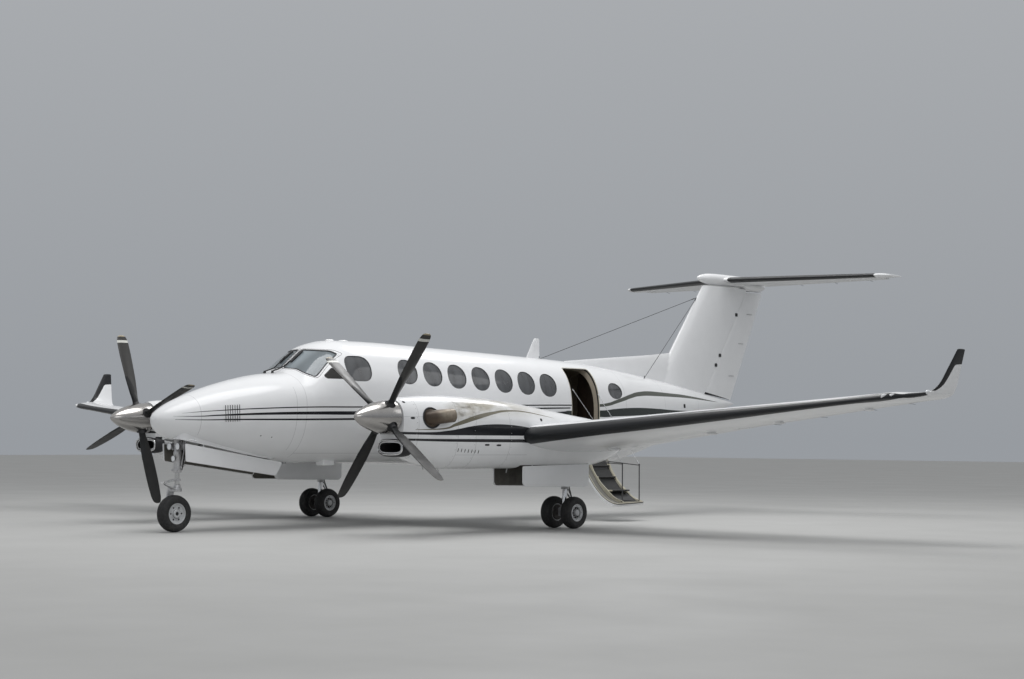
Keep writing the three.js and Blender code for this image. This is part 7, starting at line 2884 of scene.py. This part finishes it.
    def build_elevator(self, side: Side) -> None:
        """Builds one elevator, hanging by its droop."""
        rings = []
        for x in np.linspace(*self.span, 24):
            z = straight(TAILPLANE_ROWS, x)[0][3]
            rings.append([(x, *at) for at in self.surface(TAILPLANE_ROWS, x, z, 7)])
        ends = []
        for x in self.span:
            _, hinge, _, z, _ = straight(TAILPLANE_ROWS, x)[0]
            ends.append(np.array([x, hinge, z]))
        turn = np.array(Matrix.Rotation(math.radians(-self.droop), 3, Vector(ends[1] - ends[0])))
        made = Shape().loft(np.array(rings))
        for x in (0.9, 1.6, 2.3):
            _, _, trail, z, _ = straight(TAILPLANE_ROWS, x)[0]
            made.rod((x, trail - 0.01, z), (x, trail + 0.10, z - 0.004), 0.0024, 6, 1)
        made = made.bent(lambda points: (points - ends[0]) @ turn.T + ends[0])
        body = f"elevator_{side.word}"
        made.sided(side).piece(f"{body}_skin", body, (WHITE_PAINT, SEAL), "tail_paint", (body,), 30)


# Airstair


def swung(points: np.ndarray) -> np.ndarray:
    """Turns points of the closed airstair door to where it hangs open."""
    x, z = points[:, 0] - DOOR_HINGE[0], points[:, 2] - DOOR_HINGE[1]
    turned_x = x * math.cos(DOOR_OPEN) + z * math.sin(DOOR_OPEN)
    turned_z = z * math.cos(DOOR_OPEN) - x * math.sin(DOOR_OPEN)
    return np.stack([turned_x + DOOR_HINGE[0], points[:, 1], turned_z + DOOR_HINGE[1]], axis=1)


@dataclass(frozen=True)
class Airstair:
    """The airstair door with its stringers, treads, posts, rails and stay cables.

    Attributes:
        fore: Station of the forward stringer's outer face.
        aft: Station of the aft stringer's outer face.
        stringer: Outline of a stringer in x and z.
        treads: Inner x, outer x and top of each tread.
        posts: Foot x, y, foot z and top z of each post.
    """

    fore: float = 0.790
    aft: float = 1.260
    stringer: tuple[tuple[float, float], ...] = (
        (1.004, 0.886), (1.030, 0.832), (1.209, 0.575), (1.310, 0.468), (1.352, 0.424), (1.452, 0.353),
        (1.495, 0.324), (1.598, 0.285), (1.643, 0.268), (1.722, 0.276), (1.722, 0.314), (1.700, 0.321),
        (1.598, 0.350), (1.516, 0.392), (1.414, 0.475), (1.281, 0.584), (1.185, 0.690), (1.110, 0.790),
        (1.070, 0.886))
    treads: tuple[tuple[float, float, float], ...] = (
        (1.020, 1.076, 0.868), (1.136, 1.207, 0.692), (1.306, 1.490, 0.486))
    posts: tuple[tuple[float, float, float, float], ...] = (
        (1.700, 0.802, 0.296, 0.905), (1.680, 1.248, 0.300, 0.885))

    def build(self) -> None:
        """Builds the door, the steps, the rails and the stays."""
        self.build_door()
        self.build_steps()
        self.build_rails()

    def build_door(self) -> None:
        """Builds the door's outer skin, inner liner and rim."""
        outline = refined(doorway_outline(0.008), 0.04)
        skin = FUSELAGE.side_skin(Side.LEFT)
        door = Shape().panel(outline, skin, 0.0005, 0.028, 0, rings=9)
        inner = scaled(outline, (0.955, 0.972))
        door.panel(inner, skin, 0.028, 0.016, 3, rings=8)
        door.hoop(skin(scaled(inner, 0.985), 0.0445), (1, 0, 0), 0.006, 2, flat=0.8)
        low, high = (self.fore + 0.028, DOOR_LOW[1] + 0.06), (self.aft - 0.028, DOOR_HIGH[1] - 0.08)
        grip = refined(rounded(rectangle(low, high), 0.03, 4), 0.04)
        door.panel(grip, skin, 0.0435, 0.003, 1, rings=6)
        paints = (DOOR_OUTSIDE, TREAD, STEP_CREAM, DOOR_LINER)
        door.bent(swung).piece("airstair_door_skin", "airstair", paints, "step_paint",
                               ("airstair_door",), 40)

    def build_steps(self) -> None:
        """Builds stringers, treads, risers and the grip strips on the treads."""
        outline = rounded(self.stringer, 0.03, 4)
        steps = Shape()
        for y in (self.fore, self.aft - 0.024):
            steps.plate(outline, Axis.Y, y + 0.001, y + 0.023, 0.004, 0)
        rim_path = np.array([(x, 0, z) for x, z in outline])
        for y in (self.fore, self.aft):
            steps.hoop(rim_path + (0, y, 0), (0, 1, 0), 0.006, 0, flat=0.9, sides=8)
        low, high = self.fore + 0.022, self.aft - 0.022
        for inner, outer, top in self.treads:
            steps.box((inner, low, top - 0.022), (outer, high, top), 0.005, 0)
            steps.box((inner + 0.008, low + 0.01, top - 0.001), (outer - 0.004, high - 0.01, top + 0.0016),
                      0.0008, 1)
            start, end = ((outer - 0.002, y, top - 0.010) for y in (low + 0.004, high - 0.004))
            steps.rod(start, end, 0.0115, 14, 1)
        risers = (((1.104, 0.700), (1.044, 0.846)), ((1.250, 0.500), (1.160, 0.670)),
                  ((1.600, 0.318), (1.440, 0.420)))
        for (x_low, z_low), (x_high, z_high) in risers:
            riser = ((x_low, z_low), (x_high, z_high), (x_high + 0.012, z_high + 0.006),
                     (x_low + 0.012, z_low + 0.006))
            steps.loft(np.array([[(x, y, z) for x, z in riser] for y in (low, high)]), 2)
        steps.box((1.600, low, 0.286), (1.712, high, 0.304), 0.004, 0)
        steps.box((1.612, low + 0.01, 0.303), (1.706, high - 0.01, 0.3056), 0.0008, 1)
        steps.piece("airstair_steps_dressed", "airstair", (STEP_CREAM, TREAD, DARK_TRIM), "step_paint",
                    ("airstair_steps",), 40)

    def build_rails(self) -> None:
        """Builds the folding posts and rails, and the two stay cables."""
        rails = Shape()
        for x, y, foot, top in self.posts:
            rails.rod((x, y, foot), (x, y, top), 0.0090, 18)
            knob = ((0, 0.014), (0.010, 0.010), (0.0125, 0.0), (0.010, -0.010), (0.006, -0.014))
            rails.turned(knob, (x, y, top), (0, 0, 1), 20)
            rails.rod((x - 0.014, y, foot + 0.012), (x + 0.014, y, foot + 0.012), 0.014, 18)
            rails.rod((x, y, top - 0.010), (1.056, y, 0.927), 0.0070, 14)
            rails.rod((1.056, y, 0.860), (1.056, y, 0.935), 0.0080, 14)
        rails.piece("airstair_rails", "airstair", (RAIL,), "gear_metal")
        for name, start, end in (("fore", (0.790, 0.655, 2.076), (1.695, 0.802, 0.918)),
                                 ("aft", (0.786, 1.290, 2.010), (1.675, 1.248, 0.898))):
            stay = Shape().rod(start, end, 0.0040, 12)
            along = unit(np.subtract(end, start))
            stay.rod(np.subtract(end, along * 0.06), end, 0.0075, 14)
            stay.rod(start, np.add(start, along * 0.05), 0.0070, 14)
            stay.piece(f"airstair_stay_{name}", AIRFRAME, (CABLE,), "cable_steel",
                       (f"airstair_cable_{name}",))


# Small fittings and the studio


@dataclass(frozen=True)
class Trim:
    """Aerials, masts, domes, probes, vents and jack pads.

    Attributes:
        antenna: Roof aerial. Columns: height, front, rear, half thickness.
        wire_tip: Where the wire aerials meet the fin.
        wire_side: x and y of the side wire's foot.
    """

    antenna: tuple[tuple[float, float, float, float], ...] = (
        (2.545, 0.396, 0.742, 0.012), (2.700, 0.486, 0.741, 0.011), (2.860, 0.580, 0.739, 0.009),
        (2.900, 0.606, 0.732, 0.007), (2.911, 0.632, 0.712, 0.004))
    wire_tip: tuple[float, float, float] = (0, 4.975, 3.824)
    wire_side: tuple[float, float] = (0.312, 3.082)

    def build(self) -> None:
        """Builds the fittings."""
        rings = []
        for z, lead, trail, half in self.antenna:
            thick = half / (0.5 * (trail - lead))
            rings.append(foil((0, lead, z), (0, trail, z), (1, 0, 0), thick, edge=0.001))
        blade = Shape().loft(np.array(rings))
        blade.plate(oval((0, 0.565), (0.040, 0.205), 40), Axis.Z, 2.55, 2.584, 0.003)
        blade.piece("roof_blade_antenna", AIRFRAME, (WHITE_PAINT,), "paint_white", ("blade_antenna",))
        self.build_domes()
        self.build_masts()
        self.build_wires()
        self.build_pads()

    def build_domes(self) -> None:
        """Builds the low domes on the roof."""
        domes = Shape()
        sizes = ((-3.92, 0.08, 0.09, 0.040, 0.026), (-3.62, 0.05, 0.10, 0.042, 0.022))
        for y, x, length, wide, tall in sizes:
            top = float(FUSELAGE.top_z(x, y)[0])
            rings = []
            for s in (0, 0.35, 0.6, 0.8, 0.92, 0.98):
                flat = oval((x, y), (wide * math.sqrt(1 - s * s), length * math.sqrt(1 - s * s)), 32)
                rings.append([(a, b, top - 0.006 + tall * s) for a, b in flat])
            domes.loft(np.array(rings))
        domes.piece("roof_domes", AIRFRAME, (WHITE_PAINT,), "paint_white")

    def build_masts(self) -> None:
        """Builds the masts and boxes on the belly, and the probes on the nose."""
        masts = Shape()
        for y, length, tall in ((-0.35, 0.12, 0.14), (1.55, 0.10, 0.12)):
            bottom = FUSELAGE.low_z(y)
            rings = []
            for s in (0, 0.5, 0.9, 1.0):
                size = length * (1 - 0.45 * s) * (1 if s < 1 else 0.8)
                middle, z = y + 0.09 * s, bottom + 0.02 - tall * s
                rings.append(foil((0, middle - size / 2, z), (0, middle + size / 2, z), (1, 0, 0), 0.14,
                                  edge=0.001, half_count=14))
            masts.loft(np.array(rings))
        bottom = FUSELAGE.low_z(-4.1)
        masts.box((0.17, -4.24, bottom - 0.030), (0.33, -4.03, bottom + 0.08), 0.012)
        for side in Side:
            at = FUSELAGE.side_skin(side)(np.array([[-6.47, 1.255]]), 0.0)[0]
            out = np.array([side.value * 0.075, -0.010, -0.030])
            masts.rod(at - out * 0.2, at + out, 0.010, 12)
            masts.rod(at + out + (0, 0.014, 0), at + out + (0, -0.135, 0.020), 0.0085, 12, end_radius=0.005)
        masts.piece("masts_and_probes", AIRFRAME, (WHITE_PAINT,), "paint_white")
        vents = Shape()
        for side in Side:
            skin = FUSELAGE.side_skin(side)
            vents.panel(oval((4.047, 1.866), (0.036, 0.034), 24, 7.0), skin, -0.001, 0.006, rings=3)
            for port in ((-5.55, 1.30), (-5.38, 1.28)):
                vents.panel(oval(port, (0.008, 0.008), 16), skin, -0.001, 0.006, rings=3)
        vents.piece("skin_vents", AIRFRAME, (SHADOW,), "panel_black")

    def build_wires(self) -> None:
        """Builds the two wire aerials from the roof to the fin."""
        wires = Shape()
        tip = np.array(self.wire_tip)
        root = float(FUSELAGE.top_z(*self.wire_side)[0])
        for foot in (np.array((0, 0.726, 2.572)), np.array((*self.wire_side, root))):
            wires.rod(foot, tip, 0.0045, 6)
            wires.rod(foot - (0, 0, 0.01), foot + (0, 0.012, 0.05), 0.006, 10, 1)
            wires.rod(foot + (tip - foot) * 0.965, foot + (tip - foot) * 0.985, 0.007, 10, 1)
        wires.piece("wire_aerials", AIRFRAME, (HOSE, SEAL), "cable_steel")

    def build_pads(self) -> None:
        """Builds the jack pads below the nose and the wings."""
        pads = Shape()
        y, _, down = Wing().skins(1.56, 0.34)
        under_wing = ((0.036, 0.028, 0.010, 0.007), y, down - 0.012)
        for x, (radii, y, z) in ((0, ((0.040, 0.030, 0.012, 0.008), -4.700, 0.905)),
                                 (1.56, under_wing), (-1.56, under_wing)):
            rim, foot, dimple, deep = radii
            profile = ((0, 0.03), (rim, 0.03), (rim, 0.006), (foot, 0.0), (dimple, 0.0), (deep, 0.006),
                       (0, 0.006))
            pads.turned(profile, (x, y, z), (0, 0, 1), 28)
        pads.piece("jack_pads", AIRFRAME, (GEAR_METAL,), "gear_metal")


@dataclass(frozen=True)
class Studio:
    """Pale floor, soft light and the photograph's camera.

    Attributes:
        eye: Where the camera stands.
        turn: Its azimuth in degrees, from +Y towards -X.
        pitch: How far it looks up.
        roll: How far it leans.
        lens: Its focal length in millimetres on a 36 mm sensor.
    """

    eye: tuple[float, float, float] = (20.872, -22.778, 1.282)
    turn: float = 42.397
    pitch: float = 2.933
    roll: float = 0.365
    lens: float = 68.02

    def build(self) -> None:
        """Builds the floor, the lights and the camera."""
        self.build_floor()
        self.build_light()
        self.build_camera()

    def build_floor(self) -> None:
        """Builds the pale floor."""
        paint = Finish("studio_floor", (0.45, 0.45, 0.44), 0.75, mottle=0.05, grain=0.6, relief=0.0)
        size = 90.0
        corners = ((-size, -size, 0), (size, -size, 0), (size, size, 0), (-size, size, 0))
        floor = Shape().add(np.array(corners), [(0, 1, 2, 3)])
        floor.mesh_object("studio_floor", (paint,))

    def build_light(self) -> None:
        """Builds the pale surroundings and four soft lamps."""
        scene = bpy.context.scene
        scene.view_settings.view_transform = "Standard"
        world = bpy.data.worlds.new("studio")
        scene.world = world
        world.use_nodes = True
        tree = world.node_tree
        ground = tree.nodes["Background"]
        place = tree.nodes.new("ShaderNodeTexCoord")
        parts = tree.nodes.new("ShaderNodeSeparateXYZ")
        tree.links.new(place.outputs["Generated"], parts.inputs[0])
        ramp = tree.nodes.new("ShaderNodeValToRGB")
        tree.links.new(parts.outputs["Z"], ramp.inputs[0])
        ramp.color_ramp.elements[0].position = 0.0
        ramp.color_ramp.elements[0].color = (0.50, 0.53, 0.57, 1)
        ramp.color_ramp.elements[1].position = 0.8
        ramp.color_ramp.elements[1].color = (0.98, 0.99, 1.0, 1)
        tree.links.new(ramp.outputs[0], ground.inputs["Color"])
        ground.inputs["Strength"].default_value = 0.62
        for name, place_at, target, size, power in (
            ("overhead", (2.5, -5.0, 15.0), (0.0, -1.0, 1.0), 11.0, 1150.0),
            ("front_fill", (19.0, -19.0, 9.0), (0.0, -1.5, 1.4), 10.0, 330.0),
            ("tail_fill", (15.0, 12.0, 12.0), (0.0, 3.0, 2.5), 9.0, 180.0),
            ("back_light", (-1.5, 6.0, 13.0), (2.0, -4.5, 2.0), 7.0, 560.0),
        ):
            lamp = bpy.data.lights.new(name, "AREA")
            lamp.shape = "DISK"
            lamp.size = size
            lamp.energy = power
            made = bpy.data.objects.new(name, lamp)
            made.location = place_at
            made.rotation_euler = (Vector(target) - Vector(place_at)).to_track_quat("-Z", "Y").to_euler()
            scene.collection.objects.link(made)

    def build_camera(self) -> None:
        """Stands the camera where the photograph was taken from."""
        turn, pitch, roll = (math.radians(v) for v in (self.turn, self.pitch, self.roll))
        flat = math.cos(pitch)
        ahead = np.array([-math.sin(turn) * flat, math.cos(turn) * flat, math.sin(pitch)])
        level = np.array([math.cos(turn), math.sin(turn), 0.0])
        above = np.cross(level, ahead)
        right = math.cos(roll) * level + math.sin(roll) * above
        up = -math.sin(roll) * level + math.cos(roll) * above
        camera = bpy.data.cameras.new("photo_camera")
        camera.lens = self.lens
        camera.sensor_width = 36.0
        made = bpy.data.objects.new("photo_camera", camera)
        turned = np.stack([right, up, -ahead], axis=1).tolist()
        made.matrix_world = Matrix([[*row, at] for row, at in zip(turned, self.eye)] + [[0, 0, 0, 1]])
        bpy.context.scene.collection.objects.link(made)
        bpy.context.scene.camera = made


def main() -> None:
    """Loads the frame and builds every assembly."""
    logging.basicConfig(level=logging.INFO, format="%(message)s")
    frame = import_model()
    Studio().build()
    Fuselage().build()
    Glazing().build()
    Cabin().build(frame)
    Seating().build()
    Wing().build()
    Nacelle().build()
    Propeller(Side.LEFT, 37.0).build()
    Propeller(Side.RIGHT, -21.0).build()
    NoseGear().build()
    MainGear().build()
    GearDoors().build()
    Empennage().build()
    Airstair().build()
    Trim().build()
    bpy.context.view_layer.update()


if __name__ == "__main__":
    main()
